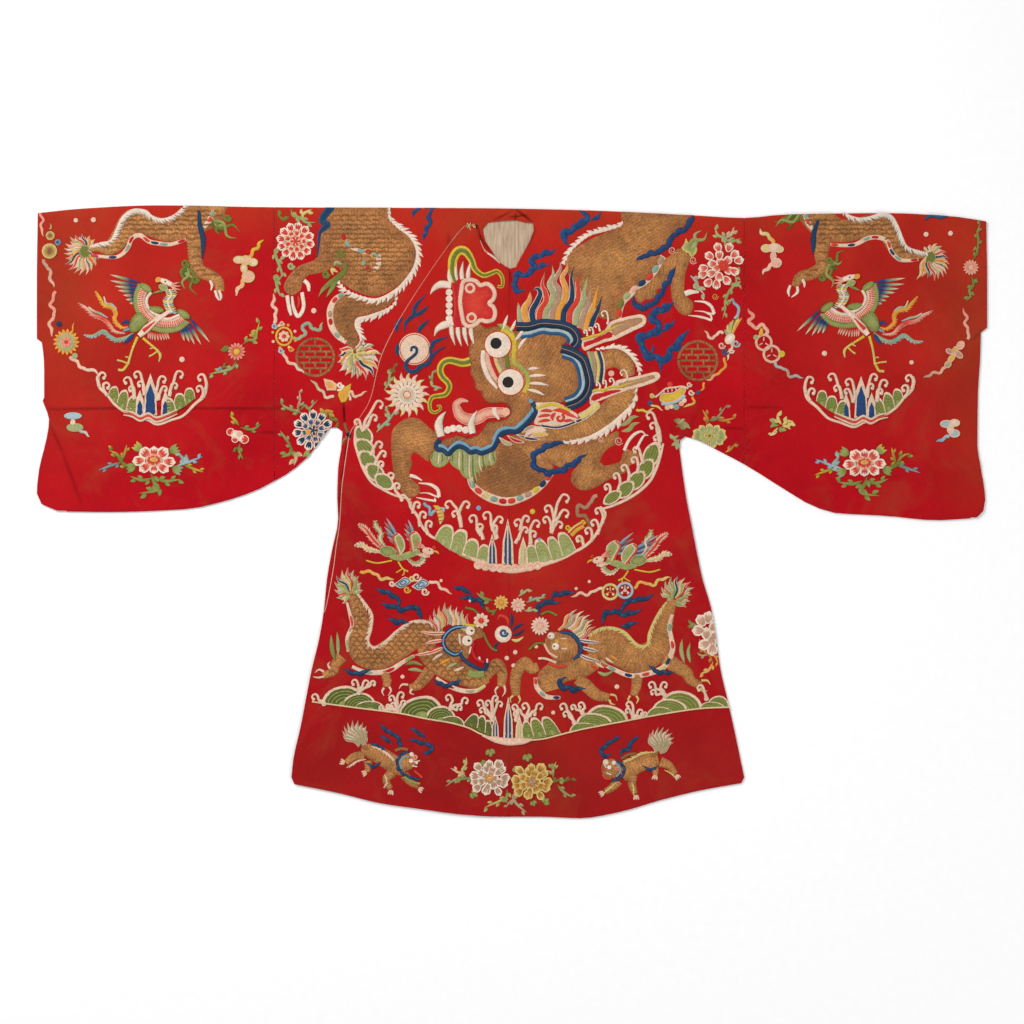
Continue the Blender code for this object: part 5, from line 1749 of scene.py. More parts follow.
def couched_scales(name, ground, threads, wide, high, settings, side=10.0, foot=-10.0):
    """Rows of couched scales over a piece of gold work, to the left of side and above foot, in metres. The
    first of the threads is the painted shadow under each scale.
    """
    mesh = bpy.data.objects[ground].data
    tree = BVHTree.FromPolygons([v.co for v in mesh.vertices], [tuple(p.vertices) for p in mesh.polygons])

    def under(x, y):
        hit = tree.ray_cast(Vector((x, y, ABOVE)), Vector((0, 0, -1)))
        return hit[0].z if hit[0] is not None else None

    places = []
    corners = np.array([v.co for v in mesh.vertices])
    (low_x, low_y, _), (high_x, high_y, _) = corners.min(axis=0), corners.max(axis=0)
    across, down = wide * SQUARE, (0.34 * high + 0.456 * wide) * SQUARE
    for j, y in enumerate(np.arange(low_y, high_y, down)):
        for x in np.arange(low_x + 0.5 * across * (j % 2), high_x, across):
            if x > side or y < foot:
                continue
            sides = ((0, 0), (-0.6, 0), (0.6, 0), (0, -0.9), (0, 0.9))
            around = [under(x + a * across, y + b * down) for a, b in sides]
            if None not in around and max(around) - min(around) < SCALE_BED:
                places.append((x, y, max(around) - SCALE_SUNK))
    gold = finish_of("couched gold")
    set_out(name, places, [0.0] * len(places), scale_arc(gold, threads, wide, high), gold,
            settings.scale_turn, settings.seed)


def edge_stitches(settings):
    """Running stitches beside the hem, the cuffs, the neck, the closing edge and the seams."""
    places, turns = [], []
    for k, node in enumerate(Robe.ORDER):
        panel = Robe.panel(node)
        folds = fold_stretches(panel.rim, panel.under_rim)
        loop = anticlockwise(divided(panel.rim, STITCH_STEP))[:, :2]
        row = inset(loop, STITCH_IN)
        along = np.roll(loop, -1, axis=0) - np.roll(loop, 1, axis=0)
        keep = inside(panel.outline, row[:, 0], row[:, 1])
        keep &= distance_to_outline(loop, row[:, 0], row[:, 1]) > 0.8 * STITCH_IN
        for other in Robe.ORDER[:k]:
            keep &= ~inside(Robe.panel(other).outline, row[:, 0], row[:, 1])
        for a, b in folds:
            keep &= line_distance(row[:, 0], row[:, 1], *a[:2], *b[:2])[0] > 1.5 * STITCH_IN
        height = panel.height(row[:, 0], row[:, 1]) + 0.08 * MM
        places += np.column_stack([row, height])[keep].tolist()
        turns += np.arctan2(along[:, 1], along[:, 0])[keep].tolist()
    floss = finish_of("silk floss")
    set_out("edge_stitches", places, turns, stitch(floss), floss, 0.1, settings.seed)


# ---------------------------------------------------------------- sleeves

def sleeve_gold(gold):
    """Couched hindquarters of the two dragons on the sleeves, and of the one on the right shoulder."""
    gold.band([(84, 253.4), (98, 249.5), (110, 250), (122, 237.5), (133, 222.5), (151, 227.5), (169, 232),
               (187, 225), (203, 216), (214, 205)], [2, 8, 14, 21, 24, 21, 23, 27, 34, 40], "gold",
               "light_gold",
              rows=9, high=0.6)
    gold.band([(194, 236), (195.5, 262), (199, 272), (210, 277), (218, 283), (220, 293)],
              [16, 14, 14, 12, 11, 9], "gold", "light_gold", rows=7, high=0.6)
    gold.shape([(206, 207), (226, 207), (224, 216), (218, 222), (211, 220), (207, 214)], "gold", "light_gold")
    # The right sleeve's
    gold.band([(929, 258), (915, 257), (903, 256), (894, 246), (886, 232), (872, 227), (856, 231), (838, 232),
               (822, 224), (812, 208)], [2, 8, 13, 17, 21, 22, 21, 24, 30, 38], "gold", "light_gold", rows=9,
              high=0.6)
    gold.band([(823, 238), (821, 256), (822, 268), (812, 275), (800, 279), (794, 288)],
              [17, 14, 13, 12, 11, 7], "gold", "light_gold", rows=7, high=0.6)
    # The shoulder's: body, tail and foreleg
    gold.shape([
        (329, 206), (388, 206), (388, 220), (397, 230), (409, 239), (415, 251), (414, 266), (406, 279),
        (394, 290), (376, 298), (358, 294), (345, 287), (339, 281), (341, 273), (335, 268), (328, 272),
        (318, 275), (308, 277), (303, 284), (300, 292), (292, 297), (285, 293), (284, 286), (290, 276),
        (300, 267), (315, 261), (319, 250), (320, 234), (327, 226), (322, 219), (327, 213),
    ], "gold", "light_gold", grain=0, high=0.6)
    gold.shape([
        (351, 297), (366, 300), (380, 302), (394, 298), (391, 305), (382, 311), (369, 316), (357, 319),
        (354, 327), (358, 338), (358, 346), (354, 354), (348, 349), (344, 342), (337, 333), (332, 320),
        (333, 309), (340, 300),
    ], "gold", "dark_gold", grain=40, high=0.55)


def sleeve_dragon(floss, tuft_root, tuft_tips, upper, under, fin, claws, greens, side):
    """The floss parts of a dragon that comes over the top of a sleeve."""
    tuft(floss, tuft_root, tuft_tips, 5, ("coral", "straw", "sage", "orange", "rose", "navy", "cream"),
         level=1)
    tuft(floss, tuft_root, [((2 * tuft_root[0] + x) / 3, (2 * tuft_root[1] + y) / 3) for x, y in tuft_tips],
         4.6, ("leaf", "moss"), level=4)
    fringe(floss, upper, 5.8, "pale_blue", tooth=2.6, side=side, level=3)
    fringe(floss, upper, 4.8, "white", tooth=2.6, side=side, level=4)
    plates(floss, under, ("coral", "cream", "navy", "cream", "teal", "scarlet", "cream", "coral", "navy",
                          "teal", "cream", "scarlet"), 4.2)
    floss.band(fin, [3, 5, 5.5, 4, 0.6], "navy", level=4)
    for path in claws:
        floss.band(path, [2.6, 3, 1], "white", level=4, rows=3)
    for fern_root, fern_tips in greens:
        fern(floss, fern_root, fern_tips)


def left_sleeve(floss):
    """Floss work on the sleeve at the left of the chart."""
    sleeve_dragon(
        floss, (86, 252),
        ((70, 238), (75, 236), (82, 235), (90, 237), (95, 241), (65, 245), (64, 250), (64, 255), (65, 260),
         (64, 266), (68, 272), (74, 275), (79, 277), (86, 277), (91, 273), (96, 268), (99, 262)),
        [(84, 249.5), (99, 244), (110, 241.5), (116, 231), (122, 219), (133, 211), (146, 212), (152, 217),
         (161, 220), (172, 217), (181, 210), (185, 205)],
        [(90, 257), (113, 259), (122, 256), (128, 249), (132, 240), (140, 237), (149, 243), (158, 245),
         (170, 246), (181, 243), (186, 241)],
        [(199, 212), (200, 228), (203, 240), (203, 250), (202, 261)],
        ([(210, 282), (212, 287), (211, 292)], [(215, 292), (217, 298), (219, 302)],
         [(219, 292), (221, 298), (220, 302)]),
        (((213, 222), ((240, 234), (237, 240), (227, 240), (220, 236), (226, 232))),
         ((186, 268), ((179, 286), (185, 291), (190, 292), (198, 297), (192, 286), (183, 279)))), 1)
    plates(floss, [(213, 212), (210, 221), (204, 229)], ("teal", "coral", "cream"), 5)
    for x, y, r in ((228, 219.7, 3.6), (185.5, 265, 4.2), (195.5, 281, 4)):
        curl(floss, x, y, r, 2.4, "moss", turns=1.4, level=4)
    phoenix(floss, 150, 322)
    sleeve_waves(floss, 150.5)
    sleeve_peony(floss, 154, 461.8)
    # Ribbons, discs and the sun wheel down the edge
    for path, width, threads in (
        ([(40, 214), (43, 222), (41, 229), (44, 238)], 3, ["pink", "rose"]),
        ([(44, 261), (46, 268), (50, 271), (50, 278), (54, 289)], 4, ["taupe", "rose"]),
        ([(56, 293), (51, 306), (55, 315), (50, 325), (53, 338)], 4, ["pink", "rose"]),
        ([(70, 358), (77, 364), (84, 371), (91, 371), (99, 376)], 4, ["rose", "cream"]),
        ([(72, 334), (73, 329), (74, 324)], 2, "orange"), ([(50, 231), (51, 228), (51, 225)], 2, "sage"),
    ):
        ribbon(floss, path, width, threads)
    floss.disc(50.3, 237.3, 4.4, "straw", "dark_gold", level=2)
    floss.disc(57.8, 244, 3, "sky", "navy", level=2)
    floss.disc(49.5, 252.7, 7.6, "straw", "dark_gold", level=2)
    daisy(floss, 66.4, 343.6, 13.5, 17, "orange", "orange")
    floss.disc(66.4, 343.6, 9, "sage", level=5)
    daisy(floss, 66.4, 343.6, 6, 6, "pink", "coral", level=7)
    floss.disc(59, 325.5, 2.8, "navy", level=3)
    floss.disc(75, 357.5, 3, "sage", level=3)
    # Clouds and flowers
    for x, y, long, short, thread in (
        (239, 261.5, 5.4, 3.4, "cream"), (246, 262, 5.6, 4.4, "rose"), (253, 264, 4.4, 3.6, "cream"),
        (244, 270, 3, 4.4, "cream"), (248.3, 278.3, 6, 5.6, "rose"), (73, 417.5, 9, 3.6, "pale_blue"),
        (75, 429, 8.5, 4.4, "sage"), (73, 424, 2.6, 3.6, "cream"),
    ):
        oval(floss, x, y, long, short, 0, thread, level=2, edge="straw" if x > 200 else None)
    ribbon(floss, [(249, 259), (254, 252), (258, 248), (263, 241)], 4.4, ["orange", "yellow"])
    ribbon(floss, [(245, 281), (241, 287), (235, 297)], 5, ["orange", "cream"], level=1)
    ribbon(floss, [(79, 431), (84, 434), (90, 438)], 3.4, ["pale_blue", "cream"])
    for x, y, r in ((76, 222, 2.2), (93.5, 221.5, 2.5), (182, 361, 2.7)):
        floss.disc(x, y, r, "cream")
    daisy(floss, 236.6, 353.2, 9, 14, ["coral", "rose"], "yellow")
    sprig(floss, (
        ([(243, 346), (248, 342), (255, 341), (257, 333), (260, 322)], 4.5, ["moss", "leaf", "yellow"]),
        ([(255, 341), (252, 334), (255, 331)], 3.4, ["leaf", "yellow"]),
        ([(231, 352), (226, 349), (222, 351)], 6, "moss"),
        ([(237, 361), (233, 369), (226, 372), (217, 374), (208, 376)], 4.5, ["moss", "sage", "leaf"]),
        ([(229, 371), (224, 367), (227, 364)], 3.4, "moss"), ([(222, 373), (220, 369), (219, 373)], 3, "sky"),
        ([(239, 427), (235, 422), (230, 417)], 4.5, ["moss", "yellow"]),
        ([(240, 429), (252, 431), (261, 426)], 4, ["moss", "leaf"]),
        ([(240, 445), (239, 452), (243, 461)], 4, ["moss", "leaf"]),
        ([(239, 450), (235, 450), (233, 454)], 3, "moss"),
    ))
    for x, y, r, thread in ((230.5, 433.5, 3.6, "coral"), (235, 436, 3.8, "white"), (239, 436.5, 3.8, "rose"),
                            (244.5, 441, 4, "coral"), (235, 441, 3, "coral"), (241, 440, 2.8, "white")):
        floss.disc(x, y, r, thread, level=3, edge="white", edge_width=0.9)


def right_sleeve(floss):
    """Floss work on the sleeve at the right of the chart."""
    sleeve_dragon(
        floss, (929, 257),
        ((916, 281), (921, 279), (927, 280), (934, 283), (938, 281), (943, 279), (946, 276), (948, 271),
         (949, 266), (948, 260), (946, 254), (942, 248), (937, 245), (930, 246), (924, 248)),
        [(838, 207), (847, 215), (858, 219), (870, 218), (882, 214), (892, 218), (898, 228), (903, 240),
         (908, 248), (920, 252), (930, 254)],
        [(830, 246), (841, 247), (855, 246), (867, 240), (878, 239), (887, 243), (891, 253), (899, 261),
         (910, 262), (918, 261)],
        [(818, 222), (814, 233), (813, 243), (813, 250), (812, 256)],
        ([(790, 287), (788, 293), (789, 298)], [(797, 288), (797, 294), (791, 299)],
         [(802, 281), (804, 285), (804, 289)]),
        (((799, 216), ((773, 223), (775, 229), (784, 231), (790, 228), (781, 219))),
         ((828, 268), ((845, 252), (842, 262), (838, 272), (833, 280), (831, 290)))), 1)
    plates(floss, [(804, 216), (808, 225), (812, 231)], ("teal", "coral", "cream"), 5)
    for x, y, r in ((829.5, 262, 3.6), (822, 279, 3.6)):
        curl(floss, x, y, r, 2.4, "moss", turns=1.4, level=4)
    phoenix(floss, 859, 319.5, flip=True, turn=-8)
    sleeve_waves(floss, 860.6, 2.5, flip=True)
    sleeve_peony(floss, 864, 464.5, flip=True)
    floss.band([(924, 221), (932, 217), (940, 219), (947, 217)], [2, 4, 4, 2], "navy", "blue", level=2)
    for x, y, r in ((925.5, 236, 2.4), (950, 235, 2.4), (824, 355, 2.6), (911, 364, 2.2)):
        floss.disc(x, y, r, "cream")
    # Cloud, rings and ribbons towards the body
    for x, y, long, short, thread in (
        (766, 250, 5, 3.6, "straw"), (774, 249.5, 6.6, 4, "cream"), (779, 251, 4, 3, "straw"),
        (773, 258, 2.6, 4.4, "rose"), (776, 264.5, 5, 4.4, "rose"), (946, 425.5, 6, 3.4, "pale_blue"),
        (954, 424.5, 5, 3.4, "cream"), (950, 431, 3, 4, "cream"), (954, 435, 5, 3.6, "pale_blue"),
    ):
        oval(floss, x, y, long, short, 0, thread, level=2, edge="cream")
    ribbon(floss, [(773, 246), (770, 239), (763, 235), (759, 231)], 4.6, ["orange", "straw", "cream"])
    ribbon(floss, [(773, 266), (767, 270), (762, 276)], 4.6, ["rose", "cream"])
    ribbon(floss, [(949, 438), (943, 440), (936, 444)], 4, ["pale_blue", "sky"])
    ribbon(floss, [(766, 336), (766, 330), (762, 327), (754, 329), (749, 324), (752, 318), (748, 310)], 4.4,
           ["rose", "pink"])
    tassel_ring(floss, 763.5, 344, 7.6, "rose")
    tassel_ring(floss, 771.5, 355.5, 8, "rose")
    floss.blade([(759, 338), (761, 334), (761, 329)], 4.5, ["orange", "yellow"], level=3)
    floss.disc(781.5, 355.5, 3.2, "yellow", level=2)
    floss.disc(755.5, 339, 2.6, "sage", level=2)
    ribbon(floss, [(775, 364), (778, 369), (786, 371), (788, 377), (796, 378), (803, 379)], 3.6,
           ["pale_blue", "taupe", "pale_blue"])
    # Flower and ribbons along the cuff
    daisy(floss, 970.5, 269, 8, 14, ["pink", "rose"], "rose")
    sprig(floss, (
        ([(972, 262), (977, 254), (975, 250), (972, 253)], 3.6, ["moss", "leaf"]),
        ([(976, 256), (978, 243), (977, 234), (980, 224)], 3.6, ["moss", "leaf"]),
        ([(971, 277), (973, 286), (969, 292), (970, 298), (965, 303)], 4.4, ["moss", "leaf"]),
        ([(973, 285), (977, 283), (975, 279)], 3, "moss"),
        ([(770, 429), (773, 427), (779, 427)], 5, "leaf"), ([(781, 426), (778, 421), (777, 415)], 5, "straw"),
        ([(782, 427), (787, 423), (793, 423)], 5, "straw"), ([(782, 428), (787, 428), (790, 431)], 5,
                                                             "straw"),
        ([(781, 428), (780, 432), (785, 432)], 5, "leaf"), ([(778, 429), (774, 433), (770, 437)], 3, "straw"),
        ([(775, 426), (773, 421), (771, 420)], 4, "sage"), ([(769, 437), (773, 436), (777, 434)], 2.4,
                                                            "cream"),
    ))
    ribbon(floss, [(967, 341), (968, 333), (965, 326), (966, 318), (962, 310)], 3.6, ["rose", "pink"])
    for x, y, long, short, turn, thread in (
        (960, 347, 4.4, 3.4, -50, "rose"), (954.5, 352, 4.4, 2.4, -60, "yellow"),
        (958, 356, 5, 2.6, 40, "taupe"), (951, 360, 4.4, 2.4, -50, "yellow"),
        (947.5, 366, 3.6, 2.8, -50, "sage"), (949, 353, 3.6, 2.2, 30, "taupe"),
    ):
        oval(floss, x, y, long, short, turn, thread, level=2, edge="rose")
    ribbon(floss, [(945, 369), (939, 374), (932, 375), (923, 380)], 3.6, ["rose", "taupe"])


# ---------------------------------------------------------------- shoulders

LOTUS = [  # how many petals, how far out, long, short, rim, heart, turn
    (11, 15.5, 5.4, 4.2, "white", "navy", 8), (8, 9, 4.2, 3.4, "cream", "blue", 30),
    (5, 3.6, 3.4, 2, "cream", "navy", 0),
]
ROSETTE = [
    (12, 14.5, 5, 4, "white", "coral", 10), (9, 8.5, 4, 3, "cream", "coral", 0),
    (6, 3.8, 3.4, 2, "cream", "coral", 0),
]


def left_shoulder(floss):
    """Floss work between the left sleeve and the closing edge."""
    bloom(floss, 295.4, 243, ROSETTE, (2, "coral", None))
    sprig(floss, (
        ([(291, 211), (293, 217), (301, 220), (306, 224), (316, 224)], 4.6, ["leaf", "sage"]),
        ([(303, 221), (303, 216), (308, 213), (312, 211)], 4.6, "straw"),
        ([(280, 219), (284, 222), (277, 216)], 5, "moss"), ([(299, 222), (297, 226), (299, 229)], 3, "leaf"),
        ([(280, 247), (275, 252), (277, 261), (280, 269), (282, 277), (278, 281)], 4.4, ["leaf", "sage"]),
        ([(275, 279), (277, 288), (280, 298)], 4.6, ["leaf", "sage"]),
        ([(278, 262), (283, 260), (286, 257)], 3, "sage"),
    ))
    curl(floss, 276.5, 279, 3.6, 2.2, "leaf")
    curl(floss, 291, 267.5, 3.6, 2.4, "sage")
    # Dragon: fins, fringe, plates, tuft and claws
    floss.band([(332, 208), (326, 215), (322, 222), (327, 227), (320, 234), (318.5, 246), (316.5, 259)],
               [8, 8, 7, 8, 4, 2.4, 1], "blue", "navy", level=3)
    for path, side in (
        ([(388, 208), (388, 220), (397, 230), (409, 239), (416, 252), (414, 267), (406, 280), (394, 292),
          (376, 300), (358, 296), (346, 290), (339, 282)], 1),
        ([(396, 298), (392, 306), (382, 312), (369, 317), (357, 320), (355, 328), (359, 338), (359, 346),
          (355, 356)], 1),
    ):
        fringe(floss, path, 6.6, "white", tooth=4.4, side=-side, level=3)
    plates(floss, [(342, 235), (346, 244), (353, 250), (362, 253), (371, 254), (378, 259), (378, 267),
                   (371, 272), (365, 268), (363, 261)],
           ("scarlet", "teal", "cream", "teal", "scarlet", "teal", "cream", "cream", "scarlet", "teal"), 6.5)
    plates(floss, [(344, 295), (335, 301), (330.5, 310), (330, 319), (332, 329), (338, 338), (346, 344)],
           ("teal", "coral", "cream", "taupe", "scarlet", "cream", "teal", "cream"), 6)
    tuft(floss, (355, 354),
         ((339, 350), (338, 357), (337, 364), (339, 373), (345, 377), (351, 380), (357, 381), (366, 382),
          (374, 379), (378, 372), (379, 364), (381, 356), (374, 347), (365, 341)), 7.5,
         ("cream", "coral", "straw", "navy", "sage", "orange", "taupe"), level=1, rim="white")
    tuft(floss, (355, 354), ((344, 352), (346, 361), (354, 366), (363, 364), (367, 356), (364, 348)), 6,
         ("leaf", "straw"), level=4)
    for path, width in (
        ([(304, 282), (308, 286), (309, 293)], 4), ([(302, 294), (303.5, 309), (298, 318), (293.5, 309),
                                                     (292, 298)], 3.8),
        ([(287, 297), (289, 309), (291, 317)], 3.8),
    ):
        floss.band(path, [width, width, width, 0.6 * width], "white", level=4)
    floss.blade([(298, 297), (299, 304), (297, 311)], 3, "coral", level=3)
    for x, y, r in ((340.7, 255.5, 3.8), (326, 276, 3.8)):
        curl(floss, x, y, r, 2.4, "moss", turns=1.4, level=4)
    sprig(floss, (
        ([(345, 262), (345, 272), (338, 279), (330, 285), (323, 291), (318, 299)], 6.5,
         ["moss", "moss", "leaf"]),
        ([(337, 279), (333, 288), (326, 299)], 5, ["moss", "leaf"]),
        ([(342, 266), (336, 264), (334, 268)], 4, "sage"), ([(338, 274), (332, 271), (333, 277)], 4, "straw"),
    ), level=4, leaves=False)
    # Wheel and ribbons
    floss.disc(313.7, 312.3, 2.6, "cream")
    ribbon(floss, [(274, 325), (276, 314), (273, 306), (274.5, 295)], 4, ["cream", "rose"])
    ribbon(floss, [(293, 339), (300, 340), (305, 334), (302, 327), (310, 326), (313, 331), (319, 331),
                   (323, 324)],
           4, ["sage", "teal", "sage"])
    ribbon(floss, [(283, 353), (287, 362), (295, 367), (304, 375)], 3.6, ["rose", "cream"])
    ring = [(284 + 7.8 * cos(a), 338 + 8.8 * sin(a)) for a in np.linspace(0, tau, 13)[:-1]]
    floss.band(ring, 2.2, "orange", "yellow", level=3, closed=True)
    daisy(floss, 284, 338, 6, 7, ["cream", "rose"], "coral", level=2)
    for k in range(8):
        (bx, by), = turned(284, 338, [(12, 0)], turn=45 * k + 20)
        floss.disc(bx, by, 1.5, "cream" if k % 2 else "orange")
    for x, y, r, thread in ((274.5, 327.5, 3, "pale_blue"), (282, 325, 2.6, "rose"),
                            (291, 350.5, 2.8, "orange"), (281, 352, 3, "pale_blue")):
        curl(floss, x, y, r, 1.8, thread)
    # Ingot emblem
    floss.shape([(323.5, 380), (332, 382), (337, 386), (336, 392), (327, 392), (325, 387)], "cream", "orange",
                level=2, straight=True)
    floss.shape([(339, 390), (346, 388), (351, 385), (350, 393), (346, 403), (341, 404), (338, 397)],
                "yellow", "orange", level=2, straight=True)
    curl(floss, 340, 386.5, 3, 2, "white", level=4)
    floss.band([(337, 392), (341, 391), (344, 387)], 2, "white", level=4)
    ribbon(floss, [(334, 398), (327, 399), (322, 393), (317, 388), (311, 381)], 3.4, ["cream", "sage"])
    ribbon(floss, [(350, 402), (349, 396), (352, 393), (355, 399), (360, 396), (367, 393)], 3,
           ["cream", "rose"])
    # Blue lotus with its leaves
    bloom(floss, 313, 432, LOTUS, (1.6, "navy", None))
    floss.disc(308, 433.5, 2.6, "orange", level=9)
    sprig(floss, (
        ([(301, 416), (298, 409), (300, 401), (299, 392)], 3.6, ["moss", "taupe", "cream"]),
        ([(301, 415), (294, 412), (286, 409), (280, 404)], 4.4, ["moss", "sage"]),
        ([(300, 412), (305, 407), (309, 410), (318, 401)], 4, ["moss", "sage"]),
        ([(293, 452), (287, 442), (284, 438), (280, 432)], 4, ["moss", "sage"]),
        ([(291, 448), (290, 455), (281, 459)], 5.5, ["moss", "leaf"]),
        ([(292, 453), (296, 458), (294, 467)], 6, ["leaf", "rose"]),
        ([(310, 451), (306, 455), (303, 459)], 6, "leaf"), ([(327, 419), (326, 413), (334, 413)], 6,
                                                            ["moss", "orange"]),
                                                            ([(329, 418), (332, 421), (332, 423)], 5, "moss"),
                                                            ([(335, 429), (337, 427), (339, 428)], 3, "moss"),
    ))


def right_shoulder(floss):
    """Floss work from the great dragon's back to the right sleeve, and the frayed edge below the neck."""
    floss.band([(480, 242), (483, 249.5), (486, 253.5), (490, 256.5), (494.5, 259.6), (499.7, 265)],
               [0.4, 0.7, 1.3, 2.2, 2.4, 0.8], ["rose", "cream", "white", "cream", "rose"], level=2, rows=3)
    for path, width in (
        ([(579, 212), (585, 216), (584, 224), (573, 230), (566, 236), (564, 243), (570, 247)], 7),
        ([(601, 213), (597, 219), (590, 223)], 7),
        ([(556, 250), (549, 255), (539, 257), (532, 262), (534, 270), (527, 276), (518, 277), (514, 285),
          (519, 293), (526, 292)], 5.5),
        ([(550, 266), (542, 268), (535, 272)], 5),
        ([(676, 302), (670, 306), (666, 311), (658, 311), (653, 318), (657, 326), (658, 334), (650, 335),
          (642, 339), (641, 347), (646, 355), (656, 360), (666, 360), (672, 351), (680, 342), (689, 331)], 7),
        ([(675, 321), (668, 329), (659, 334)], 5.5), ([(654, 346), (652, 352), (650, 356)], 5),
        ([(661, 361), (660, 374)], 6), ([(434, 209), (429, 216), (430, 224), (426, 232), (423, 243)], 4),
        ([(422, 208), (415, 213), (412, 220)], 3.4), ([(440, 208), (430, 209), (421, 208)], 3.4),
    ):
        cloud(floss, path, 1.2 * width, "royal", "blue", level=1)
    # Peony
    for x, y, turn in (
        (717.6, 249, -110), (728.8, 249, -70), (709, 257.5, -150), (734.4, 256, -40), (738.6, 262, -10),
        (703, 270, 170), (702.5, 276, 150), (707.8, 284.4, 130), (716.2, 286, 90), (726.5, 282, 60),
        (734, 273, 30), (719, 256.5, -90), (712, 265.5, 180), (727.5, 262, -45), (711, 275, 160),
        (719, 278.5, 90), (728, 272, 20), (720, 264, -100), (716, 270, 140),
    ):
        petal(floss, x, y, 5, 4.2, turn, "white", ["coral", "pink"], level=3)
    daisy(floss, 723.2, 267.4, 6, 9, "coral", "coral", level=6)
    sprig(floss, (
        ([(724, 248), (725, 240), (718, 237), (714, 229)], 4.6, ["sage", "sage", "straw"]),
        ([(724, 240), (731, 236), (734, 228)], 4.6, ["sage", "rose"]),
        ([(725, 241), (732, 243), (741, 240)], 4.6, ["sage", "leaf"]),
        ([(734, 275), (736, 284), (729, 293), (725, 303), (725, 311), (722, 321)], 4,
         ["sage", "leaf", "sage"]), ([(733, 288), (739, 287), (741, 291)], 4, "sage"),
         ([(737, 277), (739, 272), (738, 268)], 4, "leaf"),
        ([(690, 277), (696, 283), (698, 289), (705, 297)], 5, ["pale_blue", "sage", "cream"]),
        ([(701, 288), (696, 290), (693, 288)], 4, "sage"), ([(726, 304), (730, 302), (729, 306)], 3, "sage"),
    ))
    curl(floss, 715, 298, 3.4, 0.8, "orange", turns=1.5)
    # Brush-like flame emblem with its ribbons
    for dx, dy, thread in ((-4, -14, "straw"), (-1, -17, "sage"), (2, -19, "straw"), (5, -20, "dark_gold"),
                           (8, -21, "straw"), (11, -21, "orange"), (-7, -9, "sage")):
        floss.blade([(729.5, 340), (730 + 0.5 * dx, 339 + 0.55 * dy), (731 + dx, 340 + dy)], 4, thread,
                    level=3)
    oval(floss, 729.5, 340.5, 6, 4.6, -50, "cream", "white", level=5)
    for path, width, threads in (
        ([(734, 320), (739, 313), (736, 307), (732, 300)], 3.4, ["pale_blue", "sky"]),
        ([(723, 335), (718, 334), (713, 340), (709, 338), (704, 332)], 3.4, ["cream", "rose"]),
        ([(724, 359), (725, 366), (722, 372), (717, 375), (711, 380), (706, 382)], 3.2,
         ["orange", "orange", "rose"]),
        ([(733, 342), (731, 350), (728, 356), (727, 362)], 3, ["rose", "white"]),
        ([(704, 384), (703, 389), (700, 393)], 2.6, "orange"),
        ([(636, 411), (641, 412), (647, 413), (654, 410)], 3, ["yellow", "straw"]),
        ([(650, 406), (656, 408), (663, 412)], 2.4, "straw"),
        ([(692, 398), (694, 403), (689, 407), (683, 408)], 2.8, ["orange", "straw"]),
    ):
        ribbon(floss, path, width, threads, level=2)
    for x, y, r, thread in ((721.5, 347, 3.6, "rose"), (736, 345, 4, "pale_blue"),
                            (724.7, 353.5, 3.6, "blue"), (731, 352, 3, "cream"), (652, 397, 2.4, "straw"),
                            (689, 386, 2.6, "cream"), (691, 394, 3, "cream")):
        curl(floss, x, y, r, 1.7, thread, level=3)
    # Basket emblem
    floss.shape([(660, 402), (661, 396), (666, 395), (674, 394), (681, 389), (685, 390), (684, 395),
                 (677, 401), (668, 404)], "orange", "yellow", level=3, edge="cream", edge_width=0.9)
    floss.band([(655, 399), (661, 394), (666, 390), (674, 389), (682, 388), (688, 390)], 1.8, "cream",
               level=4)
    for k in range(5):
        floss.band([(664 + 4 * k, 395 - k), (663.5 + 4 * k, 391 - 0.4 * k)], 1.2, "cream", level=5, rows=3)
    floss.band([(661, 405.5), (670, 405), (678, 402), (685, 397)], 3, "pale_blue", level=4)
    for x, y, r, thread in ((667, 409, 2.6, "rose"), (671, 408, 2.4, "cream"), (676, 408.5, 3, "teal"),
                            (681, 405, 2.6, "rose"), (684, 402, 2.4, "cream"), (649.7, 404.6, 2.4, "blue"),
                            (697.6, 394, 2, "blue"), (669.6, 386, 2.8, "coral")):
        floss.disc(x, y, r, thread, level=3)
    # Olive peony by the armpit
    bloom(floss, 709, 437.5, (
        (11, 13, 4.8, 3.6, "straw", ["leaf", "sage"], 8), (8, 7.6, 4, 3, "sage", ["leaf", "straw"], 25),
        (4, 3, 3, 2.2, "straw", "leaf", 10),
    ), (2.2, "straw", "brown"), level=3, squash=0.6)
    sprig(floss, (
        ([(706, 427), (707, 420), (702, 411)], 4.4, ["brown", "orange"]),
        ([(708, 422), (716, 420), (727, 406)], 4, ["moss", "taupe"]),
        ([(716, 421), (724, 422), (736, 419)], 4, ["dark_gold", "orange"]),
        ([(690, 430), (683, 425), (675, 429)], 7, ["sage", "dark_gold"]),
        ([(683, 428), (682, 422), (685, 421)], 5, "sage"), ([(679, 441), (675, 445), (671, 447)], 6, "sage"),
        ([(677, 443), (674, 440), (679, 437)], 5, "sage"), ([(725, 454), (731, 450), (737, 443)], 4,
                                                            ["orange", "dark_gold"]),
    ))
    # Sprigs round the sun flower
    sprig(floss, (
        ([(384, 392), (389, 384), (390, 376), (396, 372)], 4.5, ["sage", "leaf"]),
        ([(390, 378), (394, 370), (394, 366)], 4, "dark_gold"),
        ([(442, 390), (434, 388), (430, 386)], 4, "sage"), ([(432, 385), (432, 378), (433, 372)], 3.6,
                                                            ["moss", "sage"]),
        ([(376, 434), (383, 427), (390, 420), (397, 409)], 4.5, ["sage", "teal"]),
        ([(388, 423), (388, 414), (384, 411)], 4, "sage"),
    ))


# ---------------------------------------------------------------- skirt

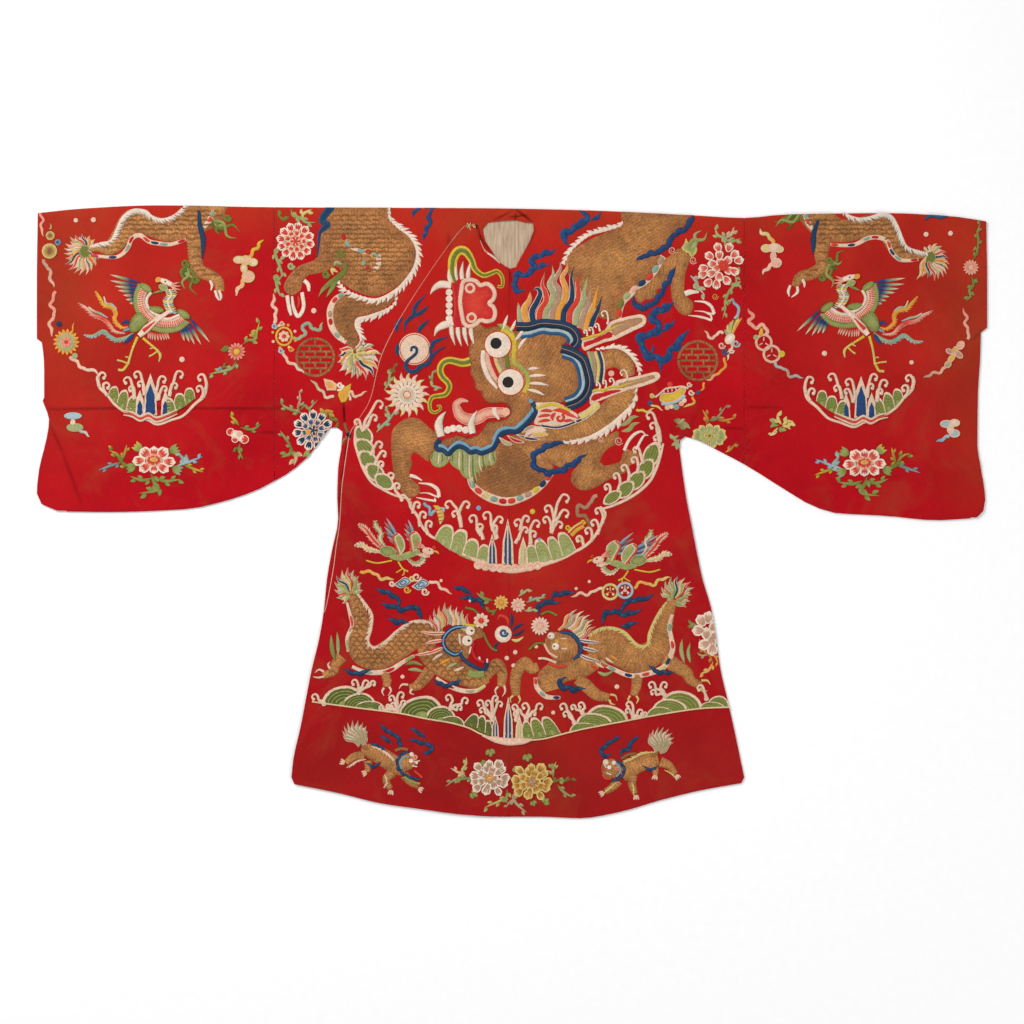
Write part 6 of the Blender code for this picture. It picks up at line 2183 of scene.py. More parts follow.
# Size of each row of a wave: its rim, then ground and line by turns
WAVE_ROWS = (1, 0.88, 0.76, 0.72, 0.6, 0.56, 0.44, 0.4, 0.28)
WAVE_STEP = 0.14       # levels of embroidery from one row of a wave to the next


def wave(work, outline, foot, level=2, threads=("moss", "leaf")):
    """A green wave: rows of thread inside its outline, each nearer to its foot."""
    for k, share in enumerate(WAVE_ROWS):
        ring = [(foot[0] + share * (x - foot[0]), foot[1] + share * (y - foot[1])) for x, y in outline]
        thread = threads[k % 2 == 0] if k else "cream"
        work.shape(ring, thread, level=level + WAVE_STEP * k, straight=True, high=0.02, fill=3.0, step=2.2)


def crest(work, low_a, low_b, top_a, top_b, level=2, threads=("leaf", "sage")):
    """A wave like a rounded column, between two places at its foot and two at its top."""
    def mix(a, b, t):
        return a[0] + t * (b[0] - a[0]), a[1] + t * (b[1] - a[1])

    outline = []
    for k in range(13):
        across, up = -cos(pi * k / 12), sin(pi * k / 12)
        share = 0.5 + 0.5 * abs(across) ** 0.7 * (1 if across > 0 else -1)
        outline.append(mix(mix(low_a, low_b, share), mix(top_a, top_b, share), 1.14 * up ** 0.7))
    wave(work, outline, mix(low_a, low_b, 0.5), level, threads)


def lobe(work, x, y, long, short, turn, level=2):
    """A green leaf-shaped wave with a cream rim and fine dark lines along it."""
    for share, thread, up in ((1, "cream", 0), (0.78, "moss", 0.4)):
        a, b = share * long, share * short
        ring = [(-a, 0.25 * b), (-0.5 * a, -0.8 * b), (0.35 * a, -b), (a, -0.2 * b), (0.5 * a, 0.8 * b),
                (-0.35 * a, b)]
        work.shape(turned(x, y, ring, turn=turn), thread, level=level + up, grain=turn, step=1.8, high=0.05,
                   fill=3)
    for k in (-0.5, -0.17, 0.17, 0.5):
        line = [(-0.6 * long, (k + 0.15) * short), (0, k * short), (0.6 * long, (k - 0.15) * short)]
        work.band(turned(x, y, line, turn=turn), 0.7, "leaf", level=level + 0.8, rows=3, high=0.1)


def foam(work, chain, width, hooks):
    """A cream line of foam with the curls that spring from it: x, y, radius and stem."""
    if chain:
        work.band(chain, width, "cream", level=2)
    for x, y, radius, stem in hooks:
        hook(work, x, y, radius, 2.7, "cream", stem, level=3)


def spray(work, foot, curls):
    """Foam thrown up from one place: a stem for each curl, and a thick foot where they meet."""
    for x, y, radius in curls:
        way = 1 if foot[0] > x else -1
        bend = (x + 0.6 * (foot[0] - x) + 0.4 * way * radius, y + 0.55 * (foot[1] - y))
        hook(work, x, y, radius, 2.5, "cream", ((x + 1.15 * way * radius, y + 0.8 * radius), bend, foot),
             level=9)
    work.disc(foot[0], foot[1], 2.4, "cream", level=8.5, high=0.2)


def mountain(work, x, top, base, half, thread, core, level=4):
    """A rock of upright stripes inside a cream rim."""
    middle = 0.5 * (top + base)
    for grow, colour, inner, up in ((1, "cream", None, 0), (0.62, thread, core, 4)):
        side = half * grow
        work.shape([(x - side, base), (x - 0.85 * side, middle), (x, top + up), (x + 0.85 * side, middle),
                    (x + side, base)], colour, inner, level=level, straight=True, grain=90)
        level += 2
    work.band([(x, top + 7), (x, base)], 0.2 * half + 0.4, "cream", level=level, rows=3)


def dome(work, low, high, x, top, base_low, base_high, level=2):
    """A green wave that rises from its two ends to a top."""
    outline = []
    for k in range(13):
        angle = pi * k / 12
        reach, base = (x - low, base_low) if k < 6 else (high - x, base_high)
        outline.append((x - reach * cos(angle), base + (top - base) * sin(angle)))
    foot = (0.5 * (low + high), 0.5 * (base_low + base_high))
    wave(work, outline, foot, level, ("olive", "leaf") if x < CHART_X else ("moss", "leaf"))


def chest_waves(floss):
    """The two chains of waves that climb on both sides of the great dragon."""
    for k, (x, y, long, short, turn) in enumerate((
        (363.5, 437, 9.6, 7, 62), (364.5, 449.5, 10, 7, 52), (368, 462, 10.4, 6.8, 58),
        (375, 474, 10, 6.6, 54), (384, 483, 9.4, 6.2, 46), (651, 457, 12, 6.8, -62),
        (645, 471, 10.5, 6.6, -48), (636, 482, 10, 6.4, -42), (625, 491, 9.4, 6, -36),
        (612, 499, 9, 4.8, -28),
    )):
        lobe(floss, x, y, 1.22 * long, 1.2 * short, turn, level=1 + 0.9 * (k % 5))
    foam(floss, [(355, 434), (355, 445), (359, 459), (364, 472), (372, 484), (383, 491), (395, 497),
                 (411, 501)],
         [2, 2.6, 2.6, 2.6, 2.6, 2.6, 2, 1.4], (
             (379, 407, 4.5, ((370, 415), (365, 423), (364, 432))), (374, 420, 3.4, ((369, 424), (366, 430))),
             (357, 424, 3, ((361, 428), (363, 433))), (379, 447, 3.8, ((373, 451), (371, 457))),
             (383, 456, 3.4, ((377, 460), (375, 466))), (381, 466, 3, ((378, 471), (377, 476))),
             (391, 478, 3.4, ((388, 483), (391, 490))), (397, 488, 3.2, ((396, 493), (401, 499))),
         ))
    foam(floss, [(663, 445), (660, 458), (656, 470), (650, 482), (640, 492), (628, 500), (613, 507),
                 (600, 511)],
         [2, 2.6, 3, 3, 3, 3, 2.6, 2], (
             (650, 418, 4.2, ((656, 424), (659, 432), (660, 444))), (653, 428, 3.6, ((657, 433), (659, 442))),
             (656, 440, 3, ((659, 445), (660, 450))), (636, 452, 3.4, ((641, 458), (643, 465))),
             (634, 462, 3.4, ((638, 468), (637, 475))), (624, 470, 3.4, ((629, 476), (628, 484))),
             (616, 478, 3.2, ((620, 484), (618, 492))), (607, 489, 3.2, ((610, 494), (608, 501))),
         ))


def waist_waves(floss):
    """The sea at the waist: foam, striped waves, mountains and jewels."""
    for k, corners in enumerate((
        ((491, 567), (473, 562), (491, 550), (479, 546)), ((476, 564), (459, 557), (481, 545), (466, 540)),
        ((462, 558), (446, 549), (470, 536), (454, 531)), ((450, 552), (434, 540), (456, 531), (440, 526)),
        ((526, 565), (541, 564), (525, 549), (536, 547)), ((539, 564), (553, 562), (532, 544), (546, 542)),
        ((552, 562), (565, 558), (545, 542), (557, 539)), ((563, 559), (576, 551), (555, 537), (569, 535)),
    )):
        crest(floss, *corners, level=1 + 1.2 * (k % 4))
    for rock in ((492, 535, 565, 5, "navy", "blue"), (523, 538, 566, 5, "straw", "sage"),
                 (507.6, 520, 566, 6, "navy", "blue")):
        mountain(floss, *rock)
    floss.band([(436, 540), (450, 550), (466, 557), (482, 564), (498, 569), (512, 571), (528, 569),
                (545, 565), (562, 560), (576, 553)], [2, 3, 3, 5, 7, 8, 7, 5, 3, 2], "rose", "cream", level=2)
    for k in range(9):
        x, y = 478 + 7.4 * k, 566.5 + 3.5 * sin(0.38 * k)
        floss.disc(x, y, 4.4, "rose", "cream", level=3, high=0.3)
        floss.band([(x - 2.6, y + 0.6), (x, y - 1.8), (x + 2.6, y + 0.6)], 0.8, "pink", level=5, rows=3,
                   step=1.2)
    foam(floss, [(411, 503), (411, 509), (417, 517), (422, 528), (430, 537), (437, 541)], [2, 3, 3, 3, 3, 2],
         (
        (403, 500, 3.4, ((409, 503), (411, 509))), (417, 507, 3.4, ((413, 511), (413, 515))),
        (423, 517, 3.6, ((419, 522), (420, 528))), (429, 526, 3.4, ((426, 530), (428, 536))),
        (449, 507, 4.4, ((457, 511), (460, 519), (461, 529))), (455, 516, 3.4, ((459, 520), (461, 527))),
        (466, 507, 4, ((460, 511), (458, 517))), (472.8, 521, 4.2, ((477, 528), (481, 534), (483, 541))),
        (480, 529, 3.4, ((477, 531), (481, 537))), (486.8, 518, 4.4, ((491, 526), (494, 533), (496, 541))),
        (499.4, 522, 3.8, ((493, 526), (493, 531))), (494, 530, 3.2, ((496, 535), (497, 540))),
        (517.7, 525, 4, ((521, 531), (519, 538), (515, 545))), (526, 521, 3.6, ((521, 526), (520, 532))),
        (525, 532, 3.2, ((520, 535), (518, 541))), (536, 526, 4, ((530, 531), (530, 537), (531, 545))),
        (533, 536, 3.4, ((530, 541), (530, 546))), (564.5, 501, 5, ((557, 506), (555, 516), (551, 534))),
        (564.5, 516, 4.6, ((558, 519), (555, 523))), (559, 527, 3.8, ((553, 530), (551, 535))),
        (548, 511, 4, ((553, 516), (554, 520))), (546, 522, 3.6, ((551, 526), (551, 531))),
    ))
    foam(floss, [(572, 554), (579, 551), (588, 545), (595, 537), (601, 526), (605, 515), (600, 508)],
         [2, 3, 3, 3, 3, 3, 2], (
             (598, 513, 3.4, ((603, 518), (602, 525))), (594, 525, 3.6, ((599, 530), (597, 536))),
             (588, 533, 3.6, ((592, 538), (591, 543))), (579, 541, 3.4, ((583, 545), (584, 549))),
         ))
    for x, y, r, thread in ((478.4, 509.5, 2.4, "sky"), (532.3, 513, 2.6, "yellow"), (539, 541, 2, "sky")):
        floss.disc(x, y, r, thread)
    floss.blade([(440, 526), (441, 518), (438, 510), (433, 507)], 6.5, ["straw", "yellow"], level=3)
    for k in range(4):
        floss.band([(435.4 + 0.5 * k, 512 + 3.6 * k), (441.6 + 0.5 * k, 511 + 3.6 * k)], 0.9, "coral",
                   level=5, rows=3)
    striped(floss, [(570, 536), (576, 530), (583, 526)], 7, ("orange", "yellow", "coral", "straw"), level=3)
    for x, y, r in ((568, 529, 3), (580, 540, 3.4), (583, 523.5, 2.4)):
        curl(floss, x, y, r, 1.8, "yellow")
    ribbon(floss, [(424, 504), (429, 510), (431, 516), (437, 511), (443, 511), (443, 516)], 3.4,
           ["sky", "pale_blue"])
    ribbon(floss, [(597, 497), (590, 503), (588, 508), (578, 508), (577, 515), (586, 519), (589, 524),
                   (586, 530)], 4.4,
           ["taupe", "dark_gold"])


def crane(work, x, y, flip=False, sweep=0, reach=1.0):
    """A long-necked bird in flight, drawn round (404, 553). Its wings can be swept back."""
    def at(*points):
        return turned(x, y, [(a - 404, b - 553) for a, b in points], flip=flip)

    for path, width, threads, rim in (
        (at((384, 552), (375, 543), (370, 537), (366, 531), (359, 526)), 4.6, "coral", "rose"),
        (at((386, 549), (380, 541), (381, 534), (376, 528), (375, 522)), 4.2, "cream", "sage"),
        (at((384, 554), (374, 552), (366, 550), (363, 546), (355, 547)), 4.2, "straw", "cream"),
    ):
        for side in (-1, 1):
            fringe(work, path, 0.8 * width, rim, tooth=2.2, side=side, level=1)
        work.blade(path, 0.55 * width, threads, level=3)
    for path, width in ((at((392, 562), (377, 564.5), (366, 562)), 1.6),
                        (at((398, 563), (402.6, 570), (408, 573)), 1.6),
                        (at((402.6, 570), (398, 573), (396, 574)), 1.2),
                        (at((404, 571), (404, 575), (402, 577)), 1.2)):
        work.band(path, width, "yellow", level=1, rows=3)
    for root, tips, cover in (
        ((402, 549), ((386, 519), (384, 523), (384, 528), (385, 533), (387, 538), (389, 542)),
         ((399, 555), (404, 550), (403, 542), (398, 537), (394, 540), (396, 547))),
        ((416, 546), ((408, 521), (405, 525), (404, 530), (404, 535), (406, 540)),
         ((412, 553), (418, 548), (420, 541), (415, 535), (410, 538), (411, 546))),
    ):
        for k, (tip_x, tip_y) in enumerate(tips):
            (tip,) = turned(*root, [(tip_x - root[0], tip_y - root[1])], reach, -sweep)
            middle = 0.45 * root[0] + 0.55 * tip[0] + 1, 0.45 * root[1] + 0.55 * tip[1]
            work.blade(at(root, middle, tip), 3.2, ["navy", "blue", "taupe", "white"],
                       "navy" if k % 2 else "sky", level=2)
        cover = turned(*root, [(px - root[0], py - root[1]) for px, py in cover], 1.16 * reach ** 0.5,
                       -0.6 * sweep)
        work.shape(at(*cover), "sage", "leaf", level=4, high=0.2, step=1.6, edge="cream", edge_width=1.1)
        edge = at(*cover[3:], cover[0])
        work.band(edge, 1.6, "coral", level=6, rows=3)
        work.band(at(*[(px + 2.6, py + 0.6) for px, py in (*cover[3:], cover[0])]), 1.2, "cream", level=6,
                  rows=3)
    oval(work, *at((388, 553))[0], 8, 5, -10 if flip else 10, "moss", "leaf", level=5, edge="sage",
         edge_width=1)
    for k in range(4):
        work.band(at((382 + 3.4 * k, 550), (385 + 3.4 * k, 553.5), (383 + 3.4 * k, 557)), 0.7, "sage",
                  level=8, rows=3)
    work.band(at((390, 558), (400, 559), (410, 556), (420, 553)), [4, 7, 7, 5], "sage", "leaf", level=5)
    for path, thread in ((at((407, 560), (415, 566), (422, 563), (425, 556)), "sage"),
                         (at((416, 555), (424, 557), (430, 557)), "rose")):
        fringe(work, path, 4, thread, tooth=2, side=1 if flip else -1, level=5)
        fringe(work, path, 3, "cream", tooth=2.4, side=-1 if flip else 1, level=6)
    oval(work, *at((428, 552.5))[0], 6, 3.6, -10 if flip else 10, "rose", "cream", level=8)
    work.blade(at((432, 552), (437, 553.5), (439, 556)), 2.4, "orange", level=9)
    for dy in (-3, -1, 1):
        work.blade(at((426, 549.5), (420, 548 + dy), (415, 548 + 1.8 * dy)), 1.8, ["rose", "coral"], level=9)
    curl(work, *at((434, 548.6))[0], 1.8, 1.3, "coral", level=9, flip=flip)
    work.disc(*at((429.5, 551.6))[0], 0.8, "black", level=11)


def waist_emblems(floss):
    """Cranes, clouds, jewels and small flowers between the waist and the two lower dragons."""
    crane(floss, 404, 553)
    crane(floss, 622, 562, flip=True, sweep=30, reach=1.2)
    for path in (
        [(375, 590), (387, 594), (397, 600), (400, 609)], [(380, 605), (393, 608), (404, 611), (413, 608),
                                                           (419, 613),
         (422, 622)], [(386, 620), (398, 623), (410, 624)], [(452, 588), (464, 591), (473, 596)],
        [(459, 599), (472, 600), (482, 604), (482, 612)], [(575, 594), (563, 595), (554, 597), (550, 602)],
        [(561, 604), (548, 604), (540, 607), (538, 617)], [(654, 596), (642, 601), (631, 602), (623, 607),
                                                           (622, 615)],
        [(642, 611), (625, 616), (613, 613), (604, 617), (602, 627)], [(619, 629), (629, 626), (639, 624)],
    ):
        cloud(floss, path, 5.6, "navy", "blue", level=1)
    ribbon(floss, [(360, 573), (373, 574), (381, 580), (394, 580)], 3.8, ["orange", "straw"])
    ribbon(floss, [(429, 583), (436, 584), (442, 590), (452, 595)], 3.4, ["cream", "rose"])
    for x, y in ((403, 584), (421, 586)):
        square = [(x - 9, y + 2), (x + 2, y - 6), (x + 9, y - 1), (x - 2, y + 6)]
        floss.shape(square, "pale_blue", level=2, straight=True, grain=30, high=0.2, edge="cream",
                    edge_width=0.8)
        for share in (0.72, 0.36):
            fret = [(x + share * (a - x), y + share * (b - y)) for a, b in square]
            floss.band([*fret, fret[0]], 0.9, "blue", level=4, rows=3)
    for x, y, r, thread in ((416.6, 578.5, 4.6, "cream"), (425, 593, 4, "cream"), (407, 591, 3.6, "orange"),
                            (392, 585, 3, "cream"), (412, 580, 3, "straw")):
        curl(floss, x, y, r, 2, thread, level=2)
    for x, y, thread, heart in ((610, 593.3, "straw", "coral"), (624.7, 591.8, "pale_blue", "rose")):
        tassel_ring(floss, x, y, 7.4, thread, level=2)
        floss.disc(x, y, 1.8, heart, level=4)
        for k in range(4):
            (px, py), = turned(x, y, [(4, 0)], turn=90 * k + 45)
            floss.disc(px, py, 1.1, "cream", level=3)
    ribbon(floss, [(634, 590), (638, 585), (645, 584), (652, 587), (660, 581), (670, 579)], 3.6,
           ["orange", "straw"])
    ribbon(floss, [(603, 590), (594, 592), (588, 596), (579, 595), (571, 599)], 3.4, ["cream", "rose"])
    for x, y, r, thread, heart in ((501, 604, 7.4, "straw", "orange"), (518, 606.5, 7.6, "cream", "rose")):
        daisy(floss, x, y, r, 11, [heart, thread], heart, level=3)
    sprig(floss, (
        ([(493, 602), (484, 600), (476, 594)], 5, ["moss", "leaf"]),
        ([(526, 604), (536, 600), (546, 599)], 4, ["teal", "sage"]),
        ([(518, 598), (525, 593), (529, 590)], 4, "sage"), ([(497, 611), (492, 613), (486, 612)], 4, "moss"),
        ([(524, 612), (530, 612), (535, 610)], 4, "sage"),
    ))
    for x, y in ((441, 582), (576, 590), (589, 583), (470, 602)):
        floss.disc(x, y, 1.6, "cream")


def skirt_gold(gold):
    """Couched bodies of the two lower dragons and of the two small beasts below them."""
    # Left dragon: tail and body, chest, legs and head
    gold.band([(351, 592), (358, 610), (361, 624), (357, 639), (362, 655), (378, 659), (396, 649), (414, 637),
               (430, 632), (442, 634)], [9, 15, 17, 19, 23, 25, 26, 26, 22, 12], "gold", "light_gold", rows=9)
    gold.band([(430, 640), (428, 652), (440, 664), (458, 674), (476, 680), (488, 678)],
              [10, 22, 25, 23, 20, 12], "gold", "light_gold", rows=9)
    gold.shape([(441, 640), (450, 630), (463, 629), (474, 628), (482, 631), (483, 638), (474, 642),
                (470, 651), (467, 661), (455, 660), (446, 653)], "gold", "light_gold", level=3, high=0.6)
    for path, widths in (
        ([(342, 658), (336, 665), (333, 673), (323, 677)], [12, 10, 9, 7]),
        ([(384, 672), (387, 682), (386, 688)], [9, 9, 7]), ([(430, 672), (424, 680), (417, 687), (409, 689)],
                                                            [13, 12, 10, 6]),
        ([(482, 681), (490, 673), (497, 665), (502, 675), (501, 688)], [10, 11, 11, 11, 8]),
    ):
        gold.band(path, widths, "gold", "light_gold", rows=7)
    # Right dragon
    gold.band([(674, 601), (667, 614), (663, 632), (655, 652), (637, 660), (617, 650), (602, 645),
               (588, 643)],
              [8, 15, 18, 25, 30, 33, 32, 22], "gold", "light_gold", rows=9)
    gold.band([(598, 660), (582, 668), (562, 672), (549, 681), (551, 692)], [16, 22, 24, 25, 18], "gold",
              "light_gold", rows=9)
    gold.shape([(545, 641), (550, 634), (560, 634), (570, 637), (577, 645), (577, 655), (570, 662),
                (558, 664), (551, 658), (545, 648)], "gold", "light_gold", level=3, high=0.6)
    for path, widths in (
        ([(538, 668), (531, 670), (525, 664), (517, 673), (515, 685), (516, 697)], [9, 11, 12, 12, 11, 8]),
        ([(577, 680), (586, 687), (596, 696), (609, 699)], [12, 13, 12, 8]),
        ([(664, 660), (677, 668), (686, 674), (691, 682), (701, 687)], [16, 14, 12, 10, 7]),
        ([(637, 676), (636, 688), (633, 697)], [12, 10, 7]),
    ):
        gold.band(path, widths, "gold", "light_gold", rows=7)
    # Two small beasts: body, head and legs
    for path, widths in (
        ([(361, 751), (372, 753), (385, 760), (396, 767), (406, 771)], [10, 16, 18, 18, 14]),
        ([(658, 760), (645, 763), (633, 768), (621, 776)], [12, 16, 18, 16]),
        ([(364, 757), (354, 758), (346, 764)], [10, 8, 6]), ([(368, 762), (368, 768), (367, 773)], [9, 7, 5]),
        ([(392, 774), (386, 781), (390, 790)], [10, 8, 6]), ([(404, 776), (411, 784), (418, 788)],
                                                             [10, 7, 5]),
        ([(660, 763), (669, 767), (675, 775)], [11, 8, 6]), ([(652, 766), (655, 771), (655, 776)], [9, 7, 5]),
        ([(632, 777), (632, 787), (635, 795)], [10, 8, 6]), ([(618, 782), (612, 789), (605, 793)],
                                                             [10, 8, 6]),
    ):
        gold.band(path, widths, "gold", "light_gold", rows=5)
    gold.disc(406, 763, 9, "gold", "light_gold", level=3)
    gold.disc(611, 770, 10, "gold", "light_gold", level=3)


def lower_dragon(floss, root, tail_tips, upper, under, fins, eyes, mane, horns, jaw, claws, greens, side):
    """The floss parts of one of the two dragons above the hem."""
    tuft(floss, root, tail_tips, 5.2, ("sage", "leaf", "coral", "sage", "straw", "leaf", "navy"), level=1)
    fringe(floss, upper, 4.6, "cream" if side > 0 else "straw", tooth=2.8, side=side, level=3)
    for path, threads, width in under:
        plates(floss, path, threads, width)
    for path, widths in fins[:-1]:
        cloud(floss, path, 1.3 * max(widths), "navy", "blue", level=4)
    path, widths = fins[-1]
    floss.band(path, widths, "navy", level=6)
    floss.band(path, 1.5, "sky" if side > 0 else "blue", level=8, rows=3)
    sprig(floss, greens, level=5, leaves=False)
    tuft(floss, mane[0], mane[1], 5, ("cream", "coral", "sage", "straw", "orange", "cream", "taupe"), level=4,
         spread=0.75)
    for path in horns:
        floss.blade(path, 4.2, "cream", level=6)
        floss.blade(path, 1.3, "coral" if side > 0 else "blue", level=8)
    for path, width, thread in jaw:
        floss.band(path, width, thread, level=7)
    for x, y, r in eyes:
        floss.disc(x, y, r + 0.7, "taupe", level=8)
        floss.disc(x, y, r, "white", level=9)
        floss.disc(x + 0.3 * r * side, y, 0.4 * r, "black", level=10)
    for path in claws:
        floss.band(path, [2.4, 2, 0.6], "cream" if side > 0 else "straw", level=4, rows=3)


def left_dragon(floss):
    """Floss work of the lower dragon at the left of the chart."""
    lower_dragon(
        floss, (351, 594),
        ((334, 583), (334, 591), (336, 599), (342, 605), (336, 576), (342, 571), (348, 568), (354, 571),
         (359, 577), (362, 584), (363, 592)),
        [(356, 592), (366, 604), (373, 616), (372, 630), (369, 642), (374, 648), (384, 643), (396, 632),
         (409, 623), (424, 621), (438, 627)],
        (([(347, 604), (350, 616), (352, 627), (347, 640), (348, 653)], ("cream", "coral", "cream", "sage"),
          3.6),
         ([(352, 668), (364, 673), (378, 674), (391, 671), (402, 664), (414, 657)],
          ("cream", "teal", "cream", "scarlet", "cream", "leaf"), 4.6),
         ([(436, 679), (448, 687), (462, 692), (476, 692), (485, 687)],
          ("cream", "scarlet", "cream", "sage", "straw"), 4.2)),
        (([(343, 670), (356, 675), (372, 671)], [2, 4, 2]), ([(433, 681), (446, 687), (462, 681)], [3, 4, 2]),
         ([(466, 628), (455, 629), (447, 634), (443, 642), (446, 651), (455, 656), (462, 652)],
          [3, 5, 5, 5, 5, 5, 3])),
        ((470, 632, 4.4), (467, 642, 5)),
        ((451, 630), ((434, 610), (439, 607), (445, 603.5), (451, 606), (457, 608), (463, 611), (468, 615),
                      (430, 616))),
        ([(448, 634), (434, 635), (418, 633)], [(446, 648), (430, 654), (412, 657)],
         [(446, 641), (434, 643), (424, 645)]),
        (([(459, 653), (463, 660), (472, 667), (484, 671), (487, 664)], 4, "navy"),
         ([(483, 634), (487, 643), (492, 650),
          (497, 652)], 2.2, "moss"), ([(479, 616), (473, 611), (465, 609)], 2.2, "moss"),
         ([(474, 644), (472, 652), (476, 660), (484, 664)], 3.4, "scarlet"),
         ([(471, 648), (469, 655)], 1.6, "white"), ([(479, 658), (480, 663)], 2, "white"),
         ([(487, 660), (487, 666)], 1.8, "white"), ([(468, 674), (476, 676), (484, 675)], 7, "leaf"),
         ([(459, 635), (460, 645)], 2.2, "cream"), ([(465, 626), (474, 627), (482, 626)], 2.6, "yellow")),
        ([(324, 673), (319, 671), (315, 674)], [(324, 678), (318, 679), (313, 678)],
         [(330, 670), (328, 666), (330, 663)], [(384, 689), (382, 693), (384, 697)],
         [(389, 688), (391, 692), (388, 697)], [(408, 686), (402, 686), (399, 690)],
         [(412, 690), (410, 694), (414, 696)], [(498, 688), (495, 692), (497, 698)],
         [(504, 687), (505, 693), (502, 698)]),
        (([(335, 662), (332, 650), (331, 636)], 5, ["moss", "leaf"]),
         ([(338, 657), (338, 645), (337, 633)], 4, ["sage", "leaf"]),
         ([(405, 666), (414, 664), (423, 667)], 4, ["moss", "leaf"]),
         ([(408, 671), (416, 671), (425, 674)], 4, ["sage", "leaf"])),
        1)
    for k, (x, y) in enumerate(((437, 649), (443, 655), (450, 660), (457, 664), (464, 668))):
        floss.blade([(x, y), (x - 6, y + 3), (x - 11, y + 8 - k)], 3,
                    ("coral", "cream", "orange", "sage", "cream")[k], level=6)
    daisy(floss, 481, 622, 8, 9, ["rose", "white"], "coral", level=8)


def right_dragon(floss):
    """Floss work of the lower dragon at the right of the chart."""
    lower_dragon(
        floss, (674, 601),
        ((660, 594), (661, 588), (665, 582), (671, 578), (678, 577), (685, 579), (691, 583), (694, 589),
         (692, 596), (690, 603), (686, 609)),
        [(668, 600), (659, 611), (653, 622), (648, 635), (646, 646), (637, 645), (625, 633), (612, 628),
         (599, 629), (588, 636)],
        (([(672, 616), (669, 628), (671, 640), (672, 652), (664, 668), (648, 675), (630, 677), (612, 670),
           (600, 664)],
          ("rose", "teal", "cream", "coral", "cream", "navy", "straw", "cream", "coral", "cream", "navy",
           "cream", "teal", "coral"), 5),
         ([(535, 679), (537, 689), (546, 698), (560, 699)], ("coral", "cream", "teal", "cream", "navy"),
          4.6)),
        (([(567, 679), (560, 681), (562, 688), (571, 690), (586, 690)], [3, 5, 5, 4, 2]),
         ([(648, 666), (657, 673),
          (674, 674)], [2, 4, 3]), ([(560, 634), (570, 635), (577, 641), (581, 649), (579, 656), (573, 661)],
                                   [2, 4, 5, 5, 4, 2])),
        ((551, 637.3, 3.3), (555.3, 647.8, 3.4)),
        ((569, 634), ((571, 614), (577, 610.5), (584, 612), (590, 616), (594, 621), (596, 628))),
        ([(576, 641), (588, 643), (602, 644)], [(577, 655), (588, 660), (601, 663)],
         [(579, 648), (590, 651), (600, 653)]),
        (([(544, 645), (549, 654), (557, 659)], 2.6, "rose"),
         ([(541, 616), (548, 613), (557, 617)], 2.2, "moss"),
         ([(529, 651), (536, 645), (544, 645)], 2.2, "moss"),
         ([(538, 660), (545, 660), (556, 664)], 2.4, "cream"), ([(556, 641), (557, 645)], 2.6, "yellow"),
         ([(561, 640), (566, 640)], 1.6, "cream"), ([(561, 650), (567, 650)], 1.6, "cream"),
         ([(548, 664), (556, 668), (566, 667)], 3, "coral")),
        ([(513, 697), (510, 700), (511, 704)], [(518, 697), (520, 701), (518, 705)],
         [(610, 696), (615, 697), (617, 702)], [(609, 701), (611, 705), (615, 706)],
         [(701, 682), (707, 682), (710, 686)], [(700, 689), (703, 693), (707, 692)],
         [(630, 697), (628, 701), (630, 705)], [(636, 697), (638, 701), (636, 705)]),
        (([(684, 664), (681, 652), (682, 640)], 4.6, ["sage", "leaf"]),
         ([(690, 664), (688, 654), (690, 644)], 4, ["sage", "leaf"]),
         ([(597, 673), (605, 676), (614, 672)], 4, ["sage", "leaf"])),
        -1)
    daisy(floss, 540, 627.5, 9.5, 15, ["rose", "white"], "rose", level=8)
    for k in range(5):
        x, y = 590 + 5 * k, 666 - 2.4 * k
        floss.blade([(x, y), (x + 4, y + 3), (x + 9, y + 6)], 2.6,
                    ("coral", "cream", "sage", "cream", "orange")[k], level=6)


def pearls_and_edge(floss):
    """The flaming pearl between the dragons, loose dots, and the peony at the left side seam."""
    floss.disc(503, 635.5, 8.4, "cream", "white", level=3)
    curl(floss, 503.5, 634, 4.2, 2.6, "blue", level=5)
    sprig(floss, (
        ([(508, 628), (507, 620), (500, 617), (497, 622)], 3.4, "coral"),
        ([(511, 629), (512, 620), (510, 614)], 3.4, "navy"),
        ([(512, 633), (517, 628), (524, 625)], 3.4, "navy"),
        ([(512, 637), (519, 635), (525, 630)], 3.4, "navy"),
        ([(511, 641), (517, 642), (524, 638)], 3.4, "straw"),
        ([(499, 643), (495, 648), (498, 653)], 3, "navy"),
    ), level=2, leaves=False)
    for x, y, r in ((506.6, 659.4, 2.2), (515, 653.6, 2.2), (513.4, 667, 2.2), (402.4, 678, 2),
                    (496, 702, 1.8), (616.6, 688, 2.3), (553, 714, 2), (536, 648, 1.8)):
        floss.disc(x, y, r, "cream")
    for x, y, turn in ((701, 622, -120), (708, 619, -80), (698, 632, 180), (706, 635, -90), (704, 646, 150),
                       (711, 643, 90), (714, 628, -40), (712, 651, 90), (716, 637, 0)):
        petal(floss, x, y, 6.4, 5.4, turn, "white", ["taupe", "rose"], level=3)
    sprig(floss, (
        ([(699, 640), (702, 650), (710, 658), (713, 666)], 4, ["orange", "dark_gold"]),
        ([(713, 663), (708, 672), (700, 675)], 4,
         ["orange", "straw"]), ([(697, 627), (691, 625), (688, 621)], 5, ["leaf", "moss"]),
         ([(708, 656), (701, 657), (697, 654)], 3,
         "sage"), ([(712, 655), (716, 660), (718, 667)], 3, "orange"),
    ))


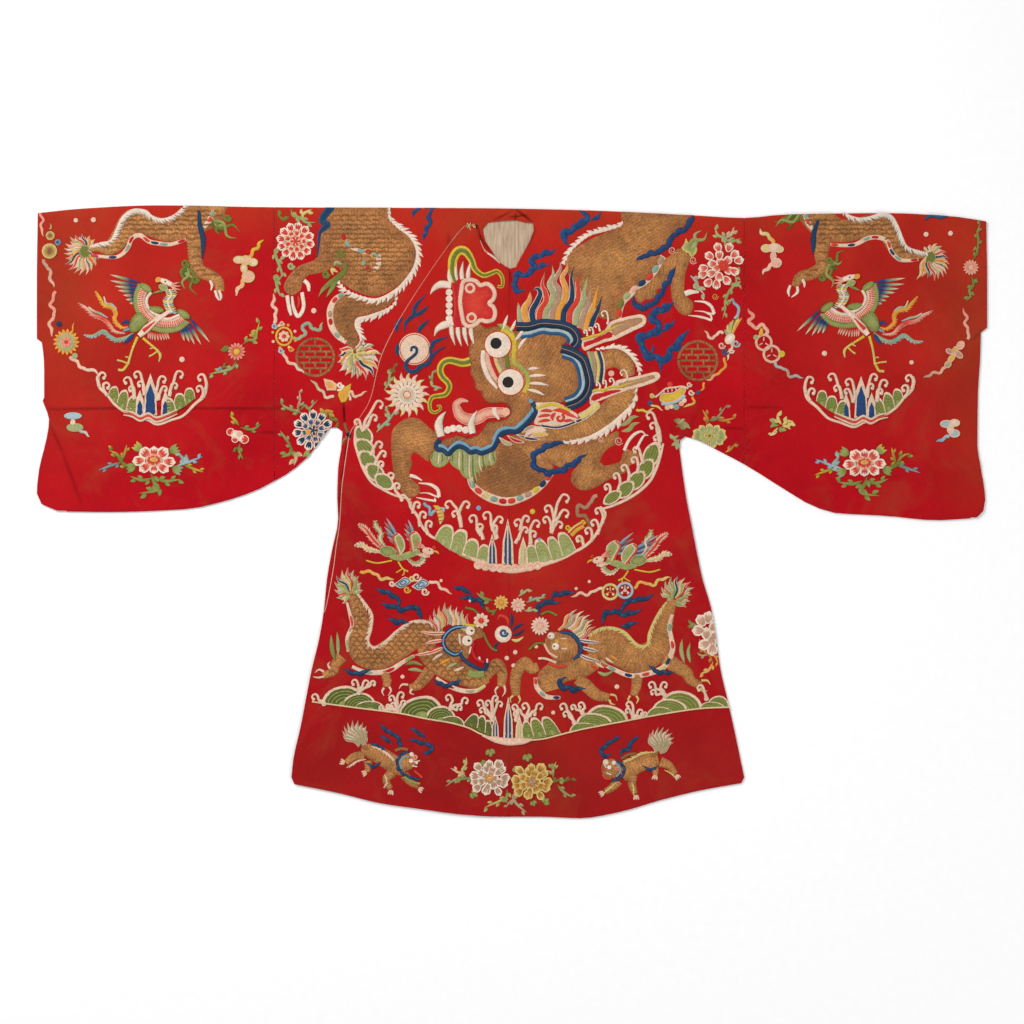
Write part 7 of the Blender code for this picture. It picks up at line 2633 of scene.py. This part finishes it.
def hem_waves(floss):
    """The band of waves above the hem."""
    ground = [(312, 703), (330, 705.5), (356, 709), (380, 712), (402, 715), (426, 720), (450, 724),
              (468, 729), (480, 735), (494, 740), (508, 743), (524, 742), (544, 740), (560, 736), (580, 731),
              (600, 727), (624, 722.5), (650, 717.5), (680, 712.5), (704, 709.5), (729, 708.5)]
    for low, high, x, top, order in (
        (440, 465, 453, 717, 0), (425, 457, 442, 707, 1), (398, 445, 427, 697, 2), (355, 386, 371, 702, 0),
        (342, 377, 362, 694, 1), (322, 368, 346, 687, 2), (569, 596, 580, 724, 0), (574, 612, 588, 714, 1),
        (582, 628, 602, 706, 2), (646, 672, 658, 708, 0), (650, 687, 667, 700, 1), (656, 702, 678, 692, 2),
        (699, 724, 710, 703, 0), (706, 729, 719, 697, 1),
    ):
        feet = [float(np.interp(end, *zip(*ground))) for end in (low, high)]
        dome(floss, low, high, x, top, *feet, level=3.4 - 1.2 * order)
    for k, corners in enumerate((
        ((494, 739), (481, 734), (492, 724), (484, 722)), ((485, 736), (472, 729), (487, 720), (478, 717)),
        ((477, 731), (463, 725), (480, 718), (470, 715)), ((522, 740), (536, 740), (521, 725), (530, 723)),
        ((534, 740), (548, 738), (528, 722), (540, 720)), ((546, 738), (561, 735), (539, 721), (552, 719)),
    )):
        crest(floss, *corners, level=4 + 1.2 * (k % 3), threads=("olive", "moss") if k < 3 else ("moss",
                                                                                                 "leaf"))
    for rock in ((495, 716, 739, 3.8, "navy", "blue"), (519, 715, 741, 4, "straw", "sage"),
                 (508, 698, 742, 5, "navy", "blue")):
        mountain(floss, *rock, level=7)
    floss.band([(482, 737), (495, 741), (508, 743), (522, 742.5), (532, 741)], [1, 6, 8, 7, 2], "rose",
               "cream", level=11)
    floss.band(ground, 1.6, "straw", "cream", level=10)
    for foot, curls in (
        ((324, 705), ((315, 699, 3.4),)), ((359, 694), ((354.6, 684.4, 3.2), (366, 685, 3.2),
                                                        (373, 685, 2.6))),
        ((397, 712), ((401, 697, 3.4), (391.6, 700, 3), (393, 706.6, 2.4), (403.4, 704.6, 2.6),
                      (381, 709.4, 2.2), (388, 708, 2))),
        ((450, 710), ((448.6, 699.6, 3.4), (465, 702.6, 3.4), (459.6, 709.4, 2.6))),
        ((492, 721), ((480, 705, 3.4), (488, 705, 3), (482, 712, 2.8), (495.4, 700, 2.8), (499.6, 706, 3))),
        ((516, 721), ((514.6, 709, 3), (516.6, 714, 2.4))),
        ((526, 721), ((525, 708, 3.4), (539.4, 708.6, 3.6), (533.4, 715, 2.6), (518.6, 713, 2.4))),
        ((574, 724), ((563, 708.6, 3.6), (565.6, 716, 3))), ((582, 714), ((581, 707, 3.2), (573, 709, 2.6))),
        ((633, 719), ((629, 706.6, 3.4), (627.6, 712.6, 2.6), (640, 714, 3), (645, 716, 2.2))),
        ((664, 696), ((651.6, 687, 3.6), (664, 686.8, 3.2), (653, 694, 2.8))),
        ((706, 700), ((700, 690, 3.4),)),
    ):
        spray(floss, foot, curls)


def beasts(floss):
    """Floss parts of the two small beasts below the waves."""
    for root, centre, way in (((361, 746), (355, 733), 1), ((658, 753), (661, 740), -1)):
        tips = [(centre[0] + 13 * sin(a), centre[1] - 12 * cos(a)) for a in np.linspace(-1.9, 1.5, 9) * way]
        tuft(floss, root, tips, 5.4, ("cream", "taupe", "cream", "sage"), level=3)
        floss.blade([root, (root[0] + 4 * way, root[1] + 3), (root[0] + 9 * way, root[1] + 5)], 5, "gold",
                    level=3)
    for path, width, side in (
        ([(371, 747), (381, 750), (391, 757), (396, 763)], 3, 1),
        ([(366, 760), (357, 762), (347, 768)], 2.6, -1), ([(384, 776), (386, 783), (383, 789)], 2.6, -1),
        ([(655, 754), (642, 756), (630, 762), (622, 765)], 3.4, 1),
        ([(664, 772), (670, 775), (674, 779)], 2.4, -1), ([(632, 783), (634, 790), (634, 796)], 2.4, 1),
        ([(616, 784), (610, 790), (604, 795)], 2.4, 1),
    ):
        fringe(floss, path, width, "cream" if path[0][0] < 500 else "straw", tooth=2.4, side=side, level=4)
    for path, width in (
        ([(366, 764), (374, 768), (381, 763)], 3.4), ([(370, 745), (378, 747), (386, 752)], 3),
        ([(642, 767), (650, 771), (658, 767)], 3.2), ([(409, 753), (401, 756), (397, 764), (400, 772),
                                                       (408, 778), (421, 781)], 3.4),
        ([(615, 761), (622, 766), (624, 773), (619, 780), (610, 783)], 3.2),
    ):
        cloud(floss, path, width, "navy", "blue", level=5)
    for path, width, thread in (
        ([(407, 757), (402, 760), (400, 765), (402, 770)], 1.5, "sky"),
        ([(615, 764), (619, 768), (620, 773), (616, 778)], 1.4, "sky"),
        ([(404, 778), (412, 783), (420, 785)], 2, "leaf"), ([(414, 772), (419, 776), (422, 779)], 2.2,
                                                            "coral"),
                                                            ([(602, 776), (606, 780), (611, 780)], 2.2,
                                                             "coral"),
                                                             ([(395, 752), (401, 750), (408, 751)], 3,
                                                              "gold"),
        ([(636, 755), (628, 756), (621, 760)], 3, "dark_gold"), ([(412, 767), (417, 768)], 1.2, "white"),
        ([(606, 774), (611, 776)], 1.2, "white"), ([(413, 763), (420, 762)], 1.2, "cream"),
        ([(603, 764), (606, 769)], 1.4, "cream"),
    ):
        floss.band(path, width, thread, level=7)
    for x, y, turn in ((344, 764, 200), (366, 774, 160), (391, 792, 100), (419, 790, 30), (676, 777, 50),
                       (655, 777, 100), (636, 797, 90), (603, 794, 150)):
        for k in (-1, 0, 1):
            floss.blade(turned(x, y, [(-1, 0.8 * k), (2, 1.8 * k), (4.4, 2.6 * k)], turn=turn), 2.4,
                        ["rose", "cream"], level=5)
    for x, y, r, thread, heart in (
        (415, 758.5, 2.6, "rose", "coral"), (411.5, 755.5, 2.2, "white", None),
        (411, 762, 2.2, "white", None), (411.5, 755.5, 1, "black", None), (411, 762, 1, "black", None),
        (416.5, 764, 1.5, "white", None), (605.5, 763.5, 3, "cream", "white"),
        (609, 768.5, 2.1, "white", None), (613.5, 764, 2.1, "white", None), (609, 768.5, 1, "black", None),
        (613.5, 764, 1, "black", None), (603.5, 770.5, 1.5, "coral", None), (617, 770, 2, "rose", "coral"),
    ):
        floss.disc(x, y, r, thread, heart, level=9)
    for path in (
        [(379, 725), (387, 732), (397, 738), (400, 746), (397, 752)], [(379, 737), (387, 741), (392, 746)],
        [(409, 729), (420, 735), (426, 741)], [(408, 740), (421, 744), (431, 747), (430, 753), (421, 755)],
        [(621, 738), (611, 743), (605, 748), (600, 753), (606, 757), (612, 755)],
        [(640, 738), (631, 743), (629, 750), (621, 753), (621, 759)],
    ):
        cloud(floss, path, 4.4, "navy", "blue", level=1)


def hem_peony(work, x, y, radius, thread, heart, edge, stems, leaves):
    """A many-petalled peony with its leaves and stems."""
    sprig(work, stems)
    for lx, ly, long, turn, green in leaves:
        for k in (-1, 1, 0):
            (px, py), = turned(lx, ly, [(0.3 * long * (1 - abs(k)), 0.36 * k * long)], turn=turn)
            oval(work, px, py, 0.44 * long, 0.3 * long, turn + 34 * k, green, "leaf",
                 level=2 + 0.4 * (k == 0))
    for ring, (count, out, size, turn) in enumerate(((11, 0.84, 0.25, 0), (8, 0.54, 0.24, 20),
                                                     (5, 0.26, 0.22, 0))):
        for k in range(count):
            angle = radians(360 * k / count + turn + 9 * sin(5 * k + ring))
            reach = out * radius * (1 + 0.1 * sin(3.7 * k + ring))
            px, py = x + reach * cos(angle), y + 0.92 * reach * sin(angle)
            petal(work, px, py, 1.1 * size * radius, size * radius * (0.92 + 0.14 * sin(2.3 * k)),
                  degrees(angle), thread, heart, level=3 + 0.8 * ring)
    for k in range(5):
        work.disc(x + 0.14 * radius * cos(1.3 * k), y + 0.14 * radius * sin(1.3 * k), 0.08 * radius, edge,
                  level=8)


def hem_flowers(floss):
    """The two peonies at the middle of the hem."""
    hem_peony(floss, 489.5, 779, 18.5, "white", "taupe", "orange", (
        ([(474, 779), (464, 780), (455, 781), (445, 788)], 4, ["moss", "sage"]),
        ([(466, 779), (462, 772), (466, 765), (466, 758)], 4,
         ["sage", "straw"]), ([(465, 774), (459, 774), (450, 769)], 4, ["orange", "cream"]),
        ([(507, 790), (506, 799), (498, 803), (484, 809)], 4.4, ["moss", "straw"]),
    ), ((490, 753, 7, 80, "moss"), (482, 764, 5, 40, "moss"), (498, 764, 5.4, -50, "moss"),
    (473, 795, 7, 30, "moss"),
        (458, 781, 4.4, 0, "moss"), (505, 801, 4.6, 60, "moss"), (478, 770, 5, 0, "orange")))
    hem_peony(floss, 531.5, 783, 19, "straw", ["brown", "orange"], "taupe", (
        ([(550, 785), (560, 781), (566, 782), (574, 779)], 4, ["moss", "dark_gold"]),
        ([(553, 780), (553, 771), (556, 763)], 4,
         ["moss", "straw"]), ([(557, 786), (563, 793), (573, 799)], 4, ["moss", "sage"]),
        ([(517, 791), (513, 799), (518, 807), (527, 814)], 4.4, ["taupe", "sage"]),
        ([(514, 800), (509, 804), (506, 809)], 3, "taupe"),
    ), ((527, 758, 7, 80, "moss"), (545, 803, 6.4, -40, "moss"), (533, 804, 5, 70, "moss"),
    (551, 768, 5, -60, "moss"),
        (561, 782, 5, 0, "moss"), (515, 770, 5, 40, "sage")))


# ---------------------------------------------------------------- edging and ties

CLOSING = [  # chart x and y, just outside the closing edge
    (464.2, 228), (454, 239.7), (432.1, 269.9), (407.2, 307.9), (391.6, 335.2), (379.9, 361.5),
    (370.2, 400.4), (358.6, 420.8), (350.3, 434), (347.3, 448.7), (343.4, 476), (341.5, 492),
    (339.5, 524.6), (336.1, 548), (333.2, 570.8), (327.4, 602), (324.4, 613.6),
]


def piping(work):
    """A rounded edging of pale silk beside the closing edge, worn through to red in places."""
    work.band(CLOSING, [0.5, 0.7, 0.7, 0.8, 0.7, 0.75], ["rose", "pink", "rose", "pink", "cream", "rose",
                                                         "cream", "rose"],
              level=5, high=0.6, rows=3, step=2.5)


def twisted(work, path, width, threads):
    """Two plies of thread that wind round each other along a path."""
    points, _ = smooth(path, 0.7)
    out = to_left(tangents(points))
    for ply, thread in enumerate(threads):
        swing = np.sin(1.15 * np.arange(len(points)) + pi * ply)
        work.band(points + 0.3 * width * swing[:, None] * out, 0.62 * width, thread, level=2 + ply, rows=3,
                  step=0.7, high=0.5)


def neck_tie(work):
    """The threads that close the robe by the neck: pale, frayed, with a dark knot."""
    twisted(work, [(465.5, 228), (468, 226), (470.5, 227.5), (473, 226.3), (475.5, 228.2)], 1.5,
            ("straw", "brown"))
    for path, width, thread in (
        ([(467, 224.8), (469, 228), (470.4, 232)], 0.8, "straw"),
        ([(471, 224.3), (468.8, 227.5), (467.4, 230)], 0.7, "cream"),
        ([(464, 228), (466.5, 227.5), (469, 229)], 0.6, "taupe"),
        ([(472, 226.4), (474, 229), (475.4, 229.2)], 0.7, "cream"),
        ([(476.6, 226.4), (476.2, 228.4), (477, 230.4)], 1.5, "black"),
        ([(470.4, 224.2), (471.6, 225.6)], 1.0, "black"),
    ):
        work.band(path, width, thread, level=4, high=0.5, rows=3, step=0.8)


def side_tie(work):
    """The cord that closes the robe by the arm: twisted and olive, with a dark knot and frayed ends."""
    twisted(work, [(344.8, 424.5), (345.2, 428), (346.2, 431), (347.6, 434.5)], 2.4, ("moss", "brown"))
    twisted(work, [(347.4, 438), (345.4, 439.6), (344, 442)], 2.4, ("taupe", "brown"))
    for path, width, thread, level in (
        ([(346.4, 435.4), (349, 434.6), (350.4, 436.6), (348.6, 438.8), (346.8, 437.4), (348.8, 436)], 1.3,
         "deep", 5),
        ([(347.6, 436), (350.4, 438.2)], 1.2, "black", 7), ([(344.6, 440.6), (342.9, 443.4), (342.2, 446)],
                                                            0.8, "taupe", 3),
        ([(345.2, 441), (344.6, 444), (343.6, 446.4)], 0.7, "dark_gold", 3),
        ([(348.6, 439), (350, 441.4)], 0.6, "taupe", 3), ([(343.9, 423.6), (344.6, 426), (344.4, 428)], 0.7,
                                                          "brown", 3),
    ):
        work.band(path, width, thread, level=level, high=0.5, rows=3, step=0.8)


# ---------------------------------------------------------------- stage

def light(name, place, size, turn, energy):
    """A square soft light over the robe."""
    lamp = bpy.data.lights.new(name, "AREA")
    lamp.shape = "SQUARE"
    lamp.size = size
    lamp.energy = energy
    made = new_object(name, lamp)
    made.location = place
    made.rotation_euler = (radians(turn[0]), radians(turn[1]), 0)


def stage(settings):
    """A plain pale surface under the robe, soft lights above it and a camera straight over it."""
    side = settings.floor / 2
    mesh = bpy.data.meshes.new("surface")
    corners = [(x * side, y * side, FLOOR) for x, y in ((-1, -1), (1, -1), (1, 1), (-1, 1))]
    mesh.from_pydata(corners, [], [(0, 1, 2, 3)])
    floor = new_object("surface", mesh)
    made, add, feed = shader("pale surface")
    place = add("TexCoord").outputs["Object"]
    grain = add("TexNoise", {"Vector": place, "Scale": 60.0, "Detail": 3.0})
    tone = add("MapRange", {"Value": grain.outputs["Fac"], "To Min": 0.9, "To Max": 0.94})
    pale = add("CombineColor", {0: tone.outputs[0], 1: tone.outputs[0], 2: tone.outputs[0]})
    feed(Base_Color=pale.outputs[0], Roughness=0.9)
    mesh.materials.append(made)
    world = bpy.data.worlds.new("studio")
    world.use_nodes = True
    world.node_tree.nodes["Background"].inputs["Color"].default_value = (1, 1, 1, 1)
    world.node_tree.nodes["Background"].inputs["Strength"].default_value = 0.55
    scene = bpy.context.scene
    scene.world = world
    scene.view_settings.view_transform = "Standard"
    for row in LIGHTS:
        light(*row, getattr(settings, row[0]))
    camera = bpy.data.cameras.new("camera")
    camera.lens = LENS
    camera.sensor_width = SENSOR
    over = new_object("camera", camera)
    over.location = (0, 0, CAMERA_HIGH)
    scene.camera = over


# ---------------------------------------------------------------- the add-on

FINISHES = {"dyed silk": silk_ground, "pale lining": lining_silk, "silk floss": floss_silk,
            "couched gold": couched_gold}


def finish_of(name):
    """The material of that name, made when it is first asked for."""
    return bpy.data.materials.get(name) or FINISHES[name]()


def dress_panel(node, finish, settings, dyes):
    panel = Robe.panel(node)
    made = cloth_mesh("cloth_" + node, panel, settings, dyes)
    made.data.materials.append(finish_of(finish))
    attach(made, "root")
    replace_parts(made, node)


def colour_property(name, description, value):
    """A colour that the user can change, whose default is given as on a screen."""
    return bpy.props.FloatVectorProperty(
        name=name, description=description, default=linear(value), subtype="COLOR", size=3, min=0, max=1)


class RobeDyes(bpy.types.PropertyGroup):
    """Colours of the dyed ground"""

    crimson: colour_property("Crimson", "Ground of the lower sleeves and the sides", DYES["crimson"])
    chest: colour_property("Chest", "Ground between the shoulders and the waist", DYES["chest"])
    faded: colour_property("Faded", "Ground along the shoulders, faded by light", DYES["faded"])
    cuff: colour_property("Cuffs", "Ground by the cuffs, brown with wear", DYES["cuff"])
    hem: colour_property("Hem", "Ground near the hem", DYES["hem"])
    seam: colour_property("Centre seam", "Ground beside the centre seam", DYES["seam"])


class RobeSettings(bpy.types.PropertyGroup):
    """Sizes of the robe's finish"""

    wall: bpy.props.FloatProperty(
        name="Cloth", description="Thickness of the silk with its lining", default=0.7 * MM, min=0.2 * MM,
        max=3 * MM, precision=4, subtype="DISTANCE", unit="LENGTH")
    scale_turn: bpy.props.FloatProperty(
        name="Scale turn", description="How far a couched scale may turn from its row", default=0.22, min=0,
        max=1.5, subtype="ANGLE", unit="ROTATION")
    seed: bpy.props.IntProperty(
        name="Seed", description="Chooses the turn and size of every scale and stitch", default=7, min=0)
    floor: bpy.props.FloatProperty(
        name="Floor", description="Side of the surface under the robe", default=9.0, min=3, max=40,
        subtype="DISTANCE", unit="LENGTH")
    key: bpy.props.FloatProperty(
        name="Key light", description="Power of the main light", default=150, min=0, subtype="POWER",
        unit="POWER")
    fill: bpy.props.FloatProperty(
        name="Fill light", description="Power of the softer light", default=50, min=0, subtype="POWER",
        unit="POWER")
    dyes: bpy.props.PointerProperty(type=RobeDyes, name="Dyes", description="Colours of the dyed ground")


class ROBE_OT_cloth(bpy.types.Operator):
    """Make the silk panels and the lining that shows through the neck"""

    bl_idname = "robe.cloth"
    bl_label = "Cloth"

    def execute(self, context):
        settings = context.scene.robe
        dyes = {name: np.array(getattr(settings.dyes, name)) for name in DYES}
        for node, rests_on in (
            ("right_body", ()), ("left_body", ()), ("front_overlap", ["cloth_right_body"]),
            ("right_sleeve", ()), ("left_sleeve", ()),
        ):
            dress_panel(node, "dyed silk", settings, dyes)
        dress_panel("neck_lining", "pale lining", settings, dyes)
        return {"FINISHED"}


class ROBE_OT_edging(bpy.types.Operator):
    """Make the piping of the closing edge and the two ties"""

    bl_idname = "robe.edging"
    bl_label = "Piping and ties"

    def execute(self, context):
        for name, draw, slot, on in (
            ("closure_piping", piping, "pale_piping", "right_body"),
            ("tie_neck", neck_tie, "tie_thread", None), ("tie_side", side_tie, "tie_thread", None),
        ):
            work = Work("finished_" + name)
            draw(work)
            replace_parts(work.lay(finish_of("silk floss"), on), name)
        edge_stitches(context.scene.robe)
        return {"FINISHED"}


class Embroider:
    """Draws the works of a group and lays each on the robe, in floss unless it is named as gold."""

    def execute(self, context):
        for name, draw in self.works:
            work = Work(name)
            draw(work)
            work.lay(finish_of("couched gold" if draw in GOLD_WORK else "silk floss"))
        return {"FINISHED"}


GOLD_WORK = (chest_gold, sleeve_gold, skirt_gold, roundels)


class ROBE_OT_chest(Embroider, bpy.types.Operator):
    """Embroider the great dragon and the waves beside it"""

    bl_idname = "robe.chest"
    bl_label = "Chest dragon"
    works = (("chest_gold", chest_gold), ("chest_head", chest_head), ("chest_trim", chest_trim),
             ("chest_waves", chest_waves))


class ROBE_OT_sleeves(Embroider, bpy.types.Operator):
    """Embroider the dragons, phoenixes, waves and peonies of the sleeves"""

    bl_idname = "robe.sleeves"
    bl_label = "Sleeves"
    works = (("sleeve_gold", sleeve_gold), ("left_sleeve_work", left_sleeve),
             ("right_sleeve_work", right_sleeve))


class ROBE_OT_shoulders(Embroider, bpy.types.Operator):
    """Embroider the shoulders: a dragon, clouds, flowers, emblems and two fret roundels"""

    bl_idname = "robe.shoulders"
    bl_label = "Shoulders"
    works = (("left_shoulder_work", left_shoulder), ("right_shoulder_work", right_shoulder),
             ("roundels", roundels))


class ROBE_OT_waist(Embroider, bpy.types.Operator):
    """Embroider the sea at the waist, the birds and the emblems under it"""

    bl_idname = "robe.waist"
    bl_label = "Waist"
    works = (("waist_waves", waist_waves), ("waist_emblems", waist_emblems))


class ROBE_OT_skirt(Embroider, bpy.types.Operator):
    """Embroider the two lower dragons and the pearl between them"""

    bl_idname = "robe.skirt"
    bl_label = "Skirt dragons"
    works = (("skirt_gold", skirt_gold), ("left_dragon", left_dragon), ("right_dragon", right_dragon),
             ("pearls_and_edge", pearls_and_edge))


class ROBE_OT_hem(Embroider, bpy.types.Operator):
    """Embroider the waves, the two small beasts and the peonies above the hem"""

    bl_idname = "robe.hem"
    bl_label = "Hem"
    works = (("hem_waves", hem_waves), ("beasts", beasts), ("hem_flowers", hem_flowers))


class ROBE_OT_scales(bpy.types.Operator):
    """Set couched scales in rows over the gold of the sleeves and the skirt"""

    bl_idname = "robe.scales"
    bl_label = "Couched scales"

    def execute(self, context):
        settings = context.scene.robe
        side, foot = chart(508, 708)
        # The first thread of each pair is the painted shadow under each scale's arc.
        couched_scales("skirt_scales", "skirt_gold", ("brown", "gold"), SCALE_WIDE, SCALE_HIGH, settings,
                       side, foot)
        couched_scales("sleeve_scales", "sleeve_gold", ("dark_gold", "gold"), ROW_WIDE, ROW_HIGH, settings)
        return {"FINISHED"}


class ROBE_OT_stage(bpy.types.Operator):
    """Set the surface, the lights and the camera"""

    bl_idname = "robe.stage"
    bl_label = "Stage"

    def execute(self, context):
        stage(context.scene.robe)
        return {"FINISHED"}


OPERATORS = (
    ROBE_OT_cloth, ROBE_OT_edging, ROBE_OT_chest, ROBE_OT_sleeves, ROBE_OT_shoulders, ROBE_OT_waist,
    ROBE_OT_skirt, ROBE_OT_hem, ROBE_OT_scales, ROBE_OT_stage,
)


class ROBE_PT_sidebar(bpy.types.Panel):
    """Sizes, dyes and pieces of the robe"""

    bl_label = "Dragon robe"
    bl_idname = "ROBE_PT_sidebar"
    bl_space_type = "VIEW_3D"
    bl_region_type = "UI"
    bl_category = "Robe"

    def draw(self, context):
        settings = context.scene.robe
        for name in ("wall", "scale_turn", "seed", "floor", "key", "fill"):
            self.layout.prop(settings, name)
        for name in DYES:
            self.layout.prop(settings.dyes, name)
        for operator in OPERATORS:
            self.layout.operator(operator.bl_idname)


CLASSES = (RobeDyes, RobeSettings, *OPERATORS, ROBE_PT_sidebar)


def register():
    """Adds the classes and the robe's settings."""
    for kind in CLASSES:
        bpy.utils.register_class(kind)
    bpy.types.Scene.robe = bpy.props.PointerProperty(type=RobeSettings, name="Robe",
                                                     description="Dragon robe")


def unregister():
    """Takes them away again."""
    del bpy.types.Scene.robe
    for kind in reversed(CLASSES):
        bpy.utils.unregister_class(kind)


def main():
    """Builds the robe and its stage."""
    register()
    bpy.ops.robe.cloth()
    bpy.ops.robe.edging()
    bpy.ops.robe.chest()
    bpy.ops.robe.sleeves()
    bpy.ops.robe.shoulders()
    bpy.ops.robe.waist()
    bpy.ops.robe.skirt()
    bpy.ops.robe.hem()
    bpy.ops.robe.scales()
    bpy.ops.robe.stage()


if __name__ == "__main__":
    main()
